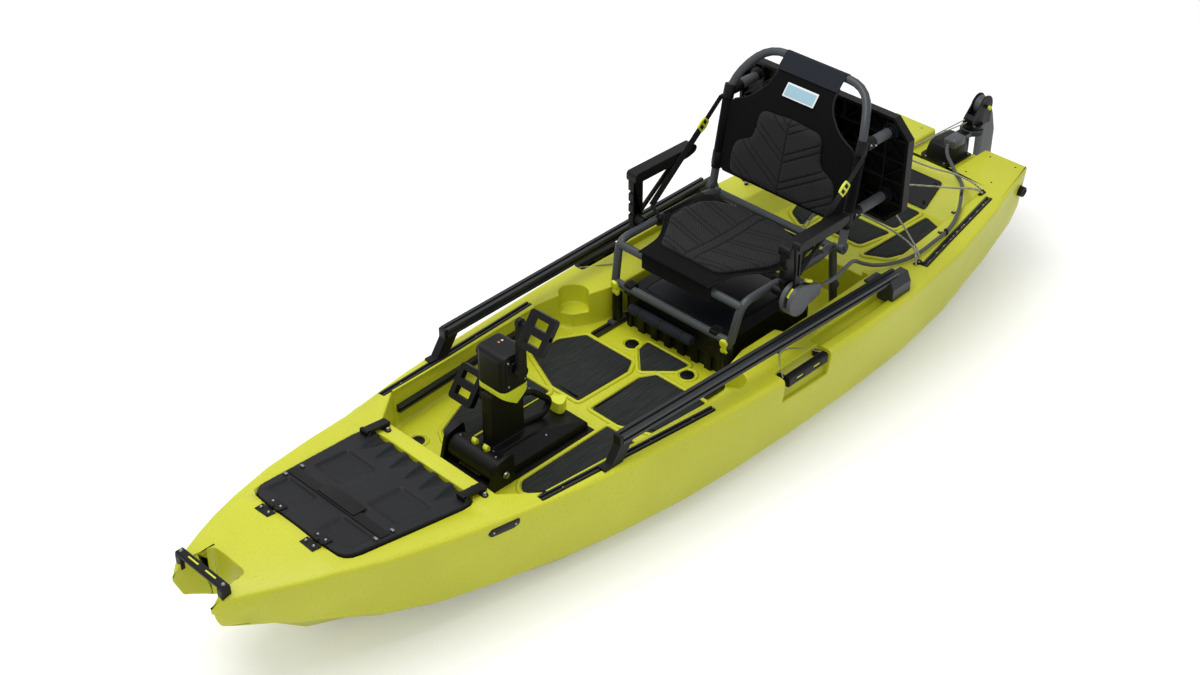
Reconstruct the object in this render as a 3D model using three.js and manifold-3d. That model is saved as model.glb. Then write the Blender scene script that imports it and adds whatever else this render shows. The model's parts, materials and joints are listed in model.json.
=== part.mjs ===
// Pedal kayak: a moulded hull with a fold-up pedal drive, a framed seat, a bow hatch and a rudder.
// Millimetres. +X is the bow, +Y the port side, +Z up. The origin is amidships on the keel.
import * as THREE from 'three';
import { mergeVertices } from 'three/addons/utils/BufferGeometryUtils.js';
import Module from 'manifold-3d';

const wasm = await Module();
wasm.setup();

// Gaps and shared sizes
const CLEAR = 0.3;
const PLAY = 1.5;
const OVERRUN = 40;
const WELD = 0.001;
const SCREW_RADIUS = 4;
const SCREW_HEIGHT = 2;
const SLOT_WIDTH = 8;
const SLOT_DEPTH = 6;

// Hull
const HULL_LENGTH = 3050;
const HULL_BEAM = 848;
const HULL_DEPTH = 350;
const GUNWALE_EDGE = 14;
const TUNNEL_DEPTH = 42;
const CROWN_HEIGHT = 16;
const FLOOR_Z = 190;
const COCKPIT_FRONT_X = 760;
const COCKPIT_REAR_X = -700;
const GUNWALE_WIDTH = 89;
const SEAT_LEDGE = 70;
const SEAT_BLOCK = 28;
const BULKHEAD_THICKNESS = 62;
const BULKHEAD_Z = 300;
const TANKWELL_Z = 245;
const TANKWELL_LENGTH = 435;
const TANKWELL_FRONT_INSET = 184;
const TANKWELL_REAR_INSET = 234;
const TANKWELL_FLARE = 45;
const TANKWELL_SLOPE = 110;
const STERN_CHANNEL_HALF = 94;
const STERN_CHANNEL_FRONT_X = -1330;
const STERN_CHANNEL_Z = 312;
const PLATFORM_Z = 340;
const BOW_NOTCH_HALF = 66;
const BOW_NOTCH_X = 1412;
const BOW_NOTCH_FLARE = 14;
const BOW_NOTCH_CORNER = 18;
const CUP_RADIUS = 45;
const CUP_X = -36;
const CUP_INSET = 119;
const CUP_DEPTH = 62;
const TROUGH_FRONT_X = -330;
const TROUGH_LENGTH = 320;
const TROUGH_INSET = 64;
const TROUGH_WIDTH = 44;
const TROUGH_DEPTH = 18;

// Bow handle
const BOW_HANDLE_X = 1487;
const BOW_HANDLE_HALF = 86;
const BOW_HANDLE_WIDTH = 24;
const BOW_HANDLE_THICKNESS = 12;
const BOW_HANDLE_Z = 392;
const BOW_FOOT_LENGTH = 26;

// Hatch
const HATCH_FRONT_X = 1215;
const HATCH_REAR_X = 817;
const HATCH_FRONT_Z = 367;
const HATCH_REAR_Z = 327;
const HATCH_FRONT_HALF = 181;
const HATCH_REAR_HALF = 215;
const HATCH_CORNER = 46;
const LID_THICKNESS = 30;
const LID_BEVEL = 4;
const LID_GAP = 5;
const LID_LEDGE = 20;
const LID_POCKET_DEPTH = 4;
const LID_GROOVE_DEPTH = 6;
const LID_GROOVE_LENGTH = 84;
const LID_GROOVE_PITCH = 58;
const LID_GROOVES = 6;
const WELL_FLOOR_Z = 140;
const HINGE_Y = 88;
const HINGE_WIDTH = 52;
const HINGE_LEAF = 32;
const HINGE_THICKNESS = 4;
const HINGE_RADIUS = 5;
const HINGE_PIN = 2.2;
const STRAP_X = 1086;
const STRAP_WIDTH = 25;
const STRAP_THICKNESS = 2.5;
const LATCH_Y = 188;
const LATCH_WIDTH = 26;
const LATCH_BACK = 28;
const LATCH_LENGTH = 74;
const LATCH_RISE = 11;
const LATCH_EYE = 8;
const LATCH_PIN = 2.5;
const LATCH_THICKNESS = 9;
const KEEPER_LENGTH = 16;
const KEEPER_HEIGHT = 9;

// Gear tracks
const TRACK_WIDTH = 18;
const TRACK_HEIGHT = 14;
const TRACK_PROUD = 2;
const FRONT_TRACK_FRONT_X = 693;
const FRONT_TRACK_FRONT_INSET = 115;
const FRONT_TRACK_FRONT_Z = 314;
const FRONT_TRACK_REAR_X = 92;
const FRONT_TRACK_REAR_INSET = 66;
const FRONT_TRACK_REAR_Z = 301;
const REAR_TRACK_GAP = 128;
const REAR_TRACK_FRONT_INSET = 69;
const REAR_TRACK_FRONT_Z = 319;
const REAR_TRACK_LENGTH = 440;
const REAR_TRACK_REAR_INSET = 144;
const REAR_TRACK_REAR_Z = 336;
const WALL_TRACK_Z = 250;
const WALL_TRACK_HEIGHT = 22;
const WALL_TRACK_WIDTH = 14;
const WALL_TRACK_FRONT_X = 650;
const WALL_TRACK_REAR_X = 105;
const SEAT_TRACK_INSET = 50;
const SEAT_TRACK_FRONT_X = -30;
const SEAT_TRACK_LENGTH = 636;
const SEAT_TRACK_WIDTH = 26;
const SEAT_TRACK_HEIGHT = 10;

// Side rails
const RAIL_TOP_Z = 391;
const RAIL_WIDTH = 30;
const RAIL_HEIGHT = 28;
const RAIL_FRONT_X = 435;
const RAIL_FRONT_INSET = 86;
const RAIL_REAR_X = -680;
const RAIL_REAR_INSET = 52;
const RAIL_LEG_WIDTH = 26;
const RAIL_LEG_FOOT_X = 468;
const RAIL_LEG_DEPTH = 38;
const RAIL_FOOT_LENGTH = 66;
const RAIL_CAP = 9;
const RAIL_BRACKET_LENGTH = 84;
const RAIL_BRACKET_OUT = 28;
const RAIL_FLANGE_REACH = 96;
const RAIL_FLANGE_THICKNESS = 7;

// Deck pads
const PAD_THICKNESS = 4;
const PAD_MID_LENGTH = 240;
const PAD_MID_MARGIN = 59;
const PAD_MID_REAR_X = -16;
const PAD_MID_INNER_Y = 24;
const PAD_FRONT_LENGTH = 355;
const PAD_FRONT_MARGIN = 69;
const PAD_FRONT_REAR_X = 252;
const PAD_FRONT_INNER_Y = 116;
const PAD_AFT_LENGTH = 200;
const PAD_AFT_WIDTH = 215;
const PAD_AFT_X = -870;

// Pedal drive
const DRIVE_PIVOT_X = 622;
const DRIVE_PIVOT_Z = 232;
const DOCK_HALF_WIDTH = 102;
const DOCK_REAR_X = 288;
const DOCK_FRONT_X = 676;
const DOCK_THICKNESS = 5;
const EAR_THICKNESS = 12;
const EAR_LENGTH = 66;
const EAR_TOP_Z = 286;
const PIVOT_PIN = 7;
const BOLT_RADIUS = 9;
const BOLT_HEIGHT = 5;
const SLOT_FRONT_X = 645;
const SLOT_REAR_X = 303;
const SLOT_HALF = 60;
const POCKET_RADIUS = 142;
const POCKET_TOP_Z = 86;
const BASE_REAR_X = 296;
const BASE_HALF_WIDTH = 86;
const BARREL_RADIUS = 35;
const BASE_REAR_HEIGHT = 30;
const BASE_FRONT_HEIGHT = 58;
const COLUMN_FRONT_X = 588;
const COLUMN_REAR_X = 472;
const COLUMN_WIDTH = 40;
const COLUMN_TOP_Z = 436;
const LOOP_REAR_X = 356;
const LOOP_TOP_Z = 352;
const LOOP_RADIUS = 10;
const HOUSING_FRONT_X = 573;
const HOUSING_REAR_X = 478;
const HOUSING_HALF = 52;
const HOUSING_BOTTOM_Z = 436;
const HOUSING_TOP_Z = 547;
const HOUSING_CORNER = 22;
const CAP_BAND = 16;
const CAP_APEX = 50;
const CRANK_X = 527;
const CRANK_Z = 500;
const CRANK_LENGTH = 155;
const CRANK_Y = 74;
const CRANK_THICKNESS = 14;
const CRANK_HUB = 19;
const AXLE_RADIUS = 9;
const PEDAL_INNER_Y = 97;
const PEDAL_WIDTH = 88;
const PEDAL_LENGTH = 104;
const PEDAL_THICKNESS = 20;
const PEDAL_AXLE = 6;
const PEDAL_TILT = 35;
const KNOB_X = 325;
const KNOB_RADIUS = 22;
const KNOB_HEIGHT = 34;
const KNOB_STEM = 8;
const LEVER_SHAFT = 5;
const LEVER_X = 612;
const LEVER_HEIGHT = 30;
const LEVER_SPACING = 44;
const LEG_PIVOT_X = 345;
const LEG_PIVOT_Z = 125;
const LEG_LENGTH = 255;
const LEG_HALF_WIDTH = 17;
const LEG_HALF_HEIGHT = 19;
const TRUNK_HALF_WIDTH = 34;
const LEG_PIN = 6;
const GEARCASE_RADIUS = 27;
const GEARCASE_LENGTH = 78;
const PROP_DROP = 75;
const PROP_RADIUS = 125;
const PROP_HUB = 17;
const PROP_CHORD = 34;
const PROP_THICKNESS = 5;
const PROP_SHAFT = 6;

// Seat
const SEAT_BOX_FRONT_X = -140;
const SEAT_BOX_LENGTH = 380;
const SEAT_BOX_INSET = 69;
const SEAT_BOX_TOP_Z = 316;
const SEAT_BOX_CORNER = 18;
const SEAT_TOOTH_DEPTH = 10;
const SEAT_TEETH = 7;
const SEAT_TUBE = 12.5;
const SEAT_RAIL_INSET = 30;
const SEAT_RAIL_Z = 460;
const SEAT_FRONT_X = -155;
const SEAT_REAR_X = -575;
const CLAMP_X = -128;
const CLAMP_Z = 336;
const POST_INSET = 48;
const POST_FOOT_X = -604;
const FOOT_PLATE = 8;
const FOOT_LENGTH = 60;
const WING_RADIUS = 26;
const SEAT_PAD_LENGTH = 388;
const SEAT_PAD_INSET = 21;
const SEAT_PAD_BOTTOM_Z = 460.4;
const SEAT_PAD_THICKNESS = 24;
const SEAT_PAD_CROWN = 7;
const SEAT_FLAP_DROP = 36;
const CHANNEL_DEPTH = 3;
const ROLL_X = -122;
const ROLL_Z = 276;
const ROLL_RADIUS = 19;
const ROLL_PORT_INSET = 104;
const ROLL_STARBOARD_INSET = 34;
const BACK_OUTSET = 13;
const BACK_LEAN = 152;
const BACK_TOP_Z = 895;
const BACK_TOP_TAPER = 64;
const BACK_KNEE_LEAN = 63;
const BACK_KNEE_Z = 800;
const BACK_CORNER = 69;
const BACK_PIN = 5;
const BACK_EYE = 18;
const BACK_PAD_BOTTOM_Z = 520;
const BACK_PAD_DROP = 5;
const BACK_PAD_THICKNESS = 26;
const BACK_PAD_CROWN = 8;
const SLEEVE_RADIUS = 16;
const PANEL_X = -775;
const PANEL_OUTSET = 67;
const PANEL_BOTTOM_Z = 470;
const PANEL_HEIGHT = 342;
const PANEL_THICKNESS = 28;
const PANEL_SKIN = 8;
const PANEL_CHAMFER = 56;
const PANEL_RIM = 10;
const PANEL_RIB = 5;
const PANEL_RIB_COLUMNS = 8;
const PANEL_RIB_ROWS = 5;
const STUB_RADIUS = 15;
const STUB_UPPER_Z = 765;
const STUB_LOWER_Z = 556;
const BACK_STRAP_WIDTH = 25;
const BACK_STRAP_THICKNESS = 2.4;
const ARM_OUTSET = 40;
const ARM_TOP_Z = 620;
const ARM_FRONT_X = -257;
const ARM_LENGTH = 263;
const ARM_WIDTH = 40;
const ARM_PAD_HEIGHT = 34;
const ARM_PLATE = 22;
const ARM_LEG_WIDTH = 42;
const ARM_PIVOT_X = -277;
const ARM_PIVOT_RADIUS = 15;
const ARM_DROP = 56;
const DRUM_X = -272;
const DRUM_Z = 464;
const DRUM_OUTSET = 39;
const DRUM_WIDTH = 40;
const DRUM_RADIUS = 46;
const DRUM_NOSE = 100;
const TILLER_HEIGHT = 172;
const TILLER_THICKNESS = 9;
const TILLER_HUB = 14;

// Stern and rudder
const SLOPE_PLATE_HALF = 104;
const SLOPE_PLATE_THICKNESS = 5;
const RUDDER_BASE_FRONT_X = -1378;
const RUDDER_BASE_LENGTH = 128;
const RUDDER_BASE_HALF = 62;
const RUDDER_BASE_TOP_Z = 374;
const RUDDER_FLANGE = 7;
const HOSE_CLAMP_LENGTH = 64;
const HOSE_CLAMP_WIDTH = 44;
const HOSE_CLAMP_Y = 34;
const HOSE_CLAMP_TOP_Z = 396;
const RUDDER_DISC_RADIUS = 38;
const TRANSOM_PLATE = 6;
const TRANSOM_PLATE_HALF = 30;
const TRANSOM_PLATE_HEIGHT = 84;
const RUDDER_AXIS_X = -1588;
const RUDDER_PIN = 7;
const GUDGEON_RADIUS = 20;
const GUDGEON_HEIGHT = 16;
const GUDGEON_Z = 362;
const RUDDER_CHEEK_HALF = 18;
const RUDDER_CHEEK = 5;
const KICK_X = -1628;
const KICK_Z = 429;
const KICK_PIN = 6;
const KICK_PIN_HALF = 26;
const BLADE_LENGTH = 420;
const BLADE_CHORD = 110;
const BLADE_THICKNESS = 14;
const BLADE_LEAD_X = -1612;

// Cords
const HOSE_RADIUS = 6;
const BUNGEE_RADIUS = 3;
const LINE_RADIUS = 2;

// Small hull fittings
const PLUG_X = -1494;
const PLUG_Z = 268;
const PLUG_RADIUS = 17;
const PLUG_LENGTH = 14;
const SIDE_HANDLE_X = -238;
const SIDE_HANDLE_LENGTH = 168;
const SIDE_HANDLE_Z = 284;
const SIDE_HANDLE_WIDTH = 24;
const SIDE_HANDLE_HEIGHT = 34;
const SIDE_RECESS_DEPTH = 52;
const SIDE_RECESS_DROP = 80;

// Widths that follow the beam
const beamHalf = HULL_BEAM / 2;
const cockpitHalf = beamHalf - GUNWALE_WIDTH;
const seatWellHalf = cockpitHalf - SEAT_LEDGE;
const tankwellFrontHalf = beamHalf - TANKWELL_FRONT_INSET;
const tankwellRearHalf = beamHalf - TANKWELL_REAR_INSET;
const cupY = beamHalf - CUP_INSET;
const troughY = beamHalf - TROUGH_INSET;
const frontTrackFrontY = beamHalf - FRONT_TRACK_FRONT_INSET;
const frontTrackRearY = beamHalf - FRONT_TRACK_REAR_INSET;
const rearTrackFrontY = beamHalf - REAR_TRACK_FRONT_INSET;
const rearTrackRearY = beamHalf - REAR_TRACK_REAR_INSET;
const rearTrackFrontX = RAIL_REAR_X - RAIL_BRACKET_LENGTH / 2 - REAR_TRACK_GAP;
const rearTrackRearX = rearTrackFrontX - REAR_TRACK_LENGTH;
const railFrontY = beamHalf - RAIL_FRONT_INSET;
const railRearY = beamHalf - RAIL_REAR_INSET;
const seatTrackY = seatWellHalf - SEAT_TRACK_INSET;
const seatBoxHalf = seatWellHalf - SEAT_BOX_INSET;
const rollPortY = seatBoxHalf - ROLL_PORT_INSET;
const rollStarboardY = ROLL_STARBOARD_INSET - seatBoxHalf;
const seatRailY = seatWellHalf - SEAT_RAIL_INSET;
const postY = seatWellHalf - POST_INSET;
const seatPadHalf = seatRailY - SEAT_PAD_INSET;
const backY = seatRailY + BACK_OUTSET;
const backPadHeight = BACK_TOP_Z - BACK_PAD_DROP - BACK_PAD_BOTTOM_Z;
const panelHalf = backY + PANEL_OUTSET;
const armY = backY + ARM_OUTSET;
const drumY = armY + DRUM_OUTSET;
const padMidWidth = cockpitHalf - PAD_MID_MARGIN - PAD_MID_INNER_Y;
const padFrontWidth = cockpitHalf - PAD_FRONT_MARGIN - PAD_FRONT_INNER_Y;

// Hull stations from bow to stern: x; sheer y, z; chine y, z; bottom y, z; keel z; tunnel; crown.
// x is a share of half the length, y of half the beam, z of the depth, the last two of their own heights.
const stationShares = [
  [1.0, 0.189, 0.986, 0.165, 0.886, 0.118, 0.829, 0.814, 0, 0.9],
  [0.984, 0.236, 1.034, 0.212, 0.829, 0.13, 0.757, 0.729, 0, 0.9],
  [0.951, 0.288, 1.051, 0.248, 0.757, 0.142, 0.686, 0.671, 0, 0.9],
  [0.918, 0.347, 1.049, 0.283, 0.729, 0.189, 0.629, 0.571, 0, 0.85],
  [0.872, 0.42, 1.043, 0.354, 0.714, 0.236, 0.529, 0.357, 0, 0.8],
  [0.82, 0.488, 1.031, 0.425, 0.686, 0.307, 0.457, 0.177, 0, 0.75],
  [0.734, 0.59, 0.994, 0.524, 0.663, 0.401, 0.314, 0.051, 0, 0.6],
  [0.636, 0.667, 0.951, 0.618, 0.6, 0.448, 0.171, 0, 0.5, 0.5],
  [0.538, 0.726, 0.909, 0.684, 0.563, 0.507, 0.1, 0, 1, 0.4],
  [0.393, 0.823, 0.889, 0.783, 0.52, 0.625, 0.043, 0, 1, 0.25],
  [0.262, 0.889, 0.874, 0.873, 0.514, 0.672, 0.014, 0, 1, 0.25],
  [0.131, 0.932, 0.863, 0.927, 0.523, 0.731, 0, 0, 1, 0.25],
  [0, 0.967, 0.857, 0.95, 0.531, 0.767, 0, 0, 1, 0.25],
  [-0.164, 0.995, 0.86, 0.967, 0.571, 0.778, 0, 0, 1, 0.25],
  [-0.328, 1, 0.869, 0.962, 0.603, 0.778, 0, 0, 1, 0.25],
  [-0.492, 0.986, 0.897, 0.939, 0.609, 0.755, 0.023, 0, 1, 0.3],
  [-0.656, 0.927, 0.934, 0.868, 0.634, 0.696, 0.063, 0.034, 1, 0.35],
  [-0.82, 0.802, 0.96, 0.743, 0.686, 0.618, 0.157, 0.129, 0.8, 0.35],
  [-1, 0.616, 0.983, 0.59, 0.571, 0.425, 0.271, 0.257, 0.5, 0.25],
];

// Half of the cockpit's outline from front to rear: x as a share of its length, y of its half width
const seatWellShare = seatWellHalf / cockpitHalf;
const seatBlockShare = (seatWellHalf - SEAT_BLOCK) / cockpitHalf;
const cockpitShares = [
  [1, 0.657], [0.932, 0.896], [0.541, 1], [0.479, 0.968], [0.469, 0.866],
  [0.4315, 0.782], [0.3685, seatBlockShare], [0.274, seatBlockShare], [0.267, seatWellShare],
  [0, seatWellShare],
];

// Pad outlines: x as a share of the pad's length, y of its width, from the inner rear corner
const midPadShares = [
  [0.18, 0], [0.995, 0.012], [1, 0.42], [0.74, 1], [0.3, 1], [0, 0.834], [0, 0.1],
];
const frontPadShares = [
  [0, 0], [0.93, 0.03], [1, 0.22], [0.93, 0.5], [0.62, 0.82], [0.16, 1], [0, 0.9],
];
const aftPadShares = [
  [0, 0.5], [0.35, 0.62], [1, 0.5], [1, -0.5], [0.35, -0.62], [0, -0.5],
];

// Colours
const material = (color, roughness, metalness) =>
  new THREE.MeshStandardMaterial({ color, roughness, metalness });
const hullGreen = material('#c9cb3c', 0.45, 0);
const accentGreen = material('#dfe245', 0.5, 0);
const blackPlastic = material('#1b1c1e', 0.55, 0);
const lidGrey = material('#434446', 0.7, 0);
const padGrey = material('#262a28', 0.95, 0);
const railGrey = material('#55595d', 0.35, 0.85);
const tubeGrey = material('#46494c', 0.4, 0.7);
const meshFabric = material('#1d1e20', 0.95, 0);
const webbing = material('#35363a', 0.9, 0);
const hoseGrey = material('#5f6163', 0.6, 0);
const cordGrey = material('#8d8f88', 0.9, 0);
const rubberBlack = material('#161718', 0.85, 0);
const steel = material('#a9acb0', 0.3, 1);

// Geometry to solid and back
const vec = (x, y, z) => new THREE.Vector3(x, y, z);

function solid(geometry) {
  const bare = geometry.clone();
  bare.deleteAttribute('normal');
  bare.deleteAttribute('uv');
  const welded = mergeVertices(bare, WELD);
  const place = welded.attributes.position;
  const corner = (i) => new THREE.Vector3().fromBufferAttribute(place, i);
  const faces = [];
  let volume = 0;
  for (let i = 0; i < welded.index.count; i += 3) {
    const [a, b, c] = [0, 1, 2].map((k) => welded.index.getX(i + k));
    if (a === b || b === c || c === a) continue;
    volume += corner(a).dot(corner(b).cross(corner(c)));
    faces.push([a, b, c]);
  }
  const outward = volume < 0 ? faces.map(([a, b, c]) => [a, c, b]) : faces;
  return new wasm.Manifold(new wasm.Mesh({
    numProp: 3,
    vertProperties: new Float32Array(place.array),
    triVerts: new Uint32Array(outward.flat()),
  }));
}

function geometryOf(body) {
  const mesh = body.getMesh();
  const geometry = new THREE.BufferGeometry();
  geometry.setAttribute('position', new THREE.BufferAttribute(mesh.vertProperties.slice(), 3));
  geometry.setIndex(new THREE.BufferAttribute(mesh.triVerts.slice(), 1));
  return geometry;
}

const join = (...bodies) => bodies.reduce((whole, body) => whole.add(body));
const cut = (body, ...tools) => tools.reduce((rest, tool) => rest.subtract(tool), body);
const moved = (body, x, y, z) => solid(geometryOf(body).translate(x, y, z));
const turned = (body, matrix) => solid(geometryOf(body).applyMatrix4(matrix));

// Cuts a body clear of another, which is pushed a gap's width along each named direction
function clearOf(body, other, directions = [[0, 0, 1]]) {
  const pushed = directions.map(([x, y, z]) => moved(other, x * CLEAR, y * CLEAR, z * CLEAR));
  return cut(body, other, ...pushed);
}
const EVERY_WAY = [[1, 0, 0], [-1, 0, 0], [0, 1, 0], [0, -1, 0], [0, 0, 1], [0, 0, -1]];

// Basic forms
function block(x0, x1, y0, y1, z0, z1) {
  const box = new THREE.BoxGeometry(Math.abs(x1 - x0), Math.abs(y1 - y0), Math.abs(z1 - z0));
  return solid(box.translate((x0 + x1) / 2, (y0 + y1) / 2, (z0 + z1) / 2));
}

function extruded(points, depth) {
  const shape = new THREE.Shape(points.map(([u, v]) => new THREE.Vector2(u, v)));
  return new THREE.ExtrudeGeometry(shape, { depth, bevelEnabled: false });
}

// Prisms along z, y and x from outlines in (x, y), (x, z) and (y, z)
const prismZ = (points, z0, z1) => solid(extruded(points, z1 - z0).translate(0, 0, z0));
function prismY(points, y0, y1) {
  const geometry = extruded(points, Math.abs(y1 - y0));
  return solid(geometry.rotateX(Math.PI / 2).translate(0, Math.max(y0, y1), 0));
}
function prismX(points, x0, x1) {
  const turn = new THREE.Matrix4().makeBasis(vec(0, 1, 0), vec(0, 0, 1), vec(1, 0, 0));
  const geometry = extruded(points, Math.abs(x1 - x0)).applyMatrix4(turn);
  return solid(geometry.translate(Math.min(x0, x1), 0, 0));
}

// A straight bar from a to b with an outline of (side, up) points
function bar(a, b, points) {
  const along = vec(...b).sub(vec(...a));
  const direction = along.clone().normalize();
  const side = vec(0, 0, 1).cross(direction).normalize();
  const up = direction.clone().cross(side);
  const basis = new THREE.Matrix4().makeBasis(side, up, direction).setPosition(vec(...a));
  return solid(extruded(points, along.length()).applyMatrix4(basis));
}

function rod(a, b, radius, sides = 16) {
  const start = vec(...a);
  const along = vec(...b).sub(start);
  const geometry = new THREE.CylinderGeometry(radius, radius, along.length(), sides);
  const turn = new THREE.Quaternion().setFromUnitVectors(vec(0, 1, 0), along.clone().normalize());
  return solid(geometry.applyQuaternion(turn).translate(...start.addScaledVector(along, 0.5)));
}
const rodY = (x, z, y0, y1, radius, sides) => rod([x, y0, z], [x, y1, z], radius, sides);
const rodZ = (x, y, z0, z1, radius, sides) => rod([x, y, z0], [x, y, z1], radius, sides);

function turnedForm(profile, sides) {
  const points = profile.map(([r, z]) => new THREE.Vector2(r, z));
  return solid(new THREE.LatheGeometry(points, sides).rotateX(Math.PI / 2));
}

// Rounds the corners of a plane outline with short curves
function rounded(points, radius, steps = 3) {
  const corners = points.map(([u, v]) => new THREE.Vector2(u, v));
  return corners.flatMap((corner, i) => {
    const before = corners[(i + corners.length - 1) % corners.length];
    const after = corners[(i + 1) % corners.length];
    const reach = Math.min(radius, corner.distanceTo(before) / 2.1, corner.distanceTo(after) / 2.1);
    const start = corner.clone().lerp(before, reach / corner.distanceTo(before));
    const end = corner.clone().lerp(after, reach / corner.distanceTo(after));
    const curve = new THREE.QuadraticBezierCurve(start, corner, end);
    return curve.getPoints(steps).map((p) => [p.x, p.y]);
  });
}

const rectangle = (u0, u1, v0, v1) => [[u0, v0], [u1, v0], [u1, v1], [u0, v1]];
const mirrored = (points) => [...points, ...points.map(([u, v]) => [u, -v]).reverse()];
const placed = (shares, x, y, length, width) => shares.map(([u, v]) => [x + u * length, y + v * width]);

// A path that has one ring at each of its points
class RingPath extends THREE.Curve {
  constructor(points) {
    super();
    this.points = points;
  }

  getPoint(t) {
    const last = this.points.length - 1;
    const i = Math.min(Math.floor(t * last), last - 1);
    return this.points[i].clone().lerp(this.points[i + 1], t * last - i);
  }

  getTangent(t) {
    const last = this.points.length - 1;
    const i = Math.round(t * last);
    const toward = (k) => this.points[k + 1].clone().sub(this.points[k]).normalize();
    const before = toward(Math.max(i - 1, 0));
    const after = toward(Math.min(i, last - 1));
    return before.add(after).normalize();
  }

  getUtoTmapping(u) {
    return u;
  }
}

function circle(radius, sides) {
  const angles = Array.from({ length: sides }, (_, i) => (i / sides) * 2 * Math.PI);
  return angles.map((angle) => new THREE.Vector2(radius * Math.cos(angle), radius * Math.sin(angle)));
}

function sweep(points, radius, sides) {
  const extrudePath = new RingPath(points);
  const settings = { steps: points.length - 1, extrudePath, bevelEnabled: false };
  return solid(new THREE.ExtrudeGeometry(new THREE.Shape(circle(radius, sides)), settings));
}

// A bent tube through corner points, each corner rounded to the bend radius
function bentTube(corners, bend, radius, sides = 12, steps = 5) {
  const points = corners.map((corner) => vec(...corner));
  const path = points.flatMap((point, i) => {
    if (i === 0 || i === points.length - 1) return [point];
    const before = points[i - 1];
    const after = points[i + 1];
    const reach = Math.min(bend, point.distanceTo(before) / 2.1, point.distanceTo(after) / 2.1);
    const start = point.clone().lerp(before, reach / point.distanceTo(before));
    const end = point.clone().lerp(after, reach / point.distanceTo(after));
    return new THREE.QuadraticBezierCurve3(start, point, end).getPoints(steps);
  });
  return sweep(path, radius, sides);
}

// A cord along a smooth route
function cord(route, radius, steps) {
  const curve = new THREE.CatmullRomCurve3(route.map((point) => vec(...point)), false, 'centripetal');
  return sweep(curve.getSpacedPoints(steps), radius, 8);
}

// A closed body from rings of equal counts, with flat ends
function loft(rings) {
  const count = rings[0].length;
  const place = rings.flat();
  const middle = (ring) => ring.reduce((sum, p) => sum.map((s, k) => s + p[k] / count), [0, 0, 0]);
  place.push(middle(rings[0]), middle(rings[rings.length - 1]));
  const faces = [];
  for (let i = 0; i < count; i += 1) {
    const j = (i + 1) % count;
    const end = (rings.length - 1) * count;
    faces.push([j, i, place.length - 2], [end + i, end + j, place.length - 1]);
    for (let k = 0; k + 1 < rings.length; k += 1) {
      const a = k * count;
      const b = a + count;
      faces.push([a + i, a + j, b + j], [a + i, b + j, b + i]);
    }
  }
  const geometry = new THREE.BufferGeometry();
  geometry.setAttribute('position', new THREE.Float32BufferAttribute(place.flat(), 3));
  geometry.setIndex(faces.flat());
  return solid(geometry);
}

const mix = (a, b, t) => a + (b - a) * t;
const radians = (degrees) => (degrees * Math.PI) / 180;

// The scene
const kayak = new THREE.Group();

function add(group, name, body, look, at = [0, 0, 0]) {
  const mesh = new THREE.Mesh(geometryOf(body).translate(-at[0], -at[1], -at[2]), look);
  mesh.name = name;
  mesh.position.set(...at);
  group.add(mesh);
}
const sideName = (side) => (side > 0 ? 'port' : 'starboard');

// Hull skin: a loft through the stations
function hullRing([x, sheerY, sheerZ, chineY, chineZ, bottomY, bottomZ, keelZ, tunnel, crown]) {
  const [px, beam] = [(x * HULL_LENGTH) / 2, HULL_BEAM / 2];
  const [sy, sz] = [sheerY * beam, sheerZ * HULL_DEPTH];
  const [cy, cz] = [chineY * beam, chineZ * HULL_DEPTH];
  const [by, bz, kz] = [bottomY * beam, bottomZ * HULL_DEPTH, keelZ * HULL_DEPTH];
  const [lift, rise] = [tunnel * TUNNEL_DEPTH, crown * CROWN_HEIGHT];
  const half = [
    [0, kz],
    [by * 0.3, mix(kz, bz, 0.08)],
    [by * 0.52, mix(kz, bz, 0.5) + lift],
    [by * 0.76, mix(kz, bz, 0.85)],
    [by, bz],
    [mix(by, cy, 0.72), mix(bz, cz, 0.3)],
    [cy, cz],
    [sy, sz - GUNWALE_EDGE],
    [sy - GUNWALE_EDGE * 0.25, sz - GUNWALE_EDGE * 0.3],
    [sy - GUNWALE_EDGE, sz],
    [sy * 0.62, sz + rise * 0.6],
    [0, sz + rise],
  ];
  const port = half.map(([y, z]) => [px, y, z]);
  const starboard = half.slice(1, -1).reverse().map(([y, z]) => [px, -y, z]);
  return [...port, ...starboard];
}

// A well whose floor outline and rim outline differ
function well(floorOutline, floorZ, rimOutline, rimZ) {
  const floor = floorOutline.map(([x, y]) => [x, y, floorZ]);
  const over = OVERRUN / (rimZ - floorZ);
  const rim = rimOutline.map(([x, y], i) => [
    x + (x - floorOutline[i][0]) * over,
    y + (y - floorOutline[i][1]) * over,
    rimZ + OVERRUN,
  ]);
  return loft([floor, rim]);
}

// The hatch lies in a plane that rises to the bow
const hatchLength = HATCH_FRONT_X - HATCH_REAR_X;
const hatchPitch = Math.atan2(HATCH_FRONT_Z - HATCH_REAR_Z, hatchLength);
const hatchMiddle = [(HATCH_FRONT_X + HATCH_REAR_X) / 2, 0, (HATCH_FRONT_Z + HATCH_REAR_Z) / 2];
const hatchFrame = new THREE.Matrix4().makeRotationY(-hatchPitch).setPosition(...hatchMiddle);
const hatchHalf = (x) =>
  mix(HATCH_REAR_HALF, HATCH_FRONT_HALF, (x - HATCH_REAR_X) / hatchLength);
const hatchLocal = (x) => (x - hatchMiddle[0]) / Math.cos(hatchPitch);

function lidOutline(grow) {
  const front = hatchLocal(HATCH_FRONT_X) + grow;
  const rear = hatchLocal(HATCH_REAR_X) - grow;
  const half = [
    [front, HATCH_FRONT_HALF + grow],
    [rear, HATCH_REAR_HALF + grow],
  ];
  return rounded(mirrored(half), HATCH_CORNER + grow, 4);
}

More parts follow.
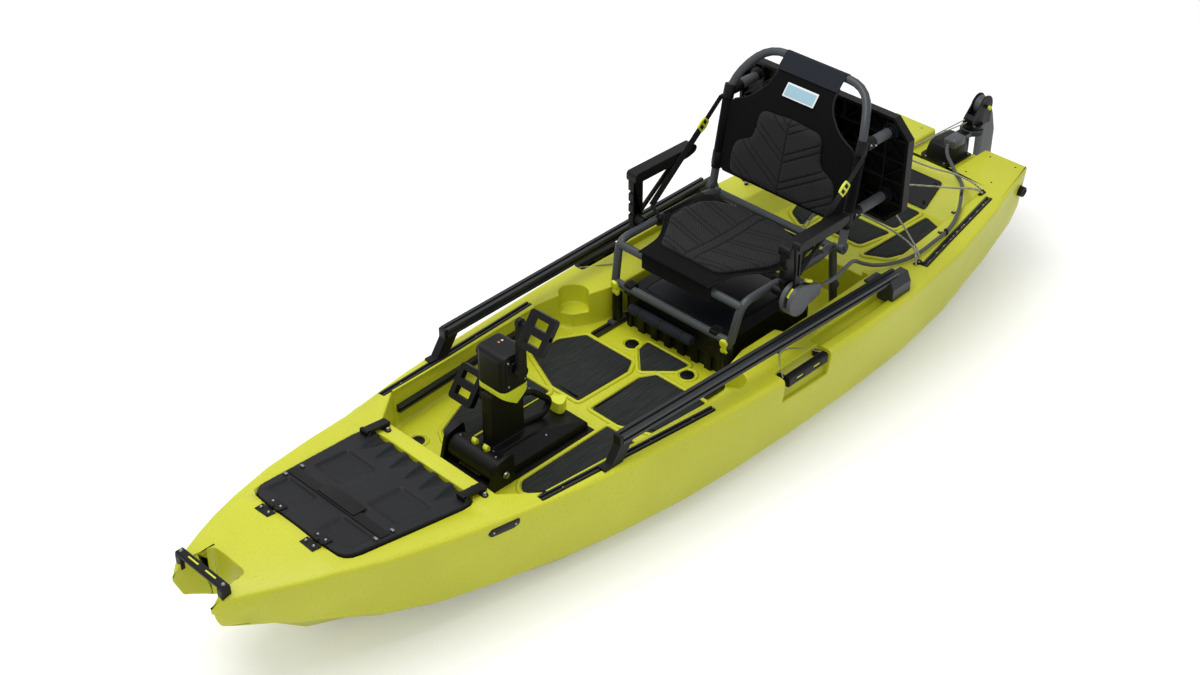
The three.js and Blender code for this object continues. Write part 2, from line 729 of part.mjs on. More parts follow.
// Where the straight tracks run
const trackEnds = {
  front: (side, drop) => [
    [FRONT_TRACK_FRONT_X, side * frontTrackFrontY, FRONT_TRACK_FRONT_Z - drop],
    [FRONT_TRACK_REAR_X, side * frontTrackRearY, FRONT_TRACK_REAR_Z - drop],
  ],
  rear: (side, drop) => [
    [rearTrackFrontX, side * rearTrackFrontY, REAR_TRACK_FRONT_Z - drop],
    [rearTrackRearX, side * rearTrackRearY, REAR_TRACK_REAR_Z - drop],
  ],
};

function slottedOutline(width, height) {
  const [half, slot] = [width / 2, SLOT_WIDTH / 2];
  return [
    [-half, 0], [half, 0], [half, height], [slot, height],
    [slot, height - SLOT_DEPTH], [-slot, height - SLOT_DEPTH], [-slot, height], [-half, height],
  ];
}

function trackRecess([a, b]) {
  const half = TRACK_WIDTH / 2 + PLAY;
  return bar(a, b, rectangle(-half, half, -CLEAR, TRACK_HEIGHT + OVERRUN));
}

function trackBar([a, b]) {
  const [start, end] = [vec(...a), vec(...b)];
  const inset = PLAY / start.distanceTo(end);
  const [from, to] = [start.clone().lerp(end, inset), end.clone().lerp(start, inset)];
  return bar(from.toArray(), to.toArray(), slottedOutline(TRACK_WIDTH, TRACK_HEIGHT));
}

// The sloped wall behind the tankwell, from its floor to the deck
const tankwellRearX = COCKPIT_REAR_X - BULKHEAD_THICKNESS - TANKWELL_LENGTH;
const tankwellRimZ = (REAR_TRACK_FRONT_Z + REAR_TRACK_REAR_Z) / 2;

function makeHull() {
  const skin = loft(stationShares.map(hullRing));
  const length = COCKPIT_FRONT_X - COCKPIT_REAR_X;
  const cockpit = mirrored(placed(cockpitShares, COCKPIT_REAR_X, 0, length, cockpitHalf));
  const tankwellFrontX = COCKPIT_REAR_X - BULKHEAD_THICKNESS;
  const tankwellFloor = mirrored([
    [tankwellFrontX, tankwellFrontHalf],
    [tankwellRearX, tankwellRearHalf],
  ]);
  const tankwellRim = mirrored([
    [tankwellFrontX, tankwellFrontHalf + TANKWELL_FLARE],
    [tankwellRearX - TANKWELL_SLOPE, tankwellRearHalf + TANKWELL_FLARE],
  ]);
  const hatchFloor = mirrored([
    [HATCH_FRONT_X - HATCH_FRONT_HALF * 0.6, HATCH_FRONT_HALF * 0.66],
    [HATCH_REAR_X + LID_LEDGE * 1.5, HATCH_REAR_HALF * 0.78],
  ]);
  const hatchRim = mirrored([
    [HATCH_FRONT_X - LID_LEDGE * 1.6, HATCH_FRONT_HALF - LID_LEDGE],
    [HATCH_REAR_X + LID_LEDGE, HATCH_REAR_HALF - LID_LEDGE],
  ]);
  const rebate = prismZ(lidOutline(LID_GAP), -LID_THICKNESS - CLEAR, OVERRUN);
  const topZ = HULL_DEPTH + OVERRUN;
  const notchMouth = BOW_NOTCH_HALF + BOW_NOTCH_FLARE;
  const notch = [
    [BOW_NOTCH_X, -BOW_NOTCH_HALF], [HULL_LENGTH / 2 + OVERRUN, -notchMouth],
    [HULL_LENGTH / 2 + OVERRUN, notchMouth], [BOW_NOTCH_X, BOW_NOTCH_HALF],
  ];
  const tools = [
    prismZ(cockpit, FLOOR_Z, topZ),
    block(COCKPIT_REAR_X + OVERRUN, tankwellFrontX - OVERRUN,
      -tankwellFrontHalf, tankwellFrontHalf, BULKHEAD_Z, topZ),
    well(tankwellFloor, TANKWELL_Z, tankwellRim, tankwellRimZ),
    turned(rebate, hatchFrame),
    well(hatchFloor, WELL_FLOOR_Z, hatchRim, HATCH_REAR_Z - LID_THICKNESS),
    block(STERN_CHANNEL_FRONT_X, -HULL_LENGTH, -STERN_CHANNEL_HALF, STERN_CHANNEL_HALF,
      STERN_CHANNEL_Z, topZ),
    block(STERN_CHANNEL_FRONT_X, -HULL_LENGTH, -HULL_BEAM, HULL_BEAM, PLATFORM_Z, topZ),
    prismZ(rounded(notch, BOW_NOTCH_CORNER), 0, topZ + OVERRUN),
    block(SLOT_REAR_X, SLOT_FRONT_X, -SLOT_HALF, SLOT_HALF, -OVERRUN, topZ),
    rodZ(LEG_PIVOT_X + LEG_LENGTH, 0, -OVERRUN, POCKET_TOP_Z, POCKET_RADIUS, 32),
  ];
  for (const side of [1, -1]) {
    tools.push(trackRecess(trackEnds.front(side, TRACK_HEIGHT - TRACK_PROUD)));
    tools.push(trackRecess(trackEnds.rear(side, TRACK_HEIGHT - TRACK_PROUD)));
    const cupTop = FRONT_TRACK_REAR_Z + OVERRUN;
    tools.push(rodZ(CUP_X, side * cupY, FRONT_TRACK_REAR_Z - CUP_DEPTH, cupTop, CUP_RADIUS, 24));
    const trough = rectangle(TROUGH_FRONT_X - TROUGH_LENGTH, TROUGH_FRONT_X,
      side * (troughY - TROUGH_WIDTH / 2), side * (troughY + TROUGH_WIDTH / 2));
    tools.push(prismZ(rounded(trough, TROUGH_WIDTH / 3), FRONT_TRACK_REAR_Z - TROUGH_DEPTH, cupTop));
    tools.push(sideRecess(side));
  }
  tools.push(rod(plugCentre(-OVERRUN), plugCentre(PLUG_LENGTH), PLUG_RADIUS + PLAY, 20));
  return cut(skin, ...tools);
}

const recessInnerY = HULL_BEAM / 2 - SIDE_RECESS_DEPTH;
function sideRecess(side) {
  const topZ = FRONT_TRACK_REAR_Z + OVERRUN;
  const outline = [
    [side * recessInnerY, topZ],
    [side * recessInnerY, FRONT_TRACK_REAR_Z - SIDE_RECESS_DROP * 0.55],
    [side * (recessInnerY + SIDE_RECESS_DEPTH * 0.5), FRONT_TRACK_REAR_Z - SIDE_RECESS_DROP],
    [side * HULL_BEAM, FRONT_TRACK_REAR_Z - SIDE_RECESS_DROP],
    [side * HULL_BEAM, topZ],
  ];
  const half = SIDE_HANDLE_LENGTH / 2 + SIDE_HANDLE_WIDTH / 2;
  return prismX(outline, SIDE_HANDLE_X - half, SIDE_HANDLE_X + half);
}

// The drain plug sits in the port quarter, on a line across the hull
const plugSurfaceY = (HULL_BEAM / 2) * 0.628;
function plugCentre(depth) {
  return [PLUG_X, plugSurfaceY - depth, PLUG_Z];
}

const hull = makeHull();
add(kayak, 'hull', hull, hullGreen);

// Bow handle: a bar across the two horns
function makeBowHandle() {
  const [x, half, thick] = [BOW_HANDLE_X, BOW_FOOT_LENGTH / 2, BOW_HANDLE_THICKNESS];
  const feet = [1, -1].map((side) =>
    block(x - half, x + half, side * (BOW_HANDLE_HALF - half), side * (BOW_HANDLE_HALF + half / 2),
      HULL_DEPTH, BOW_HANDLE_Z - thick / 4));
  const section = rectangle(x - BOW_HANDLE_WIDTH / 2, x + BOW_HANDLE_WIDTH / 2,
    BOW_HANDLE_Z - thick / 2, BOW_HANDLE_Z + thick / 2);
  const reach = BOW_HANDLE_HALF + half / 2;
  const grip = prismY(rounded(section, thick / 3, 2), -reach, reach);
  return clearOf(join(grip, ...feet), hull);
}
add(kayak, 'bow_handle', makeBowHandle(), blackPlastic, [BOW_HANDLE_X, 0, BOW_HANDLE_Z]);

// Hatch lid, in its own plane with the top face at zero
const hingeX = HATCH_FRONT_X + LID_GAP + HINGE_PIN;
const hingeZ = HATCH_FRONT_Z + HINGE_RADIUS + HINGE_THICKNESS / 2;

function leafGroove(y) {
  const tip = hatchLocal(HATCH_REAR_X) + LID_GROOVE_LENGTH;
  const root = hatchLocal(HATCH_REAR_X) - LID_GAP;
  const half = LID_GROOVE_PITCH / 3;
  const outline = [
    [root, y - half], [mix(root, tip, 0.45), y - half * 0.8], [mix(root, tip, 0.8), y - half * 0.35],
    [tip, y + half * 0.2], [mix(root, tip, 0.7), y + half * 0.55], [root, y + half],
  ];
  return prismZ(outline, -LID_GROOVE_DEPTH, OVERRUN);
}

function lidPocket(frontX, rearX, side) {
  const [front, rear] = [hatchLocal(frontX), hatchLocal(rearX)];
  const inner = HATCH_FRONT_HALF * 0.25;
  const outer = (x) => hatchHalf(x) - LID_LEDGE * 2;
  const outline = [
    [front, side * inner], [front, side * outer(frontX)], [rear, side * outer(rearX)], [rear, side * inner],
  ];
  return prismZ(rounded(outline, LID_LEDGE / 2, 2), -LID_POCKET_DEPTH, OVERRUN);
}

function lidLeaf(side) {
  const y = side * HINGE_Y;
  const [third, half] = [HINGE_WIDTH / 6, HINGE_WIDTH / 2];
  const plate = block(hingeX - HINGE_LEAF, hingeX - HINGE_RADIUS / 2, y - half, y + half,
    HATCH_FRONT_Z - HINGE_THICKNESS, HATCH_FRONT_Z + HINGE_THICKNESS);
  const knuckle = rodY(hingeX, hingeZ, y - half, y + half, HINGE_RADIUS, 12);
  const bore = rodY(hingeX, hingeZ, y - half * 2, y + half * 2, HINGE_PIN + CLEAR, 10);
  const middle = block(hingeX - HINGE_RADIUS * 1.4, hingeX + HINGE_RADIUS * 2,
    y - third - CLEAR, y + third + CLEAR, HATCH_FRONT_Z - HINGE_THICKNESS, HATCH_FRONT_Z + OVERRUN);
  return cut(join(plate, knuckle), bore, middle);
}

// Where a latch turns, on the lid near a rear corner
const latchX = HATCH_REAR_X + LATCH_BACK;
const latchZ = HATCH_REAR_Z + Math.tan(hatchPitch) * LATCH_BACK + LATCH_RISE;

function latchLugs(side) {
  const y = side * LATCH_Y;
  const [inner, outer] = [LATCH_WIDTH / 2 + PLAY, LATCH_WIDTH / 2 + PLAY + HINGE_THICKNESS];
  const outline = rounded(rectangle(latchX - LATCH_EYE, latchX + LATCH_EYE,
    latchZ - LATCH_RISE - HINGE_THICKNESS, latchZ + LATCH_EYE), LATCH_EYE, 3);
  const lugs = [1, -1].map((way) => prismY(outline, y + way * inner, y + way * outer));
  return join(rodY(latchX, latchZ, y - outer, y + outer, LATCH_PIN, 10), ...lugs);
}

function makeLid() {
  const bevelled = loft([
    lidOutline(0).map(([x, y]) => [x, y, -LID_THICKNESS]),
    lidOutline(0).map(([x, y]) => [x, y, -LID_BEVEL]),
    lidOutline(-LID_BEVEL).map(([x, y]) => [x, y, 0]),
  ]);
  const span = (HATCH_FRONT_X - HATCH_REAR_X);
  const marks = [];
  for (const side of [1, -1]) {
    marks.push(lidPocket(HATCH_FRONT_X - span * 0.07, HATCH_FRONT_X - span * 0.27, side));
    marks.push(lidPocket(HATCH_FRONT_X - span * 0.46, HATCH_FRONT_X - span * 0.72, side));
  }
  for (let i = 0; i < LID_GROOVES; i += 1) {
    marks.push(leafGroove((i - (LID_GROOVES - 1) / 2) * LID_GROOVE_PITCH));
  }
  const plate = turned(cut(bevelled, ...marks), hatchFrame);
  return join(plate, lidLeaf(1), lidLeaf(-1), latchLugs(1), latchLugs(-1));
}
const lid = makeLid();
add(kayak, 'hatch_lid', lid, lidGrey, [hingeX, 0, hingeZ]);

for (const side of [1, -1]) {
  const y = side * HINGE_Y;
  const [third, half] = [HINGE_WIDTH / 6, HINGE_WIDTH / 2];
  const leaf = block(hingeX + HINGE_RADIUS * 1.2, hingeX + HINGE_LEAF, y - half, y + half,
    HATCH_FRONT_Z - HINGE_THICKNESS * 2, HATCH_FRONT_Z + HINGE_THICKNESS);
  const arm = block(hingeX, hingeX + HINGE_LEAF, y - third, y + third,
    HATCH_FRONT_Z - HINGE_THICKNESS, HATCH_FRONT_Z + HINGE_THICKNESS);
  const knuckle = rodY(hingeX, hingeZ, y - third, y + third, HINGE_RADIUS, 12);
  const pin = rodY(hingeX, hingeZ, y - half, y + half, HINGE_PIN, 10);
  const hinge = clearOf(join(leaf, arm, knuckle, pin), hull);
  add(kayak, `hatch_hinge_${sideName(side)}`, hinge, blackPlastic, [hingeX, y, hingeZ]);
}

// Hatch strap: webbing laid flat across the lid
function makeHatchStrap() {
  const reach = hatchHalf(STRAP_X) - LID_BEVEL * 2;
  const x = hatchLocal(STRAP_X);
  const outline = rectangle(x - STRAP_WIDTH / 2, x + STRAP_WIDTH / 2, -reach, reach);
  return turned(prismZ(outline, CLEAR, CLEAR + STRAP_THICKNESS), hatchFrame);
}
add(kayak, 'hatch_strap', makeHatchStrap(), webbing);

// Latches and keepers
for (const side of [1, -1]) {
  const y = side * LATCH_Y;
  const half = LATCH_WIDTH / 2;
  const tailX = latchX - LATCH_LENGTH;
  const keeperFrontX = tailX + KEEPER_LENGTH * 1.5;
  const keeperTopZ = HATCH_REAR_Z + KEEPER_HEIGHT * 0.2;
  const under = latchZ - LATCH_EYE * 0.6;
  const outline = [
    [latchX, under], [keeperFrontX + PLAY, keeperTopZ + PLAY],
    [tailX + KEEPER_LENGTH / 2 - PLAY, keeperTopZ + PLAY],
    [tailX + KEEPER_LENGTH / 2 - PLAY, keeperTopZ - KEEPER_HEIGHT / 2],
    [tailX, keeperTopZ - KEEPER_HEIGHT / 2], [tailX, keeperTopZ + LATCH_THICKNESS],
    [latchX, latchZ + LATCH_EYE * 0.6],
  ];
  const eye = rodY(latchX, latchZ, y - half, y + half, LATCH_EYE - PLAY, 14);
  const bore = rodY(latchX, latchZ, y - half * 2, y + half * 2, LATCH_PIN + CLEAR, 10);
  const latch = cut(join(prismY(outline, y - half, y + half), eye), bore);
  add(kayak, `latch_${sideName(side)}`, latch, blackPlastic, [latchX, y, latchZ]);
  const keeper = block(tailX + KEEPER_LENGTH / 2, keeperFrontX, y - half, y + half,
    keeperTopZ - KEEPER_HEIGHT * 3, keeperTopZ);
  add(kayak, `latch_keeper_${sideName(side)}`, clearOf(keeper, hull), blackPlastic,
    [keeperFrontX, y, keeperTopZ]);
}

// Gear tracks on the deck, the floor and the inner wall
const frontTracks = {};
for (const side of [1, -1]) {
  const front = trackBar(trackEnds.front(side, TRACK_HEIGHT - TRACK_PROUD));
  const rear = trackBar(trackEnds.rear(side, TRACK_HEIGHT - TRACK_PROUD));
  frontTracks[side] = front;
  add(kayak, `front_track_${sideName(side)}`, front, blackPlastic);
  add(kayak, `rear_track_${sideName(side)}`, rear, blackPlastic);
  const z = FLOOR_Z + CLEAR;
  const floorTrack = bar([SEAT_TRACK_FRONT_X, side * seatTrackY, z],
    [SEAT_TRACK_FRONT_X - SEAT_TRACK_LENGTH, side * seatTrackY, z],
    slottedOutline(SEAT_TRACK_WIDTH, SEAT_TRACK_HEIGHT));
  add(kayak, `seat_track_${sideName(side)}`, floorTrack, blackPlastic);
}

const cockpitLength = COCKPIT_FRONT_X - COCKPIT_REAR_X;
function wallY(x) {
  const [, [frontX, frontY], [rearX, rearY]] = cockpitShares;
  const at = (x - COCKPIT_REAR_X) / cockpitLength;
  return cockpitHalf * mix(rearY, frontY, (at - rearX) / (frontX - rearX));
}
function makeWallTrack() {
  const offset = WALL_TRACK_WIDTH / 2 + CLEAR * 2;
  const half = WALL_TRACK_HEIGHT / 2;
  const outline = [
    [-WALL_TRACK_WIDTH / 2, -half], [WALL_TRACK_WIDTH / 2, -half], [WALL_TRACK_WIDTH / 2, half],
    [-WALL_TRACK_WIDTH / 2, half], [-WALL_TRACK_WIDTH / 2, SLOT_WIDTH / 2], [0, SLOT_WIDTH / 2],
    [0, -SLOT_WIDTH / 2], [-WALL_TRACK_WIDTH / 2, -SLOT_WIDTH / 2],
  ];
  return bar([WALL_TRACK_FRONT_X, -wallY(WALL_TRACK_FRONT_X) + offset, WALL_TRACK_Z],
    [WALL_TRACK_REAR_X, -wallY(WALL_TRACK_REAR_X) + offset, WALL_TRACK_Z], outline);
}
add(kayak, 'wall_track_starboard', makeWallTrack(), blackPlastic);

// Side rails: slotted aluminium bars on a front leg and a rear bracket
function railOutline() {
  const [half, slot] = [RAIL_WIDTH / 2, SLOT_WIDTH / 2];
  const [middle, deep] = [RAIL_HEIGHT / 2, SLOT_DEPTH];
  const right = [
    [half, 0], [half, middle - slot], [half - deep, middle - slot], [half - deep, middle + slot],
    [half, middle + slot], [half, RAIL_HEIGHT], [slot, RAIL_HEIGHT], [slot, RAIL_HEIGHT - deep],
  ];
  return [...right, ...right.map(([u, v]) => [-u, v]).reverse()];
}
const railBottomZ = RAIL_TOP_Z - RAIL_HEIGHT;

for (const side of [1, -1]) {
  const beam = bar([RAIL_FRONT_X, side * railFrontY, railBottomZ],
    [RAIL_REAR_X, side * railRearY, railBottomZ], railOutline());
  const bracketX = RAIL_REAR_X - RAIL_BRACKET_LENGTH / 2;
  const innerY = railRearY - RAIL_BRACKET_OUT;
  const outerY = railRearY + RAIL_BRACKET_OUT;
  const saddleOutline = [
    [side * innerY, FLOOR_Z], [side * outerY, FLOOR_Z], [side * outerY, railBottomZ - RAIL_HEIGHT / 2],
    [side * (outerY - RAIL_BRACKET_OUT / 2), railBottomZ + RAIL_HEIGHT / 2],
    [side * (innerY + RAIL_BRACKET_OUT / 2), railBottomZ + RAIL_HEIGHT / 2],
    [side * innerY, railBottomZ - RAIL_HEIGHT / 2],
  ];
  const saddle = prismX(saddleOutline, bracketX, bracketX + RAIL_BRACKET_LENGTH);
  const deckZ = FRONT_TRACK_FRONT_Z;
  const flange = block(bracketX, bracketX + RAIL_BRACKET_LENGTH * 0.7,
    side * (railRearY - RAIL_FLANGE_REACH), side * railRearY,
    deckZ - RAIL_FLANGE_THICKNESS * 2, deckZ + RAIL_FLANGE_THICKNESS);
  const rail = clearOf(join(beam, saddle, flange), hull);
  const kept = rail.intersect(block(-HULL_LENGTH, HULL_LENGTH, -HULL_BEAM, HULL_BEAM,
    BULKHEAD_Z, HULL_LENGTH));
  add(kayak, `rail_${sideName(side)}`, kept, railGrey, [RAIL_FRONT_X, side * railFrontY, railBottomZ]);

  const topZ = railBottomZ - CLEAR;
  const footZ = FRONT_TRACK_REAR_Z;
  const capX = RAIL_FRONT_X + CLEAR;
  const legY = [railFrontY - RAIL_LEG_WIDTH / 2, railFrontY + RAIL_LEG_WIDTH / 2];
  const legOutline = [
    [capX + RAIL_CAP, RAIL_TOP_Z], [capX, RAIL_TOP_Z], [capX, topZ], [capX - RAIL_LEG_DEPTH, topZ],
    [RAIL_LEG_FOOT_X - RAIL_LEG_DEPTH * 0.7, footZ], [RAIL_LEG_FOOT_X + RAIL_LEG_DEPTH / 2, footZ],
    [capX + RAIL_CAP, topZ],
  ];
  const foot = block(RAIL_LEG_FOOT_X - RAIL_FOOT_LENGTH / 2, RAIL_LEG_FOOT_X + RAIL_FOOT_LENGTH / 2,
    side * (legY[0] - PLAY), side * legY[1], footZ, FRONT_TRACK_FRONT_Z + PLAY);
  const upright = join(prismY(legOutline, side * legY[0], side * legY[1]), foot);
  const onDeck = clearOf(upright, hull, [[0, 0, 1], [0, 1, 0], [0, -1, 0]]);
  const leg = clearOf(clearOf(onDeck, frontTracks[side], EVERY_WAY), kept, EVERY_WAY);
  add(kayak, `rail_leg_${sideName(side)}`, leg, blackPlastic, [RAIL_LEG_FOOT_X, side * railFrontY, footZ]);
}

// Floor pads
for (const side of [1, -1]) {
  const z = [FLOOR_Z + CLEAR, FLOOR_Z + CLEAR + PAD_THICKNESS];
  const mid = placed(midPadShares, PAD_MID_REAR_X, PAD_MID_INNER_Y, PAD_MID_LENGTH, padMidWidth);
  const front = placed(frontPadShares, PAD_FRONT_REAR_X, PAD_FRONT_INNER_Y,
    PAD_FRONT_LENGTH, padFrontWidth);
  const sided = (points) => points.map(([x, y]) => [x, side * y]);
  const midPad = prismZ(rounded(sided(mid), PAD_THICKNESS * 3, 2), ...z);
  const frontPad = prismZ(rounded(sided(front), PAD_THICKNESS * 3, 2), ...z);
  add(kayak, `pad_mid_${sideName(side)}`, midPad, padGrey);
  add(kayak, `pad_front_${sideName(side)}`, frontPad, padGrey);
}
const aftPad = placed(aftPadShares, PAD_AFT_X, 0, -PAD_AFT_LENGTH, PAD_AFT_WIDTH);
add(kayak, 'tankwell_pad', prismZ(rounded(aftPad, PAD_THICKNESS * 3, 2),
  TANKWELL_Z + CLEAR, TANKWELL_Z + CLEAR + PAD_THICKNESS), padGrey);

// Drive dock: a slotted floor plate with two ears that hold the pivot pin
function makeDock() {
  const z = FLOOR_Z + CLEAR;
  const plate = block(DOCK_REAR_X, DOCK_FRONT_X, -DOCK_HALF_WIDTH, DOCK_HALF_WIDTH, z, z + DOCK_THICKNESS);
  const slot = block(SLOT_REAR_X, SLOT_FRONT_X, -SLOT_HALF, SLOT_HALF, 0, z + OVERRUN);
  const earOutline = rounded([
    [DRIVE_PIVOT_X - EAR_LENGTH * 0.62, z], [DRIVE_PIVOT_X - EAR_LENGTH * 0.5, EAR_TOP_Z],
    [DRIVE_PIVOT_X + EAR_LENGTH * 0.45, EAR_TOP_Z - EAR_THICKNESS], [DRIVE_PIVOT_X + EAR_LENGTH * 0.8, z],
  ], EAR_THICKNESS, 3);
  const ears = [1, -1].map((side) =>
    prismY(earOutline, side * DOCK_HALF_WIDTH, side * (DOCK_HALF_WIDTH - EAR_THICKNESS)));
  const edge = DOCK_HALF_WIDTH;
  const pin = rodY(DRIVE_PIVOT_X, DRIVE_PIVOT_Z, -edge, edge, PIVOT_PIN, 14);
  const heads = rodY(DRIVE_PIVOT_X, DRIVE_PIVOT_Z, -edge - BOLT_HEIGHT, edge + BOLT_HEIGHT, BOLT_RADIUS, 12);
  const gap = block(SLOT_REAR_X, DOCK_FRONT_X + OVERRUN, -edge + EAR_THICKNESS, edge - EAR_THICKNESS,
    z + DOCK_THICKNESS, HULL_DEPTH);
  const flanks = join(cut(heads, gap), ...ears);
  return join(cut(plate, slot), flanks, pin);
}
add(kayak, 'drive_dock', makeDock(), blackPlastic, [DRIVE_PIVOT_X, 0, DRIVE_PIVOT_Z]);

// Drive base: barrel, wedge deck, column, loop handle and the trunk that carries the leg
const baseZ = FLOOR_Z + CLEAR + DOCK_THICKNESS + PLAY;
const wedgeKneeX = BASE_REAR_X + BASE_REAR_HEIGHT;
const wedgeTop = (x) => baseZ + mix(BASE_REAR_HEIGHT, BASE_FRONT_HEIGHT,
  (x - wedgeKneeX) / (COLUMN_REAR_X - wedgeKneeX));
const knobSeatZ = wedgeTop(KNOB_X + KNOB_RADIUS * 1.2) + CLEAR;
const trunkBottomZ = LEG_PIVOT_Z - LEG_HALF_HEIGHT;

function capOutline(drop) {
  const [x0, x1] = [HOUSING_REAR_X, HOUSING_FRONT_X];
  const z = HOUSING_BOTTOM_Z - CLEAR;
  return [
    [x0, z], [x1, z], [x1, z - CAP_BAND - drop], [mix(x0, x1, 0.5), z - CAP_APEX - drop],
    [x0, z - CAP_BAND - drop],
  ];
}

function makeDriveBase() {
  const bodyRearX = BASE_REAR_X;
  const wedgeOutline = [
    [bodyRearX, baseZ], [DRIVE_PIVOT_X, baseZ], [DRIVE_PIVOT_X, DRIVE_PIVOT_Z + BARREL_RADIUS * 0.8],
    [COLUMN_FRONT_X, baseZ + BASE_FRONT_HEIGHT], [COLUMN_REAR_X, baseZ + BASE_FRONT_HEIGHT],
    [wedgeKneeX, baseZ + BASE_REAR_HEIGHT], [bodyRearX, baseZ + BASE_REAR_HEIGHT * 0.6],
  ];
  const wedge = prismY(wedgeOutline, -BASE_HALF_WIDTH, BASE_HALF_WIDTH);
  const shoulder = (side) => prismX([
    [side * BASE_HALF_WIDTH * 0.55, baseZ + BASE_FRONT_HEIGHT + OVERRUN],
    [side * (BASE_HALF_WIDTH + PLAY), baseZ + BASE_FRONT_HEIGHT + OVERRUN],
    [side * (BASE_HALF_WIDTH + PLAY), baseZ + BASE_REAR_HEIGHT * 0.7],
    [side * BASE_HALF_WIDTH * 0.55, baseZ + BASE_FRONT_HEIGHT * 0.86],
  ], BASE_REAR_X - OVERRUN, DRIVE_PIVOT_X - BARREL_RADIUS);
  const barrel = rodY(DRIVE_PIVOT_X, DRIVE_PIVOT_Z, -BASE_HALF_WIDTH, BASE_HALF_WIDTH, BARREL_RADIUS, 24);
  const columnOutline = [
    [COLUMN_REAR_X, baseZ], [COLUMN_FRONT_X, baseZ], [COLUMN_FRONT_X, COLUMN_TOP_Z],
    [COLUMN_REAR_X, COLUMN_TOP_Z],
  ];
  const column = prismY(columnOutline, -COLUMN_WIDTH / 2, COLUMN_WIDTH / 2);
  const capSpace = prismY([
    [COLUMN_REAR_X - OVERRUN, HOUSING_TOP_Z], [COLUMN_REAR_X - OVERRUN, HOUSING_BOTTOM_Z - CAP_BAND],
    ...[...capOutline(CLEAR)].slice(2).reverse(),
    [COLUMN_FRONT_X + OVERRUN, HOUSING_BOTTOM_Z - CAP_BAND], [COLUMN_FRONT_X + OVERRUN, HOUSING_TOP_Z],
  ], -BASE_HALF_WIDTH, BASE_HALF_WIDTH);
  const loopTop = LOOP_TOP_Z;
  const loop = bentTube([
    [COLUMN_REAR_X + LOOP_RADIUS, 0, loopTop + LOOP_RADIUS],
    [mix(COLUMN_REAR_X, LOOP_REAR_X, 0.35), 0, loopTop],
    [LOOP_REAR_X, 0, mix(baseZ + BASE_REAR_HEIGHT, loopTop, 0.42)],
    [mix(COLUMN_REAR_X, LOOP_REAR_X, 0.78), 0, baseZ + BASE_REAR_HEIGHT * 1.7],
    [COLUMN_REAR_X + LOOP_RADIUS, 0, baseZ + BASE_FRONT_HEIGHT * 1.1],
  ], LOOP_RADIUS * 2.5, LOOP_RADIUS, 10, 4);
  const trunkRearX = LEG_PIVOT_X - LEG_HALF_WIDTH;
  const trunkOutline = rounded([
    [trunkRearX, trunkBottomZ], [LEG_PIVOT_X + LEG_HALF_WIDTH * 1.6, trunkBottomZ],
    [LEG_PIVOT_X + LEG_HALF_WIDTH * 2.6, baseZ + PLAY], [trunkRearX, baseZ + PLAY],
  ], LEG_HALF_HEIGHT * 0.8, 3);
  const trunk = prismY(trunkOutline, -TRUNK_HALF_WIDTH, TRUNK_HALF_WIDTH);
  const legSpace = block(trunkRearX - OVERRUN, LEG_PIVOT_X + LEG_LENGTH / 2, -LEG_HALF_WIDTH - PLAY,
    LEG_HALF_WIDTH + PLAY, 0, LEG_PIVOT_Z + LEG_HALF_HEIGHT * 1.5);
  const legPin = rodY(LEG_PIVOT_X, LEG_PIVOT_Z, -TRUNK_HALF_WIDTH, TRUNK_HALF_WIDTH, LEG_PIN, 12);
  const shell = cut(join(wedge, barrel), shoulder(1), shoulder(-1));
  const pivotBore = rodY(DRIVE_PIVOT_X, DRIVE_PIVOT_Z, -HULL_BEAM, HULL_BEAM, PIVOT_PIN + CLEAR * 2, 14);
  const leverBore = rodY(LEVER_X, leverShaftZ, -LEVER_SPACING, LEVER_SPACING, LEVER_SHAFT + CLEAR, 10);
  const leverSpaces = [1, -1].map((side) => leverSpace(side));
  const knobBore = rodZ(KNOB_X, 0, baseZ + BASE_REAR_HEIGHT / 2, HULL_DEPTH, KNOB_STEM + CLEAR, 14);
  const body = join(shell, cut(column, capSpace), loop, cut(trunk, legSpace), legPin);
  return cut(body, pivotBore, leverBore, ...leverSpaces, knobBore);
}

// Release levers: two tabs on one short shaft inside the barrel's top
const leverShaftZ = DRIVE_PIVOT_Z + BARREL_RADIUS * 0.55;
function leverSpace(side) {
  const y = (side * LEVER_SPACING) / 2;
  const half = LEVER_SHAFT * 1.6 + PLAY;
  return block(LEVER_X - LEVER_SHAFT * 2.4, LEVER_X + LEVER_SHAFT * 2.4, y - half, y + half,
    leverShaftZ - LEVER_SHAFT - PLAY, HOUSING_TOP_Z);
}
function makeLevers() {
  const shaft = rodY(LEVER_X, leverShaftZ, -LEVER_SPACING + PLAY, LEVER_SPACING - PLAY, LEVER_SHAFT, 10);
  const tabs = [1, -1].map((side) => {
    const y = (side * LEVER_SPACING) / 2;
    const outline = rounded([
      [LEVER_X - LEVER_SHAFT, leverShaftZ], [LEVER_X + LEVER_SHAFT, leverShaftZ],
      [LEVER_X + LEVER_SHAFT * 1.6, leverShaftZ + LEVER_HEIGHT * 0.7],
      [LEVER_X + LEVER_SHAFT * 0.4, leverShaftZ + LEVER_HEIGHT],
      [LEVER_X - LEVER_SHAFT * 1.2, leverShaftZ + LEVER_HEIGHT * 0.8],
    ], LEVER_SHAFT / 2, 2);
    return prismY(outline, y - LEVER_SHAFT * 1.6, y + LEVER_SHAFT * 1.6);
  });
  return join(shaft, ...tabs);
}

const drive = new THREE.Group();
kayak.add(drive);
const base = makeDriveBase();
add(drive, 'drive_base', base, blackPlastic, [DRIVE_PIVOT_X, 0, DRIVE_PIVOT_Z]);
add(drive, 'release_levers', makeLevers(), accentGreen, [LEVER_X, 0, leverShaftZ]);

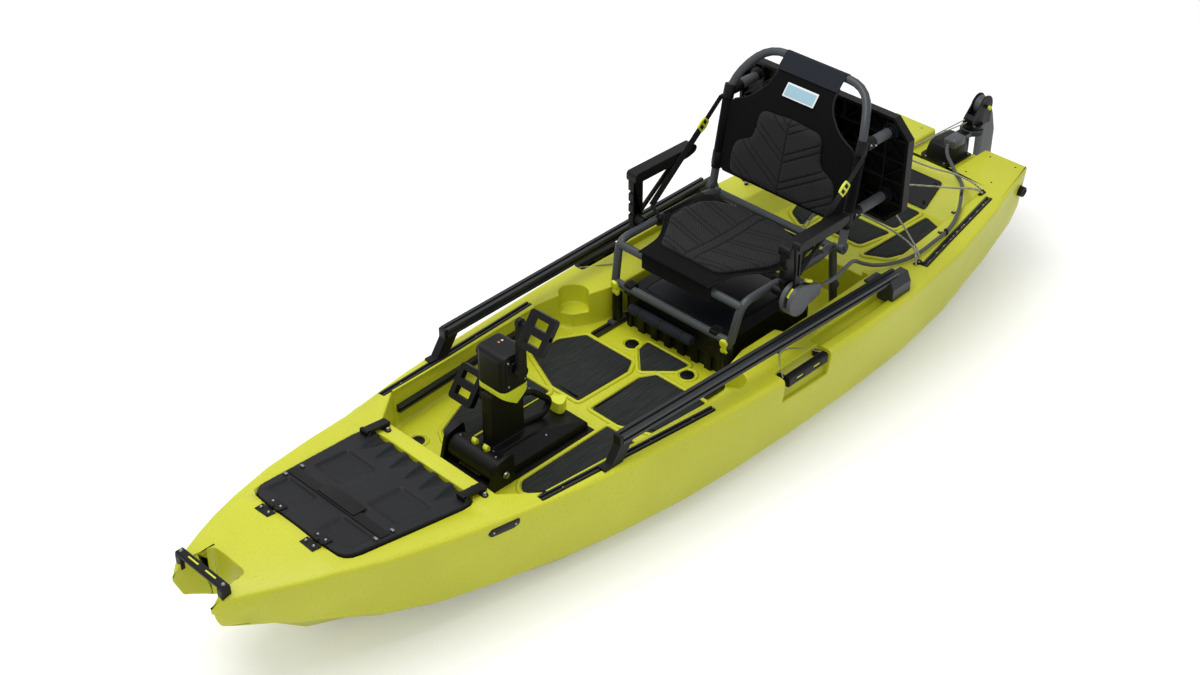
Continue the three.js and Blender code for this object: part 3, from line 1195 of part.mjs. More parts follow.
// Drive housing and its coloured lower cap
function makeHousing() {
  const [x0, x1] = [HOUSING_REAR_X, HOUSING_FRONT_X];
  const side = rounded([
    [x0, HOUSING_BOTTOM_Z], [x1, HOUSING_BOTTOM_Z], [x1, HOUSING_TOP_Z], [x0, HOUSING_TOP_Z],
  ], HOUSING_CORNER, 4).filter(([, z]) => z >= HOUSING_BOTTOM_Z);
  const outline = [[x0, HOUSING_BOTTOM_Z], [x1, HOUSING_BOTTOM_Z],
    ...side.filter(([, z]) => z > CRANK_Z)];
  const plan = rounded(rectangle(x0, x1, -HOUSING_HALF, HOUSING_HALF), HOUSING_CORNER, 4);
  const form = prismY(outline, -HOUSING_HALF, HOUSING_HALF).intersect(
    prismZ(plan, HOUSING_BOTTOM_Z, HOUSING_TOP_Z));
  const bore = rodY(CRANK_X, CRANK_Z, -HULL_BEAM, HULL_BEAM, AXLE_RADIUS + CLEAR * 2, 16);
  return cut(form, bore);
}
function makeCap() {
  const plan = rounded(rectangle(HOUSING_REAR_X, HOUSING_FRONT_X, -HOUSING_HALF, HOUSING_HALF),
    HOUSING_CORNER, 4);
  return prismY(capOutline(0), -HOUSING_HALF, HOUSING_HALF).intersect(
    prismZ(plan, COLUMN_TOP_Z - CAP_APEX * 2, HOUSING_TOP_Z));
}
add(drive, 'drive_housing', makeHousing(), blackPlastic, [CRANK_X, 0, CRANK_Z]);
add(drive, 'drive_cap', makeCap(), accentGreen, [CRANK_X, 0, HOUSING_BOTTOM_Z]);

// Knob behind the loop handle
function makeKnob() {
  const lobes = Array.from({ length: 24 }, (_, i) => {
    const angle = (i / 24) * 2 * Math.PI;
    const radius = KNOB_RADIUS * (1 - 0.13 * Math.cos(3 * angle));
    return [KNOB_X + radius * Math.cos(angle), radius * Math.sin(angle)];
  });
  const head = prismZ(lobes, knobSeatZ, knobSeatZ + KNOB_HEIGHT);
  const stem = rodZ(KNOB_X, 0, baseZ + BASE_REAR_HEIGHT / 2 + CLEAR, knobSeatZ + PLAY, KNOB_STEM, 12);
  return join(head, stem);
}
add(drive, 'drive_knob', makeKnob(), accentGreen, [KNOB_X, 0, knobSeatZ]);

// Cranks on one axle, port up and starboard down
function makeCrankset() {
  const outerY = CRANK_Y + CRANK_THICKNESS / 2;
  const innerY = CRANK_Y - CRANK_THICKNESS / 2;
  const axle = rodY(CRANK_X, CRANK_Z, -outerY, outerY, AXLE_RADIUS, 14);
  const arms = [1, -1].map((side) => {
    const z = CRANK_Z + side * CRANK_LENGTH;
    const outline = [
      [CRANK_X - CRANK_HUB * 0.8, CRANK_Z], [CRANK_X + CRANK_HUB * 0.8, CRANK_Z],
      [CRANK_X + CRANK_HUB * 0.6, z], [CRANK_X - CRANK_HUB * 0.6, z],
    ];
    const arm = prismY(outline, side * innerY, side * outerY);
    const hub = rodY(CRANK_X, CRANK_Z, side * innerY, side * outerY, CRANK_HUB, 18);
    const end = rodY(CRANK_X, z, side * innerY, side * outerY, CRANK_HUB * 0.75, 14);
    const spindle = rodY(CRANK_X, z, side * innerY, side * (PEDAL_INNER_Y + PEDAL_WIDTH - PLAY * 4),
      PEDAL_AXLE, 12);
    return join(arm, hub, end, spindle);
  });
  return join(axle, ...arms);
}
add(drive, 'crankset', makeCrankset(), blackPlastic, [CRANK_X, 0, CRANK_Z]);

// Pedals: frames with two windows, tilted with the foot
for (const side of [1, -1]) {
  const z = CRANK_Z + side * CRANK_LENGTH;
  const half = PEDAL_LENGTH / 2;
  const thick = PEDAL_THICKNESS / 2;
  const plateOutline = rounded(rectangle(-half, half, -PEDAL_WIDTH / 2, PEDAL_WIDTH / 2), thick, 2);
  const windowHalf = PEDAL_LENGTH * 0.115;
  const windows = [1, -1].map((way) => prismZ(rectangle(
    way * (PEDAL_AXLE + PLAY * 3), way * (PEDAL_AXLE + PLAY * 3 + windowHalf * 2),
    -PEDAL_WIDTH * 0.3, PEDAL_WIDTH * 0.3), -OVERRUN, OVERRUN));
  const frame = cut(prismZ(plateOutline, -thick, thick), ...windows,
    rodY(0, 0, -HULL_BEAM, HULL_BEAM, PEDAL_AXLE + CLEAR, 12));
  const tilt = new THREE.Matrix4().makeRotationY(radians(90 - PEDAL_TILT));
  const y = side * (PEDAL_INNER_Y + PEDAL_WIDTH / 2);
  tilt.setPosition(CRANK_X, y, z);
  add(drive, `pedal_${sideName(side)}`, turned(frame, tilt), blackPlastic, [CRANK_X, y, z]);
}

// Drive leg, folded forward in the slot, with its gearcase and propeller
function makeLeg() {
  const endX = LEG_PIVOT_X + LEG_LENGTH;
  const rootX = LEG_PIVOT_X;
  const half = LEG_HALF_HEIGHT * 0.8;
  const outline = rectangle(rootX, endX, LEG_PIVOT_Z - half, LEG_PIVOT_Z + half);
  const blade = prismY(outline, -LEG_HALF_WIDTH * 0.75, LEG_HALF_WIDTH * 0.75);
  const eye = rodY(rootX, LEG_PIVOT_Z, -LEG_HALF_WIDTH, LEG_HALF_WIDTH, LEG_HALF_HEIGHT, 18);
  const caseTop = LEG_PIVOT_Z + GEARCASE_LENGTH * 0.45;
  const caseBottom = LEG_PIVOT_Z - GEARCASE_LENGTH * 0.55;
  const gearcase = moved(turnedForm([
    [0, caseBottom], [GEARCASE_RADIUS * 0.7, caseBottom], [GEARCASE_RADIUS, caseBottom + GEARCASE_RADIUS],
    [GEARCASE_RADIUS, caseTop - GEARCASE_RADIUS], [GEARCASE_RADIUS * 0.5, caseTop], [0, caseTop],
  ], 18), endX, 0, 0);
  const shaft = rodZ(endX, 0, propZ - PROP_HUB / 2, caseBottom + PLAY, PROP_SHAFT, 10);
  const bore = rodY(rootX, LEG_PIVOT_Z, -HULL_BEAM, HULL_BEAM, LEG_PIN + CLEAR, 12);
  return cut(join(blade, eye, gearcase, shaft), bore);
}
const propZ = LEG_PIVOT_Z - PROP_DROP;
function makePropeller() {
  const x = LEG_PIVOT_X + LEG_LENGTH;
  const hub = moved(turnedForm([
    [0, propZ - PROP_HUB * 1.2], [PROP_HUB * 0.7, propZ - PROP_HUB], [PROP_HUB, propZ - PROP_HUB * 0.4],
    [PROP_HUB, propZ + PROP_HUB * 0.8], [0, propZ + PROP_HUB * 0.8],
  ], 16), x, 0, 0);
  const blades = [1, -1].map((side) => {
    const rings = [0.08, 0.4, 0.75, 1].map((share, i) => {
      const radius = share * PROP_RADIUS;
      const chord = PROP_CHORD * [0.5, 1, 0.9, 0.3][i];
      const pitch = radians([62, 40, 26, 20][i]) * side;
      const thick = PROP_THICKNESS * [1, 0.8, 0.6, 0.4][i];
      return rectangle(-chord / 2, chord / 2, -thick / 2, thick / 2).map(([u, v]) => [
        x + side * radius,
        u * Math.cos(pitch) - v * Math.sin(pitch),
        propZ + u * Math.sin(pitch) + v * Math.cos(pitch),
      ]);
    });
    return loft(rings);
  });
  const bore = rodZ(x, 0, propZ - PROP_HUB / 2 - CLEAR, propZ + HULL_DEPTH, PROP_SHAFT + CLEAR * 2, 14);
  return cut(join(hub, ...blades), bore);
}
add(drive, 'drive_leg', makeLeg(), blackPlastic, [LEG_PIVOT_X, 0, LEG_PIVOT_Z]);
add(drive, 'propeller', makePropeller(), blackPlastic, [LEG_PIVOT_X + LEG_LENGTH, 0, propZ]);

// Seat box on the floor, with a toothed front face
function makeSeatBox() {
  const rearX = SEAT_BOX_FRONT_X - SEAT_BOX_LENGTH;
  const plan = rounded(rectangle(rearX, SEAT_BOX_FRONT_X, -seatBoxHalf, seatBoxHalf), SEAT_BOX_CORNER, 3);
  const body = prismZ(plan, FLOOR_Z + CLEAR, SEAT_BOX_TOP_Z);
  const pitch = (seatBoxHalf * 2) / (SEAT_TEETH * 2 + 1);
  const notches = Array.from({ length: SEAT_TEETH }, (_, i) => {
    const y = -seatBoxHalf + pitch * (i * 2 + 1);
    return block(SEAT_BOX_FRONT_X - SEAT_TOOTH_DEPTH, SEAT_BOX_FRONT_X + OVERRUN, y, y + pitch,
      FLOOR_Z, mix(FLOOR_Z, SEAT_BOX_TOP_Z, 0.42));
  });
  const panel = prismZ(rounded(rectangle(rearX + OVERRUN, SEAT_BOX_FRONT_X - OVERRUN,
    -seatBoxHalf + OVERRUN, seatBoxHalf - OVERRUN), SEAT_BOX_CORNER, 2),
  SEAT_BOX_TOP_Z - LID_POCKET_DEPTH, SEAT_BOX_TOP_Z + OVERRUN);
  return cut(body, panel, ...notches);
}
add(kayak, 'seat_box', makeSeatBox(), blackPlastic, [SEAT_BOX_FRONT_X, 0, FLOOR_Z]);

// Roll strapped to the front of the seat box
function makeRoll() {
  const length = rollPortY - rollStarboardY;
  const shares = [0, 0.03, 0.1, 0.3, 0.5, 0.7, 0.9, 0.97, 1];
  const swell = [0.55, 0.85, 0.96, 1, 1, 1, 0.96, 0.85, 0.55];
  const rings = shares.map((share, i) => circle(ROLL_RADIUS * swell[i], 14).map((p) =>
    [ROLL_X + p.x, rollStarboardY + share * length, ROLL_Z + p.y]));
  return clearOf(loft(rings), makeSeatBox(), [[1, 0, 0]]);
}
add(kayak, 'seat_roll', makeRoll(), meshFabric, [ROLL_X, 0, ROLL_Z]);

// Seat frame: side tubes, crossbars, bent front legs and posts on slider feet
const seat = new THREE.Group();
kayak.add(seat);
const footZ = FLOOR_Z + CLEAR * 2 + SEAT_TRACK_HEIGHT;
const crossZ = SEAT_RAIL_Z - SEAT_TUBE;

function makeSeatFrame() {
  const parts = [];
  for (const side of [1, -1]) {
    parts.push(bentTube([
      [CLAMP_X, side * (postY + SEAT_TUBE / 2), CLAMP_Z],
      [SEAT_FRONT_X, side * seatRailY, SEAT_RAIL_Z],
      [mix(SEAT_FRONT_X, SEAT_REAR_X, 0.82), side * seatRailY, SEAT_RAIL_Z],
      [SEAT_REAR_X, side * postY, SEAT_RAIL_Z],
      [POST_FOOT_X, side * postY, footZ + FOOT_PLATE / 2],
    ], SEAT_TUBE * 3, SEAT_TUBE, 10, 3));
    parts.push(rodZ(CLAMP_X, side * postY, footZ + FOOT_PLATE / 2, CLAMP_Z, SEAT_TUBE, 10));
    for (const x of [CLAMP_X, POST_FOOT_X]) {
      parts.push(block(x - FOOT_LENGTH / 2, x + FOOT_LENGTH / 2, side * (postY - SEAT_TUBE),
        side * (postY + SEAT_TUBE * 0.8), footZ, footZ + FOOT_PLATE));
      const tongue = SLOT_WIDTH / 2 - CLEAR * 2;
      parts.push(block(x - FOOT_LENGTH / 3, x + FOOT_LENGTH / 3, side * (seatTrackY - tongue),
        side * (seatTrackY + tongue), footZ - SLOT_DEPTH + PLAY, footZ + FOOT_PLATE));
    }
    const wing = mix(POST_FOOT_X, SEAT_REAR_X, 0.42);
    const wingZ = mix(footZ, SEAT_RAIL_Z, 0.42);
    parts.push(rod([wing, side * postY, wingZ], [wing - WING_RADIUS / 2, side * postY, wingZ],
      WING_RADIUS * 0.6, 8));
    parts.push(rodY(SEAT_REAR_X, SEAT_RAIL_Z, side * postY, side * (backY + BACK_EYE), BACK_PIN, 10));
  }
  const bars = [[CLAMP_X, CLAMP_Z, postY], [SEAT_FRONT_X, crossZ, seatRailY], [SEAT_REAR_X, crossZ, postY]];
  for (const [x, z, y] of bars) parts.push(rodY(x, z, -y, y, SEAT_TUBE, 10));
  const bracketX = DRUM_X - DRUM_NOSE * 0.85;
  parts.push(rodY(bracketX, SEAT_RAIL_Z, seatRailY, drumY - DRUM_WIDTH / 2 - CLEAR, SEAT_TUBE * 0.7, 10));
  return join(...parts);
}
const seatFrame = makeSeatFrame();
add(seat, 'seat_frame', seatFrame, tubeGrey, [SEAT_REAR_X, 0, SEAT_RAIL_Z]);

// Seat cushion: crowned, with drawn-in sides, sewn channels and a front flap
function cushionRing(x, halfWidth, bottom, top, crown, channels) {
  const across = [-1, -0.94, -0.8, -0.62, -0.6, -0.58, -0.3, -0.22, -0.2, -0.18, 0,
    0.18, 0.2, 0.22, 0.3, 0.58, 0.6, 0.62, 0.8, 0.94, 1];
  const upper = across.map((share) => {
    const dip = channels.includes(Math.abs(share)) ? CHANNEL_DEPTH : 0;
    const edge = 1 - Math.abs(share) ** 6;
    return [x, share * halfWidth, mix(mix(bottom, top, 0.35), top + crown * (1 - share * share), edge) - dip];
  });
  return [...upper.reverse(), [x, -halfWidth * 0.97, bottom], [x, 0, bottom], [x, halfWidth * 0.97, bottom]];
}

function makeSeatPad() {
  const frontX = SEAT_FRONT_X + SEAT_TUBE + PLAY + BACK_PAD_THICKNESS / 2;
  const top = SEAT_PAD_BOTTOM_Z + SEAT_PAD_THICKNESS;
  const along = [0, 0.02, 0.08, 0.2, 0.33, 0.34, 0.35, 0.5, 0.65, 0.66, 0.67, 0.8, 0.92, 0.98, 1];
  const rings = along.map((share) => {
    const end = Math.abs(share * 2 - 1) ** 10;
    const dip = [0.34, 0.66].includes(share) ? CHANNEL_DEPTH : 0;
    return cushionRing(frontX - share * SEAT_PAD_LENGTH, seatPadHalf * (1 - end * 0.06),
      SEAT_PAD_BOTTOM_Z, top - end * SEAT_PAD_THICKNESS * 0.4 - dip, SEAT_PAD_CROWN * (1 - end), [0.6, 0.2]);
  });
  const flapBack = SEAT_FRONT_X + SEAT_TUBE + PLAY;
  const flap = prismY(rounded([
    [flapBack, SEAT_PAD_BOTTOM_Z - SEAT_FLAP_DROP], [frontX, SEAT_PAD_BOTTOM_Z - SEAT_FLAP_DROP * 0.9],
    [frontX, SEAT_PAD_BOTTOM_Z + SEAT_PAD_THICKNESS * 0.5],
    [flapBack, SEAT_PAD_BOTTOM_Z + SEAT_PAD_THICKNESS * 0.5],
  ], SEAT_PAD_CROWN / 2, 2), -seatPadHalf * 0.92, seatPadHalf * 0.92);
  return clearOf(join(loft(rings), flap), seatFrame, EVERY_WAY);
}
add(seat, 'seat_pad', makeSeatPad(), meshFabric, [SEAT_FRONT_X, 0, SEAT_PAD_BOTTOM_Z]);

// Back frame: one bent tube, hinged at its feet
const backTopX = SEAT_REAR_X - BACK_LEAN;
const backKneeX = SEAT_REAR_X - BACK_KNEE_LEAN;
const backTopY = backY - BACK_TOP_TAPER;
function backTube(radius, sides) {
  return bentTube([
    [SEAT_REAR_X, -backY, SEAT_RAIL_Z], [backKneeX, -backY, BACK_KNEE_Z], [backTopX, -backTopY, BACK_TOP_Z],
    [backTopX, backTopY, BACK_TOP_Z], [backKneeX, backY, BACK_KNEE_Z], [SEAT_REAR_X, backY, SEAT_RAIL_Z],
  ], BACK_CORNER, radius, sides, 5);
}
function makeBackFrame() {
  const eyes = [1, -1].map((side) =>
    rodY(SEAT_REAR_X, SEAT_RAIL_Z, side * (backY - SEAT_TUBE / 2), side * (backY + SEAT_TUBE), BACK_EYE, 16));
  const bore = rodY(SEAT_REAR_X, SEAT_RAIL_Z, -HULL_BEAM, HULL_BEAM, BACK_PIN + CLEAR, 12);
  return clearOf(cut(join(backTube(SEAT_TUBE, 12), ...eyes), bore), seatFrame, [[0, 1, 0], [0, -1, 0]]);
}
const backFrame = makeBackFrame();
const hingeAt = [SEAT_REAR_X, 0, SEAT_RAIL_Z];
add(seat, 'back_frame', backFrame, tubeGrey, hingeAt);

// Back cushion: an hourglass panel whose sleeves wrap the frame
function tubeX(z) {
  return z < BACK_KNEE_Z
    ? mix(SEAT_REAR_X, backKneeX, (z - SEAT_RAIL_Z) / (BACK_KNEE_Z - SEAT_RAIL_Z))
    : mix(backKneeX, backTopX, (z - BACK_KNEE_Z) / (BACK_TOP_Z - BACK_KNEE_Z));
}
function makeBackPad() {
  const levels = [0, 0.03, 0.12, 0.25, 0.4, 0.55, 0.64, 0.7, 0.76, 0.85, 0.93, 1];
  const widths = [0.93, 0.98, 1, 0.99, 0.97, 0.93, 0.76, 0.58, 0.5, 0.46, 0.46, 0.46];
  const across = [-1, -0.93, -0.75, -0.5, -0.24, -0.22, -0.2, 0, 0.2, 0.22, 0.24, 0.5, 0.75, 0.93, 1];
  const rings = levels.map((level, i) => {
    const z = BACK_PAD_BOTTOM_Z + level * backPadHeight;
    const half = backY * widths[i];
    const middle = tubeX(z);
    const thick = BACK_PAD_THICKNESS / 2;
    const ends = 1 - Math.abs(level * 2 - 1) ** 8 * 0.5;
    const front = across.map((share) => {
      const dip = Math.abs(share) === 0.22 && level > 0.1 && level < 0.6 ? CHANNEL_DEPTH : 0;
      const edge = 1 - Math.abs(share) ** 6;
      return [middle + thick * 0.3 + edge * (thick + BACK_PAD_CROWN * (1 - share * share)) * ends - dip,
        share * half, z];
    });
    return [...front, [middle - thick * 0.5, half * 0.98, z], [middle - thick, 0, z],
      [middle - thick * 0.5, -half * 0.98, z]];
  });
  const sleeveTop = mix(BACK_PAD_BOTTOM_Z, BACK_PAD_BOTTOM_Z + backPadHeight, 0.61);
  const sleeves = [1, -1].map((side) => rod(
    [tubeX(BACK_PAD_BOTTOM_Z), side * backY, BACK_PAD_BOTTOM_Z],
    [tubeX(sleeveTop), side * backY, sleeveTop], SLEEVE_RADIUS, 14));
  const wrapHalf = backY * widths[widths.length - 1];
  const wrap = rodY(backTopX, BACK_TOP_Z, -wrapHalf, wrapHalf, SLEEVE_RADIUS, 14);
  return cut(join(loft(rings), ...sleeves, wrap), backTube(SEAT_TUBE + CLEAR * 1.5, 12));
}
add(seat, 'back_pad', makeBackPad(), meshFabric, hingeAt);

// Ribbed panel behind the backrest, on four stubs
function panelOutline(shrink) {
  const half = panelHalf - shrink;
  const [low, high] = [PANEL_BOTTOM_Z + shrink, PANEL_BOTTOM_Z + PANEL_HEIGHT - shrink];
  const c = PANEL_CHAMFER - shrink * 0.4;
  return [
    [half - c, low], [half, low + c], [half, high - c], [half - c, high],
    [-half + c, high], [-half, high - c], [-half, low + c], [-half + c, low],
  ];
}
function makeBackPanel() {
  const [rear, front] = [PANEL_X - PANEL_THICKNESS / 2, PANEL_X + PANEL_THICKNESS / 2];
  const shell = cut(prismX(panelOutline(0), rear, front),
    prismX(panelOutline(PANEL_RIM), rear + PANEL_SKIN, front + OVERRUN));
  const parts = [shell];
  const inner = panelHalf - PANEL_RIM / 2;
  for (let i = 1; i < PANEL_RIB_COLUMNS; i += 1) {
    const y = mix(-inner, inner, i / PANEL_RIB_COLUMNS);
    parts.push(block(rear + PANEL_SKIN / 2, front - PANEL_RIM / 2, y - PANEL_RIB / 2, y + PANEL_RIB / 2,
      PANEL_BOTTOM_Z + PANEL_RIM / 2, PANEL_BOTTOM_Z + PANEL_HEIGHT - PANEL_RIM / 2));
  }
  for (let i = 1; i < PANEL_RIB_ROWS; i += 1) {
    const z = mix(PANEL_BOTTOM_Z, PANEL_BOTTOM_Z + PANEL_HEIGHT, i / PANEL_RIB_ROWS);
    parts.push(block(rear + PANEL_SKIN / 2, front - PANEL_RIM / 2, -inner, inner,
      z - PANEL_RIB / 2, z + PANEL_RIB / 2));
  }
  for (const z of [STUB_UPPER_Z, STUB_LOWER_Z]) {
    for (const side of [1, -1]) {
      const stubEnd = [tubeX(z) - STUB_RADIUS / 2, side * backY, z];
      parts.push(rod([rear + PANEL_SKIN, side * backY, z], stubEnd, STUB_RADIUS, 10));
      parts.push(rod([rear + PANEL_SKIN, side * backY, z], [front, side * backY, z], STUB_RADIUS * 1.8, 12));
    }
  }
  return cut(join(...parts), backTube(SLEEVE_RADIUS + PLAY, 10));
}
add(seat, 'back_panel', makeBackPanel(), blackPlastic, hingeAt);

// Back straps: flat webbing from the back frame down to the seat's side tubes
for (const side of [1, -1]) {
  const y = side * (backY + SLEEVE_RADIUS + CLEAR + BACK_STRAP_THICKNESS / 2);
  const [topZ, lowZ] = [mix(SEAT_RAIL_Z, BACK_TOP_Z, 0.64), SEAT_RAIL_Z + SEAT_TUBE * 3];
  const top = [tubeX(topZ), y, topZ];
  const low = [mix(ARM_FRONT_X, SEAT_REAR_X, 0.2), y, lowZ];
  const along = vec(...low).sub(vec(...top)).normalize();
  const half = BACK_STRAP_WIDTH / 2;
  const offset = [-along.z * half, along.x * half];
  const corners = [
    [top[0] + offset[0], top[2] + offset[1]], [top[0] - offset[0], top[2] - offset[1]],
    [low[0] - offset[0], low[2] - offset[1]], [low[0] + offset[0], low[2] + offset[1]],
  ];
  const strap = prismY(corners, y - BACK_STRAP_THICKNESS / 2, y + BACK_STRAP_THICKNESS / 2);
  add(seat, `strap_${sideName(side)}`, strap, webbing, top);
}

// Armrests that swing up about the side tubes
for (const side of [1, -1]) {
  const y = side * armY;
  const plate = ARM_PLATE / 2;
  const padZ = ARM_TOP_Z - ARM_PAD_HEIGHT;
  const rearX = ARM_FRONT_X - ARM_LENGTH;
  const pad = prismY(rounded([
    [rearX, padZ + ARM_PAD_HEIGHT * 0.3], [rearX + ARM_PAD_HEIGHT, padZ], [ARM_FRONT_X, padZ],
    [ARM_FRONT_X, ARM_TOP_Z], [rearX, ARM_TOP_Z],
  ], ARM_PAD_HEIGHT * 0.35, 3), y - ARM_WIDTH / 2, y + ARM_WIDTH / 2);
  const legBottomZ = SEAT_RAIL_Z - ARM_DROP;
  const teeth = [0.2, 0.4, 0.6, 0.8].map((share) => block(
    ARM_FRONT_X - ARM_LEG_WIDTH * 0.16, ARM_FRONT_X + OVERRUN, y - OVERRUN, y + OVERRUN,
    mix(legBottomZ, padZ, share), mix(legBottomZ, padZ, share) + ARM_LEG_WIDTH * 0.2));
  const leg = cut(prismY(rounded(rectangle(ARM_FRONT_X - ARM_LEG_WIDTH, ARM_FRONT_X, legBottomZ,
    padZ + ARM_PAD_HEIGHT / 2), ARM_LEG_WIDTH / 4, 2), y - plate, y + plate), ...teeth);
  const strut = rod([ARM_FRONT_X - ARM_LEG_WIDTH / 2, y, SEAT_RAIL_Z],
    [mix(ARM_FRONT_X, rearX, 0.78), y, padZ + ARM_PAD_HEIGHT / 3], ARM_PIVOT_RADIUS / 2, 10);
  const bossY = side * (seatRailY + SEAT_TUBE + CLEAR);
  const boss = rodY(ARM_PIVOT_X, SEAT_RAIL_Z, bossY, y, ARM_PIVOT_RADIUS, 16);
  add(seat, `armrest_${sideName(side)}`, join(pad, leg, strut, boss), blackPlastic,
    [ARM_PIVOT_X, y, SEAT_RAIL_Z]);
}

// Steering drum outside the port armrest, and its lever
function makeDrum() {
  const [y0, y1] = [drumY - DRUM_WIDTH / 2, drumY + DRUM_WIDTH / 2];
  const body = rodY(DRUM_X, DRUM_Z, y0, y1, DRUM_RADIUS, 28);
  const nose = prismY(rounded([
    [DRUM_X - DRUM_RADIUS * 0.3, DRUM_Z + DRUM_RADIUS * 0.92],
    [DRUM_X - DRUM_NOSE, DRUM_Z + DRUM_RADIUS * 0.2],
    [DRUM_X - DRUM_NOSE, DRUM_Z - DRUM_RADIUS * 0.55],
    [DRUM_X - DRUM_RADIUS * 0.3, DRUM_Z - DRUM_RADIUS * 0.92],
  ], DRUM_RADIUS * 0.2, 2), y0, y1 - DRUM_WIDTH * 0.2);
  const slot = block(DRUM_X - HULL_DEPTH, DRUM_X + HULL_DEPTH, drumY - TILLER_THICKNESS / 2 - PLAY,
    drumY + TILLER_THICKNESS / 2 + PLAY, DRUM_Z - TILLER_HUB - PLAY, ARM_TOP_Z);
  const keep = block(DRUM_X - HULL_DEPTH, DRUM_X - DRUM_RADIUS * 1.15, y0, y1, 0, ARM_TOP_Z);
  const pin = rodY(DRUM_X, DRUM_Z, y0, y1, PEDAL_AXLE, 12);
  return join(cut(join(body, nose), cut(slot, keep)), pin);
}
add(seat, 'steering_drum', makeDrum(), hoseGrey, [DRUM_X, drumY, DRUM_Z]);

function makeTiller() {
  const [y0, y1] = [drumY - TILLER_THICKNESS / 2, drumY + TILLER_THICKNESS / 2];
  const topZ = DRUM_Z + TILLER_HEIGHT;
  const hub = rodY(DRUM_X, DRUM_Z, y0, y1, TILLER_HUB, 16);
  const arm = prismY([
    [DRUM_X - TILLER_HUB * 0.8, DRUM_Z], [DRUM_X + TILLER_HUB * 0.8, DRUM_Z],
    [DRUM_X + TILLER_HUB * 0.7, mix(DRUM_Z, topZ, 0.6)], [DRUM_X + TILLER_HUB * 1.1, topZ],
    [DRUM_X - TILLER_HUB * 1.1, topZ], [DRUM_X - TILLER_HUB * 0.7, mix(DRUM_Z, topZ, 0.6)],
  ], y0, y1);
  const slot = prismY(rectangle(DRUM_X - TILLER_HUB * 0.3, DRUM_X + TILLER_HUB * 0.3,
    mix(DRUM_Z, topZ, 0.45), mix(DRUM_Z, topZ, 0.85)), y0 - OVERRUN, y1 + OVERRUN);
  const grip = rodY(DRUM_X, topZ, y0 - TILLER_THICKNESS, y1 + TILLER_THICKNESS, TILLER_HUB * 0.9, 14);
  const bore = rodY(DRUM_X, DRUM_Z, -HULL_BEAM, HULL_BEAM, PEDAL_AXLE + CLEAR, 12);
  return cut(join(hub, arm, grip), slot, bore);
}
add(seat, 'steering_lever', makeTiller(), blackPlastic, [DRUM_X, drumY, DRUM_Z]);

// Plate on the sloped wall behind the tankwell
function makeSternPlate() {
  const [lowX, lowZ] = [tankwellRearX, TANKWELL_Z];
  const [highX, highZ] = [tankwellRearX - TANKWELL_SLOPE, tankwellRimZ];
  const length = Math.hypot(highX - lowX, highZ - lowZ);
  const inset = SLOPE_PLATE_THICKNESS * 2;
  const half = SLOPE_PLATE_HALF;
  const outline = rounded(rectangle(inset, length - inset * 2, -half, half), inset, 2);
  const plate = prismZ(outline, CLEAR * 2, CLEAR * 2 + SLOPE_PLATE_THICKNESS);
  const along = vec(highX - lowX, 0, highZ - lowZ).normalize();
  const normal = vec(along.z, 0, -along.x);
  const basis = new THREE.Matrix4().makeBasis(along, normal.clone().cross(along), normal);
  return turned(plate, basis.setPosition(lowX, 0, lowZ));
}
add(kayak, 'stern_plate', makeSternPlate(), blackPlastic, [tankwellRearX, 0, TANKWELL_Z]);

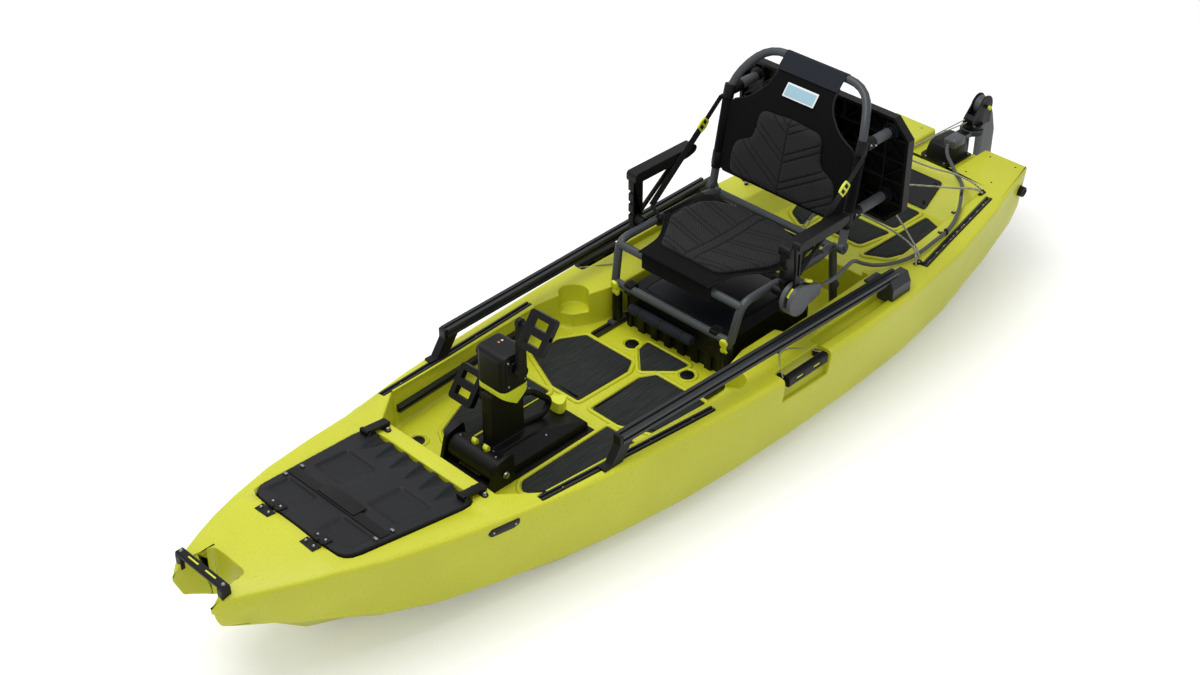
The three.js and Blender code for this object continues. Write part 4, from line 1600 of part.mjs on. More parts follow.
// Rudder base: a flanged box in the stern channel with a hose clamp, and a gudgeon on the transom
function makeRudderBase() {
  const z = STERN_CHANNEL_Z + CLEAR;
  const rearX = RUDDER_BASE_FRONT_X - RUDDER_BASE_LENGTH;
  const corner = RUDDER_BASE_HALF * 0.3;
  const flangeOutline = rounded([
    [rearX, -RUDDER_BASE_HALF], [RUDDER_BASE_FRONT_X - corner, -RUDDER_BASE_HALF],
    [RUDDER_BASE_FRONT_X, -RUDDER_BASE_HALF + corner], [RUDDER_BASE_FRONT_X, RUDDER_BASE_HALF - corner],
    [RUDDER_BASE_FRONT_X - corner, RUDDER_BASE_HALF], [rearX, RUDDER_BASE_HALF],
  ], corner / 3, 2);
  const flange = prismZ(flangeOutline, z, z + RUDDER_FLANGE);
  const rings = [0, 0.5, 0.85, 1].map((share, i) => {
    const half = RUDDER_BASE_HALF * [0.8, 0.76, 0.7, 0.62][i];
    const front = RUDDER_BASE_FRONT_X - corner * [0.6, 0.9, 1.3, 2][i];
    return rounded(rectangle(rearX, front, -half, half), corner, 2)
      .map(([x, y]) => [x, y, mix(z, RUDDER_BASE_TOP_Z, share)]);
  });
  const clampFrontX = RUDDER_BASE_FRONT_X - corner * 1.5;
  const clampOutline = rounded(rectangle(clampFrontX - HOSE_CLAMP_LENGTH, clampFrontX,
    HOSE_CLAMP_Y - HOSE_CLAMP_WIDTH / 2, HOSE_CLAMP_Y + HOSE_CLAMP_WIDTH / 2), RUDDER_FLANGE, 2);
  const clamp = prismZ(clampOutline, RUDDER_BASE_TOP_Z - RUDDER_FLANGE / 2, HOSE_CLAMP_TOP_Z);
  const reach = block(RUDDER_AXIS_X, RUDDER_BASE_FRONT_X - RUDDER_BASE_LENGTH / 2, -GUDGEON_RADIUS,
    GUDGEON_RADIUS, GUDGEON_Z - GUDGEON_HEIGHT, GUDGEON_Z);
  const gudgeon = rodZ(RUDDER_AXIS_X, 0, GUDGEON_Z - GUDGEON_HEIGHT, GUDGEON_Z, RUDDER_DISC_RADIUS, 22);
  const notch = block(-HULL_LENGTH, RUDDER_AXIS_X - GUDGEON_RADIUS * 0.6, -HULL_BEAM, HULL_BEAM, 0,
    HULL_LENGTH);
  const plateRearX = -HULL_LENGTH / 2 - CLEAR * 2;
  const plate = block(plateRearX - TRANSOM_PLATE, plateRearX, -TRANSOM_PLATE_HALF, TRANSOM_PLATE_HALF,
    GUDGEON_Z - TRANSOM_PLATE_HEIGHT, GUDGEON_Z - GUDGEON_HEIGHT / 2);
  const bore = rodZ(RUDDER_AXIS_X, 0, 0, HULL_DEPTH * 2, RUDDER_PIN + CLEAR, 14);
  return cut(join(flange, loft(rings), clamp, reach, gudgeon, plate), bore, notch);
}
const rudderBase = makeRudderBase();
add(kayak, 'rudder_base', rudderBase, blackPlastic, [RUDDER_AXIS_X, 0, GUDGEON_Z]);

// Rudder head: two tall cheeks on a round foot that turns on the gudgeon
const rudder = new THREE.Group();
kayak.add(rudder);
function makeRudderHead() {
  const round = (angle) => [KICK_X + GUDGEON_RADIUS * 1.9 * Math.cos(angle),
    KICK_Z + GUDGEON_RADIUS * 1.9 * Math.sin(angle)];
  const footZ = GUDGEON_Z + CLEAR;
  const outline = [
    [RUDDER_AXIS_X + GUDGEON_RADIUS * 1.4, footZ], [RUDDER_AXIS_X + GUDGEON_RADIUS * 1.6, mix(footZ, KICK_Z, 0.6)],
    ...[0.1, 0.25, 0.4, 0.55, 0.7, 0.85, 1].map((turn) => round(Math.PI * turn)),
    [KICK_X - GUDGEON_RADIUS * 1.6, footZ],
  ];
  const body = prismY(outline, -RUDDER_CHEEK_HALF, RUDDER_CHEEK_HALF);
  const foot = rodZ(RUDDER_AXIS_X, 0, footZ, footZ + GUDGEON_HEIGHT, RUDDER_DISC_RADIUS - PLAY * 3, 20);
  const gap = RUDDER_CHEEK_HALF - RUDDER_CHEEK;
  const space = block(RUDDER_AXIS_X - GUDGEON_RADIUS * 0.6, -HULL_LENGTH, -gap, gap, 0, HULL_LENGTH);
  const window = block(RUDDER_AXIS_X + GUDGEON_RADIUS, -HULL_LENGTH, -gap, gap,
    footZ + GUDGEON_HEIGHT * 1.5, HULL_LENGTH);
  const pintle = rodZ(RUDDER_AXIS_X, 0, GUDGEON_Z - GUDGEON_HEIGHT * 1.5,
    GUDGEON_Z + GUDGEON_HEIGHT, RUDDER_PIN, 12);
  const pin = rodY(KICK_X, KICK_Z, -KICK_PIN_HALF, KICK_PIN_HALF, KICK_PIN, 12);
  return join(cut(join(body, foot), space, window), pintle, pin);
}
add(rudder, 'rudder_head', makeRudderHead(), blackPlastic, [RUDDER_AXIS_X, 0, GUDGEON_Z]);

function makeBlade() {
  const tipZ = KICK_Z - BLADE_LENGTH;
  const tailX = BLADE_LEAD_X - BLADE_CHORD;
  const half = BLADE_THICKNESS / 2;
  const eyeHalf = RUDDER_CHEEK_HALF - RUDDER_CHEEK - PLAY;
  const rings = [
    [0.04, 0.1, 0.55], [0, 0.0, 0.92], [0.12, 0, 1], [0.7, 0, 1], [0.86, 0.02, 0.8], [0.98, 0.12, 0.5],
  ];
  const body = loft(rings.map(([rise, inset, share], i) => {
    const z = tipZ + (i ? rise : 0) * BLADE_LENGTH + (i ? BLADE_THICKNESS / 2 * (i === 1 ? 1 : 0) : 0);
    const lead = BLADE_LEAD_X - inset * BLADE_CHORD;
    const chord = BLADE_CHORD * share;
    return [[0, 0], [0.1, 0.7], [0.3, 1], [0.6, 0.8], [1, 0.15],
      [1, -0.15], [0.6, -0.8], [0.3, -1], [0.1, -0.7]]
      .map(([u, v]) => [Math.max(lead - u * chord, tailX), v * half, z]);
  }));
  const eye = rodY(KICK_X, KICK_Z, -eyeHalf, eyeHalf, GUDGEON_RADIUS * 1.6, 20);
  const neck = prismY([
    [KICK_X - GUDGEON_RADIUS * 0.8, KICK_Z], [KICK_X + GUDGEON_RADIUS * 0.8, KICK_Z],
    [BLADE_LEAD_X, KICK_Z - GUDGEON_RADIUS * 3],
    [BLADE_LEAD_X - BLADE_CHORD / 2, KICK_Z - GUDGEON_RADIUS * 3],
  ], -half, half);
  const bore = rodY(KICK_X, KICK_Z, -HULL_BEAM, HULL_BEAM, KICK_PIN + CLEAR, 12);
  return cut(join(body, eye, neck), bore);
}
add(rudder, 'rudder_blade', makeBlade(), blackPlastic, [KICK_X, 0, KICK_Z]);

// Drain plug in the port quarter and side carry handles
function makePlug() {
  const outerY = plugSurfaceY + PLUG_LENGTH;
  const head = rod([PLUG_X, outerY, PLUG_Z], plugCentre(PLUG_LENGTH - CLEAR), PLUG_RADIUS, 18);
  const slot = block(PLUG_X - PLUG_RADIUS * 0.7, PLUG_X + PLUG_RADIUS * 0.7, outerY - PLUG_LENGTH / 3,
    outerY + OVERRUN, PLUG_Z - PLAY, PLUG_Z + PLAY);
  return cut(head, slot);
}
add(kayak, 'drain_plug', makePlug(), rubberBlack, plugCentre(0));

for (const side of [1, -1]) {
  const half = SIDE_HANDLE_LENGTH / 2;
  const innerY = recessInnerY + SIDE_HANDLE_WIDTH;
  const outerY = innerY + SIDE_HANDLE_WIDTH;
  const section = rectangle(side * innerY, side * outerY,
    SIDE_HANDLE_Z - SIDE_HANDLE_HEIGHT / 2, SIDE_HANDLE_Z + SIDE_HANDLE_HEIGHT / 2);
  const outline = rounded(section, SIDE_HANDLE_WIDTH / 3, 3);
  const grip = prismX(outline, SIDE_HANDLE_X - half, SIDE_HANDLE_X + half);
  const ends = [1, -1].map((way) => block(SIDE_HANDLE_X + way * (half - SIDE_HANDLE_WIDTH / 2),
    SIDE_HANDLE_X + way * half, side * (recessInnerY + CLEAR), side * (innerY + SIDE_HANDLE_WIDTH / 2),
    SIDE_HANDLE_Z - SIDE_HANDLE_HEIGHT / 4, SIDE_HANDLE_Z + SIDE_HANDLE_HEIGHT / 4));
  const slots = [1, -1].map((way) => block(
    SIDE_HANDLE_X + way * half * 0.25, SIDE_HANDLE_X + way * half * 0.62,
    side * (innerY - PLAY), side * (outerY + OVERRUN), SIDE_HANDLE_Z - PLAY * 3, SIDE_HANDLE_Z + PLAY * 3));
  add(kayak, `side_handle_${sideName(side)}`, cut(join(grip, ...ends), ...slots), blackPlastic,
    [SIDE_HANDLE_X, side * innerY, SIDE_HANDLE_Z]);
}

// Steering hose from the drum's nose along the port deck to the rudder base
const hoseRoute = [
  [-372.6, 327, 455], [-390, 327, 455], [-450, 323, 446], [-540, 300, 436], [-600, 280, 416],
  [-660, 272, 376],
  [-720, 276, 345], [-775, 292, 333], [-850, 313, 334], [-950, 314, 339], [-1050, 303, 343],
  [-1140, 268, 348], [-1215, 224, 353], [-1265, 190, 355], [-1316, 128, 355], [-1352, 84, 358],
  [-1376, 52, 366], [-1392, 39, 377], [-1402, 35, 383],
];
add(kayak, 'steering_hose', cord(hoseRoute, HOSE_RADIUS, 50), hoseGrey);

// Bungee laced over the tankwell between four deck points
const bungeeRoute = [
  [-832, 338, 322.2], [-842, 328, 346], [-862, 300, 356], [-900, 0, 357], [-862, -300, 350],
  [-838, -338, 322.6], [-848, -342, 322.4], [-872, -314, 350], [-1060, 0, 371], [-1210, 198, 370],
  [-1272, 244, 356], [-1288, 254, 342.6], [-1291, 240, 352], [-1284, 178, 369], [-1280, 60, 359],
  [-1280, -80, 353], [-1286, -238, 350], [-1288, -254, 342.6], [-1272, -248, 350], [-1060, 0, 382],
  [-880, 286, 360], [-858, 324, 348], [-848, 338, 323],
];
add(kayak, 'bungee', cord(bungeeRoute, BUNGEE_RADIUS, 60), cordGrey);

// Rudder line: a doubled thin line that lifts the blade
const lineRoute = [
  [-1556, -12, 397], [-1353, -28, 392], [-1252, -28, 394], [-1060, -32, 395], [-900, -40, 374],
  [-790, -46, 326], [-752, -48, 303], [-738, -43, 302.6], [-752, -36, 303], [-790, -34, 332],
  [-900, -28, 382], [-1060, -20, 402], [-1252, -16, 404], [-1353, -16, 401], [-1557, -4, 389],
];
add(kayak, 'rudder_line', cord(lineRoute, LINE_RADIUS, 44), cordGrey);

export default kayak;
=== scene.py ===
# %% [markdown]
# # A pedal kayak
# A one-seat kayak with a fold-up pedal drive, a framed seat that slides, a hatch and a rudder.
# The CAD part gives every size, place and joint. This script gives the looks: it loads the CAD as a
# frame that never moves, lays a finished skin over each rigid piece, and builds the soft pieces anew.

import json
import math

import bmesh
import bpy
from mathutils import Matrix, Vector
from mathutils.bvhtree import BVHTree
from mathutils.geometry import intersect_line_line
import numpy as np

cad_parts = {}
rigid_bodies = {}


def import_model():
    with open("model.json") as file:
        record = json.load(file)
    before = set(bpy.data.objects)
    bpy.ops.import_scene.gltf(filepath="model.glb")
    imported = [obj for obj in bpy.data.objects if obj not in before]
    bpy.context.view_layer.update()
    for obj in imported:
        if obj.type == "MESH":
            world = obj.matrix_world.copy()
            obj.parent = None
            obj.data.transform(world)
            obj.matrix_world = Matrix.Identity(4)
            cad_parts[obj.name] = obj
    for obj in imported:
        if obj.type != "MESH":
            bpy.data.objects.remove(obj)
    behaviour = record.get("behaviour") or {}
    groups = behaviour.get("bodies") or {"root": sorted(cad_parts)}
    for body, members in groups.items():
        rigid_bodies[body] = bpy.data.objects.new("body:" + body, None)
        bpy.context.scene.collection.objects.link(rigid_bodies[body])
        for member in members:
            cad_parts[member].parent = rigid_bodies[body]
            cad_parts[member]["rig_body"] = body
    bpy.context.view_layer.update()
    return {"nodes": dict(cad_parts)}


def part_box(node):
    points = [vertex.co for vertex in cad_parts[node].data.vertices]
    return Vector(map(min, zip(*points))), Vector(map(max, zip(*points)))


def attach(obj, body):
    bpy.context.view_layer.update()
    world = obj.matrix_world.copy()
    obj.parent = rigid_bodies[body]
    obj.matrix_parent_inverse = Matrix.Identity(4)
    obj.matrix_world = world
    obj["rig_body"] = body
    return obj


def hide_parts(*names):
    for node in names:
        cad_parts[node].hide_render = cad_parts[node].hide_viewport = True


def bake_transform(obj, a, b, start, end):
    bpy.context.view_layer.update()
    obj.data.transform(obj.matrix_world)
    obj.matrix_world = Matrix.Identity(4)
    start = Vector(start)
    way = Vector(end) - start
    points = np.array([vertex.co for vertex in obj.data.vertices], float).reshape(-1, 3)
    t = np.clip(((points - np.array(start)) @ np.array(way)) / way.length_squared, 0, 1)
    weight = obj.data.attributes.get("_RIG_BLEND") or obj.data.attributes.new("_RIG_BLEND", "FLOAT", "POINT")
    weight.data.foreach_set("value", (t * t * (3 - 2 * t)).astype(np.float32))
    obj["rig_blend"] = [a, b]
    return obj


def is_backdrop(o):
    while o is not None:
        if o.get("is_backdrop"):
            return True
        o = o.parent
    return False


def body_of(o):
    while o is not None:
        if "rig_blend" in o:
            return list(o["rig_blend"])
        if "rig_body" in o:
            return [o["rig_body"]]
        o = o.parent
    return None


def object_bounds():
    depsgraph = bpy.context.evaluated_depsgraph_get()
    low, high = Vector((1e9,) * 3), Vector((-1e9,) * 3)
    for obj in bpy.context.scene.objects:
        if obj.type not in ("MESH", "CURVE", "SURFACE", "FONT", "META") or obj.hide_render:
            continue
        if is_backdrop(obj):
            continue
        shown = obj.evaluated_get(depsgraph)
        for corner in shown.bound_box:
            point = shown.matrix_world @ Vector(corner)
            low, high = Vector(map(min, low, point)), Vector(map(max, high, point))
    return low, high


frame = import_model()

# %% [markdown]
# ## Which body carries what
# A piece moves because it rides on a body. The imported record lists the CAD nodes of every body, so a
# skin over a node can look its body up by name and doesn't need it typed twice.

# %% Bodies by node
body_of_node = {name: body_of(obj)[0] for name, obj in frame["nodes"].items()}

# %% [markdown]
# ## The camera
# The photograph is taken from high off the port bow. Its eye point, direction and lens were fitted to
# points of the hull that can be told apart in the picture, so the frame falls where the photograph's
# does. A camera looks down its own -Z, and to_track_quat turns that axis onto the line of sight.

# %% Camera
EYE = Vector((3.160, 2.953, 3.354))
SIGHT = Vector((-0.5823, -0.5738, -0.5759))
LENS = 56.18

camera_data = bpy.data.cameras.new("camera")
camera_data.lens = LENS
camera_data.sensor_width = 36.0
camera = bpy.data.objects.new("camera", camera_data)
camera.location = EYE
camera.rotation_mode = "QUATERNION"
camera.rotation_quaternion = SIGHT.to_track_quat("-Z", "Y")
bpy.context.scene.collection.objects.link(camera)
bpy.context.scene.camera = camera
print("camera", round(camera_data.lens, 1), "mm at", [round(v, 2) for v in EYE])

# %% [markdown]
# ## Shader tools
# A material is a tree of nodes. Adding a node, setting it and wiring it takes many lines, so one helper
# does all three. A second helper starts a node group, which is an effect that many materials share:
# its sockets are made on the group's interface, and each material gives them its own values.

# %% Node and group helpers
def srgb(red, green, blue):
    """A colour picked from a picture, 0 to 255, as the linear colour that a shader needs."""
    def linear(value):
        share = value / 255
        return share / 12.92 if share <= 0.04045 else ((share + 0.055) / 1.055) ** 2.4
    return (linear(red), linear(green), linear(blue), 1.0)


def node(tree, kind, wires=None, **settings):
    """A shader node with its settings made and its inputs filled or wired."""
    made = tree.nodes.new(kind)
    for name, value in settings.items():
        setattr(made, name, value)
    for socket, value in (wires or {}).items():
        if isinstance(value, bpy.types.NodeSocket):
            tree.links.new(value, made.inputs[socket])
        else:
            made.inputs[socket].default_value = value
    return made


def math_node(tree, operation, first, second=0.0):
    """The result of one sum on two values."""
    return node(tree, "ShaderNodeMath", {0: first, 1: second}, operation=operation).outputs[0]


def span(tree, value, low, high, to_low=0.0, to_high=1.0):
    """The value stretched from low..high to to_low..to_high, and held there."""
    wires = {0: value, 1: low, 2: high, 3: to_low, 4: to_high}
    return node(tree, "ShaderNodeMapRange", wires, clamp=True).outputs[0]


def mixed(tree, share, first, second):
    """Two colours mixed by a share."""
    made = node(tree, "ShaderNodeMix", {0: share, 6: first, 7: second}, data_type="RGBA")
    return made.outputs[2]


def effect(title, inputs, outputs):
    """A new node group with its named inputs and outputs, and the two nodes inside it."""
    tree = bpy.data.node_groups.new(title, "ShaderNodeTree")
    for name, kind, value in inputs:
        socket = tree.interface.new_socket(name, in_out="INPUT", socket_type=kind)
        socket.default_value = value
    for name, kind in outputs:
        tree.interface.new_socket(name, in_out="OUTPUT", socket_type=kind)
    return tree, tree.nodes.new("NodeGroupInput"), tree.nodes.new("NodeGroupOutput")


def wire(tree, source, group_output, name):
    """Wires a result to one of the group's outputs."""
    tree.links.new(source, group_output.inputs[name])


print("shader helpers ready")

# %% [markdown]
# ## The grain of moulded plastic
# Rotomoulded and injected plastics are never one flat colour. The mould's skin leaves a fine grain,
# the pigment leaves small flecks, and the wall's cooling leaves broad, faint clouds. Three noises at
# three scales give these. All read Object coordinates, because every piece's place is in its mesh.

# %% Moulded grain
GREY = (0.5, 0.5, 0.5, 1.0)

grain, grain_in, grain_out = effect(
    "Moulded grain",
    [
        ("Base", "NodeSocketColor", GREY),
        ("Fleck", "NodeSocketColor", GREY),
        ("Fleck share", "NodeSocketFloat", 0.1),
        ("Grain scale", "NodeSocketFloat", 500.0),
        ("Roughness", "NodeSocketFloat", 0.5),
    ],
    [("Colour", "NodeSocketColor"), ("Roughness", "NodeSocketFloat"), ("Height", "NodeSocketFloat")],
)
place = node(grain, "ShaderNodeTexCoord").outputs["Object"]
clouds = node(grain, "ShaderNodeTexNoise", {"Vector": place, "Scale": 3.2, "Detail": 3.0}).outputs[0]
fine = node(grain, "ShaderNodeTexNoise", {"Vector": place, "Detail": 1.5})
grain.links.new(grain_in.outputs["Grain scale"], fine.inputs["Scale"])
fleck = node(grain, "ShaderNodeTexNoise", {"Vector": place, "Scale": 260.0, "Detail": 0.0}).outputs[0]
fleck_mask = math_node(
    grain, "MULTIPLY", span(grain, fleck, 0.62, 0.72), grain_in.outputs["Fleck share"]
)
darker = node(grain, "ShaderNodeHueSaturation", {"Value": 0.93, "Color": grain_in.outputs["Base"]})
clouded = mixed(grain, span(grain, clouds, 0.4, 0.62), grain_in.outputs["Base"], darker.outputs[0])
wire(grain, mixed(grain, fleck_mask, clouded, grain_in.outputs["Fleck"]), grain_out, "Colour")
rough_shift = span(grain, clouds, 0.3, 0.7, -0.04, 0.05)
wire(grain, math_node(grain, "ADD", grain_in.outputs["Roughness"], rough_shift), grain_out, "Roughness")
wire(grain, fine.outputs[0], grain_out, "Height")
print("group", grain.name, len(grain.nodes), "nodes")

# %% [markdown]
# ## Moulded finishes
# One function makes every plain moulded finish from that grain. Base Color, Roughness and Normal come
# through nodes. Numbers that are the same all over, such as the metal share or the gloss, are set on
# the Principled BSDF's own sockets.

# %% A moulded finish
GRAIN_STRENGTH = 0.6


def bare_finish(title, roughness):
    """A new material, its tree and its shader."""
    material = bpy.data.materials.new(title)
    material.use_nodes = True
    shader = material.node_tree.nodes["Principled BSDF"]
    shader.inputs["Roughness"].default_value = roughness
    return material, material.node_tree, shader


def moulded(title, base, fleck, fleck_share, grain_scale, roughness, bump, metallic=0.0, gloss=0.5):
    """A material with the moulded grain; bump is the grain's height in metres."""
    material, tree, shader = bare_finish(title, roughness)
    wires = {
        "Base": base, "Fleck": fleck, "Fleck share": fleck_share, "Grain scale": grain_scale,
        "Roughness": roughness,
    }
    moulding = node(tree, "ShaderNodeGroup", wires, node_tree=grain)
    wires = {"Height": moulding.outputs["Height"], "Distance": bump, "Strength": GRAIN_STRENGTH}
    raised = node(tree, "ShaderNodeBump", wires)
    tree.links.new(moulding.outputs["Colour"], shader.inputs["Base Color"])
    tree.links.new(moulding.outputs["Roughness"], shader.inputs["Roughness"])
    tree.links.new(raised.outputs["Normal"], shader.inputs["Normal"])
    shader.inputs["Metallic"].default_value = metallic
    shader.inputs["Specular IOR Level"].default_value = gloss
    return material


hull_look = moulded(
    "rotomoulded chartreuse", (0.56, 0.58, 0.018, 1), (0.38, 0.40, 0.012, 1), 0.4, 420, 0.42, 0.0004
)
accent_look = moulded(
    "chartreuse nylon", (0.62, 0.68, 0.03, 1), (0.7, 0.75, 0.1, 1), 0.1, 900, 0.35, 0.0001
)
black_look = moulded(
    "black nylon", srgb(8, 8, 9), srgb(24, 24, 25), 0.2, 800, 0.46, 0.00015, 0.0, 0.22
)
lid_look = moulded(
    "grained grey lid", srgb(22, 23, 26), srgb(46, 47, 50), 0.3, 520, 0.54, 0.0005, 0.0, 0.25
)
rail_look = moulded(
    "black anodised aluminium", srgb(36, 39, 42), srgb(56, 58, 60), 0.1, 1200, 0.3, 0.00005, 0.3, 0.5
)
tube_look = moulded(
    "grey powder coat", srgb(58, 62, 65), srgb(78, 82, 84), 0.2, 900, 0.4, 0.0001, 0.0, 0.4
)
hose_look = moulded(
    "grey hose plastic", srgb(74, 77, 80), srgb(96, 99, 101), 0.2, 700, 0.42, 0.0001, 0.0, 0.35
)
steel_look = moulded(
    "brushed steel", srgb(150, 152, 154), srgb(180, 182, 184), 0.2, 900, 0.3, 0.00005, 1.0
)
rubber_look = moulded(
    "black rubber", srgb(17, 17, 18), srgb(32, 32, 33), 0.2, 600, 0.65, 0.0002, 0.0, 0.3
)
print("moulded finishes:", len(bpy.data.materials))

# %% [markdown]
# ## Foam, webbing and cloth
# The deck pads are closed-cell foam, brushed so that short streaks run along the grain. A noise that
# is squeezed on one axis gives streaks, and the Mapping node does the squeezing. Webbing and cloth are
# woven: waves across and along, multiplied, rise and fall as the threads do. Where a cushion's seams are
# pressed in, its points carry their depth, which darkens the cloth there: painted shade in the grooves.

# %% Foam, webbing and cord
# The painted shade in the deepest seam, as a share towards black.
SEAM_SHADE = 0.75


def brushed_foam(title, dark, light, squeeze, turn=0.0):
    """Foam with brushed streaks; squeeze is the noise's scale on x, y and z."""
    material, tree, shader = bare_finish(title, 0.88)
    place = node(tree, "ShaderNodeTexCoord").outputs["Object"]
    wires = {"Vector": place, "Scale": squeeze, "Rotation": (0.0, 0.0, turn)}
    along = node(tree, "ShaderNodeMapping", wires).outputs[0]
    streak = node(tree, "ShaderNodeTexNoise", {"Vector": along, "Scale": 1.0, "Detail": 4.0})
    fine = node(tree, "ShaderNodeTexNoise", {"Vector": place, "Scale": 900.0, "Detail": 2.0})
    share = span(tree, streak.outputs[0], 0.38, 0.66)
    tree.links.new(mixed(tree, share, dark, light), shader.inputs["Base Color"])
    height = math_node(tree, "ADD", share, math_node(tree, "MULTIPLY", fine.outputs[0], 0.5))
    raised = node(tree, "ShaderNodeBump", {"Height": height, "Distance": 0.0006, "Strength": 0.7})
    tree.links.new(raised.outputs["Normal"], shader.inputs["Normal"])
    shader.inputs["Specular IOR Level"].default_value = 0.35
    return material


weave, weave_in, weave_out = effect(
    "Weave",
    [
        ("Turn", "NodeSocketVector", (0.0, 0.0, 0.0)),
        ("Warp scale", "NodeSocketFloat", 100.0),
        ("Weft scale", "NodeSocketFloat", 100.0),
        ("Weft share", "NodeSocketFloat", 1.0),
    ],
    [("Height", "NodeSocketFloat")],
)
place = node(weave, "ShaderNodeTexCoord").outputs["Object"]
turned = node(weave, "ShaderNodeMapping", {"Vector": place})
weave.links.new(weave_in.outputs["Turn"], turned.inputs["Rotation"])
warp = node(weave, "ShaderNodeTexWave", {"Vector": turned.outputs[0]}, bands_direction="X")
weft = node(weave, "ShaderNodeTexWave", {"Vector": turned.outputs[0]}, bands_direction="Y")
weave.links.new(weave_in.outputs["Warp scale"], warp.inputs["Scale"])
weave.links.new(weave_in.outputs["Weft scale"], weft.inputs["Scale"])
dips = math_node(weave, "SUBTRACT", 1.0, weft.outputs[1])
crossed = math_node(
    weave, "SUBTRACT", 1.0, math_node(weave, "MULTIPLY", dips, weave_in.outputs["Weft share"])
)
over = math_node(weave, "MULTIPLY", warp.outputs[1], crossed)
wire(weave, over, weave_out, "Height")
print("group", weave.name, len(weave.nodes), "nodes")


def woven(title, dark, light, turn, warp_scale, weft_scale, bump, roughness=0.8, gloss=0.2, weft=1.0):
    """Woven cloth in two close colours, its threads raised by bump metres, with painted shade in pressed
    seams.
    """
    material, tree, shader = bare_finish(title, roughness)
    wires = {"Turn": turn, "Warp scale": warp_scale, "Weft scale": weft_scale, "Weft share": weft}
    cloth = node(tree, "ShaderNodeGroup", wires, node_tree=weave)
    threads = mixed(tree, cloth.outputs["Height"], dark, light)
    # The seam depth mixes the threads towards black: painted shade in the pressed grooves.
    seam_shade_depth = node(tree, "ShaderNodeAttribute", attribute_name="seam_shade_depth")
    shade = math_node(tree, "MULTIPLY", seam_shade_depth.outputs["Fac"], SEAM_SHADE)
    tree.links.new(mixed(tree, shade, threads, (0.0, 0.0, 0.0, 1.0)), shader.inputs["Base Color"])
    raised = node(tree, "ShaderNodeBump", {"Height": cloth.outputs["Height"], "Distance": bump})
    tree.links.new(raised.outputs["Normal"], shader.inputs["Normal"])
    shader.inputs["Sheen Weight"].default_value = 0.04
    shader.inputs["Specular IOR Level"].default_value = gloss
    return material


foam_look = brushed_foam("brushed deck foam", srgb(23, 26, 25), srgb(43, 47, 45), (14.0, 420.0, 40.0))
webbing_look = woven(
    "black webbing", srgb(16, 16, 17), srgb(42, 42, 44), (0.0, 0.8, 0.0), 140, 140, 0.0004
)
cord_look = woven(
    "flecked cord", srgb(126, 125, 112), srgb(196, 195, 178), (0.0, 0.5, 0.785), 60, 60, 0.0003
)
print("materials:", len(bpy.data.materials))

# %% [markdown]
# ## The floor and the light
# A plain white studio: a broad floor that keeps the boat's shadow, a near-white world that lights
# every side evenly, and one large soft lamp overhead that draws the highlights along the rails and
# tubes. The floor's extra brightness is for camera rays only, so it adds no light to the object.

# %% Floor, world and lamp
floor_mesh = bmesh.new()
bmesh.ops.create_grid(floor_mesh, x_segments=1, y_segments=1, size=40.0)
floor_data = bpy.data.meshes.new("studio_floor")
floor_mesh.to_mesh(floor_data)
floor_mesh.free()
floor = bpy.data.objects.new("studio_floor", floor_data)
bpy.context.scene.collection.objects.link(floor)
floor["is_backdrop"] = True

floor_look, tree, shader = bare_finish("studio floor", 0.95)
shader.inputs["Base Color"].default_value = (0.86, 0.86, 0.86, 1.0)
shader.inputs["Specular IOR Level"].default_value = 0.1
rays = node(tree, "ShaderNodeLightPath")
seen = math_node(tree, "MAXIMUM", rays.outputs["Is Camera Ray"], rays.outputs["Is Glossy Ray"])
glow = math_node(tree, "MULTIPLY", seen, 0.22)
shader.inputs["Emission Color"].default_value = (1.0, 1.0, 1.0, 1.0)
tree.links.new(glow, shader.inputs["Emission Strength"])
floor_data.materials.append(floor_look)

world = bpy.data.worlds.new("studio")
world.use_nodes = True
bpy.context.scene.world = world
tree = world.node_tree
rays = node(tree, "ShaderNodeLightPath")
seen = math_node(tree, "MAXIMUM", rays.outputs["Is Camera Ray"], rays.outputs["Is Transmission Ray"])
tree.nodes["Background"].inputs["Color"].default_value = (1.0, 1.0, 1.0, 1.0)
tree.links.new(span(tree, seen, 0.0, 1.0, 0.72, 1.0), tree.nodes["Background"].inputs["Strength"])

lamp_data = bpy.data.lights.new("overhead_softbox", "AREA")
lamp_data.shape = "RECTANGLE"
lamp_data.size = 4.5
lamp_data.size_y = 2.5
lamp_data.energy = 130.0
lamp = bpy.data.objects.new("overhead_softbox", lamp_data)
lamp.location = (0.8, -0.6, 4.6)
lamp.rotation_mode = "QUATERNION"
lamp.rotation_quaternion = (Vector((0.0, 0.0, 0.2)) - lamp.location).to_track_quat("-Z", "Y")
bpy.context.scene.collection.objects.link(lamp)
bpy.context.scene.view_settings.view_transform = "Standard"
print("studio ready")

# %% [markdown]
# ## Skins over the CAD
# A CAD node is exact but bare: flat facets and knife-sharp edges, which no moulding or extrusion has.
# So each rigid node gets a skin. It is a copy of the node's mesh with its loose triangles merged, its
# flat areas joined to single faces, its corners rounded by a Bevel modifier, and its curves smoothed.
# The skin then stands for the node and rides on the same body, so it can't drift from the CAD.

# %% Piece and skin helpers
def link(obj, body, slot, *nodes):
    """Puts a finished piece in the scene, on its body, for the nodes it replaces. Its slot is not used."""
    bpy.context.scene.collection.objects.link(obj)
    if body:
        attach(obj, body)
    if nodes:
        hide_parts(*nodes)
    return obj


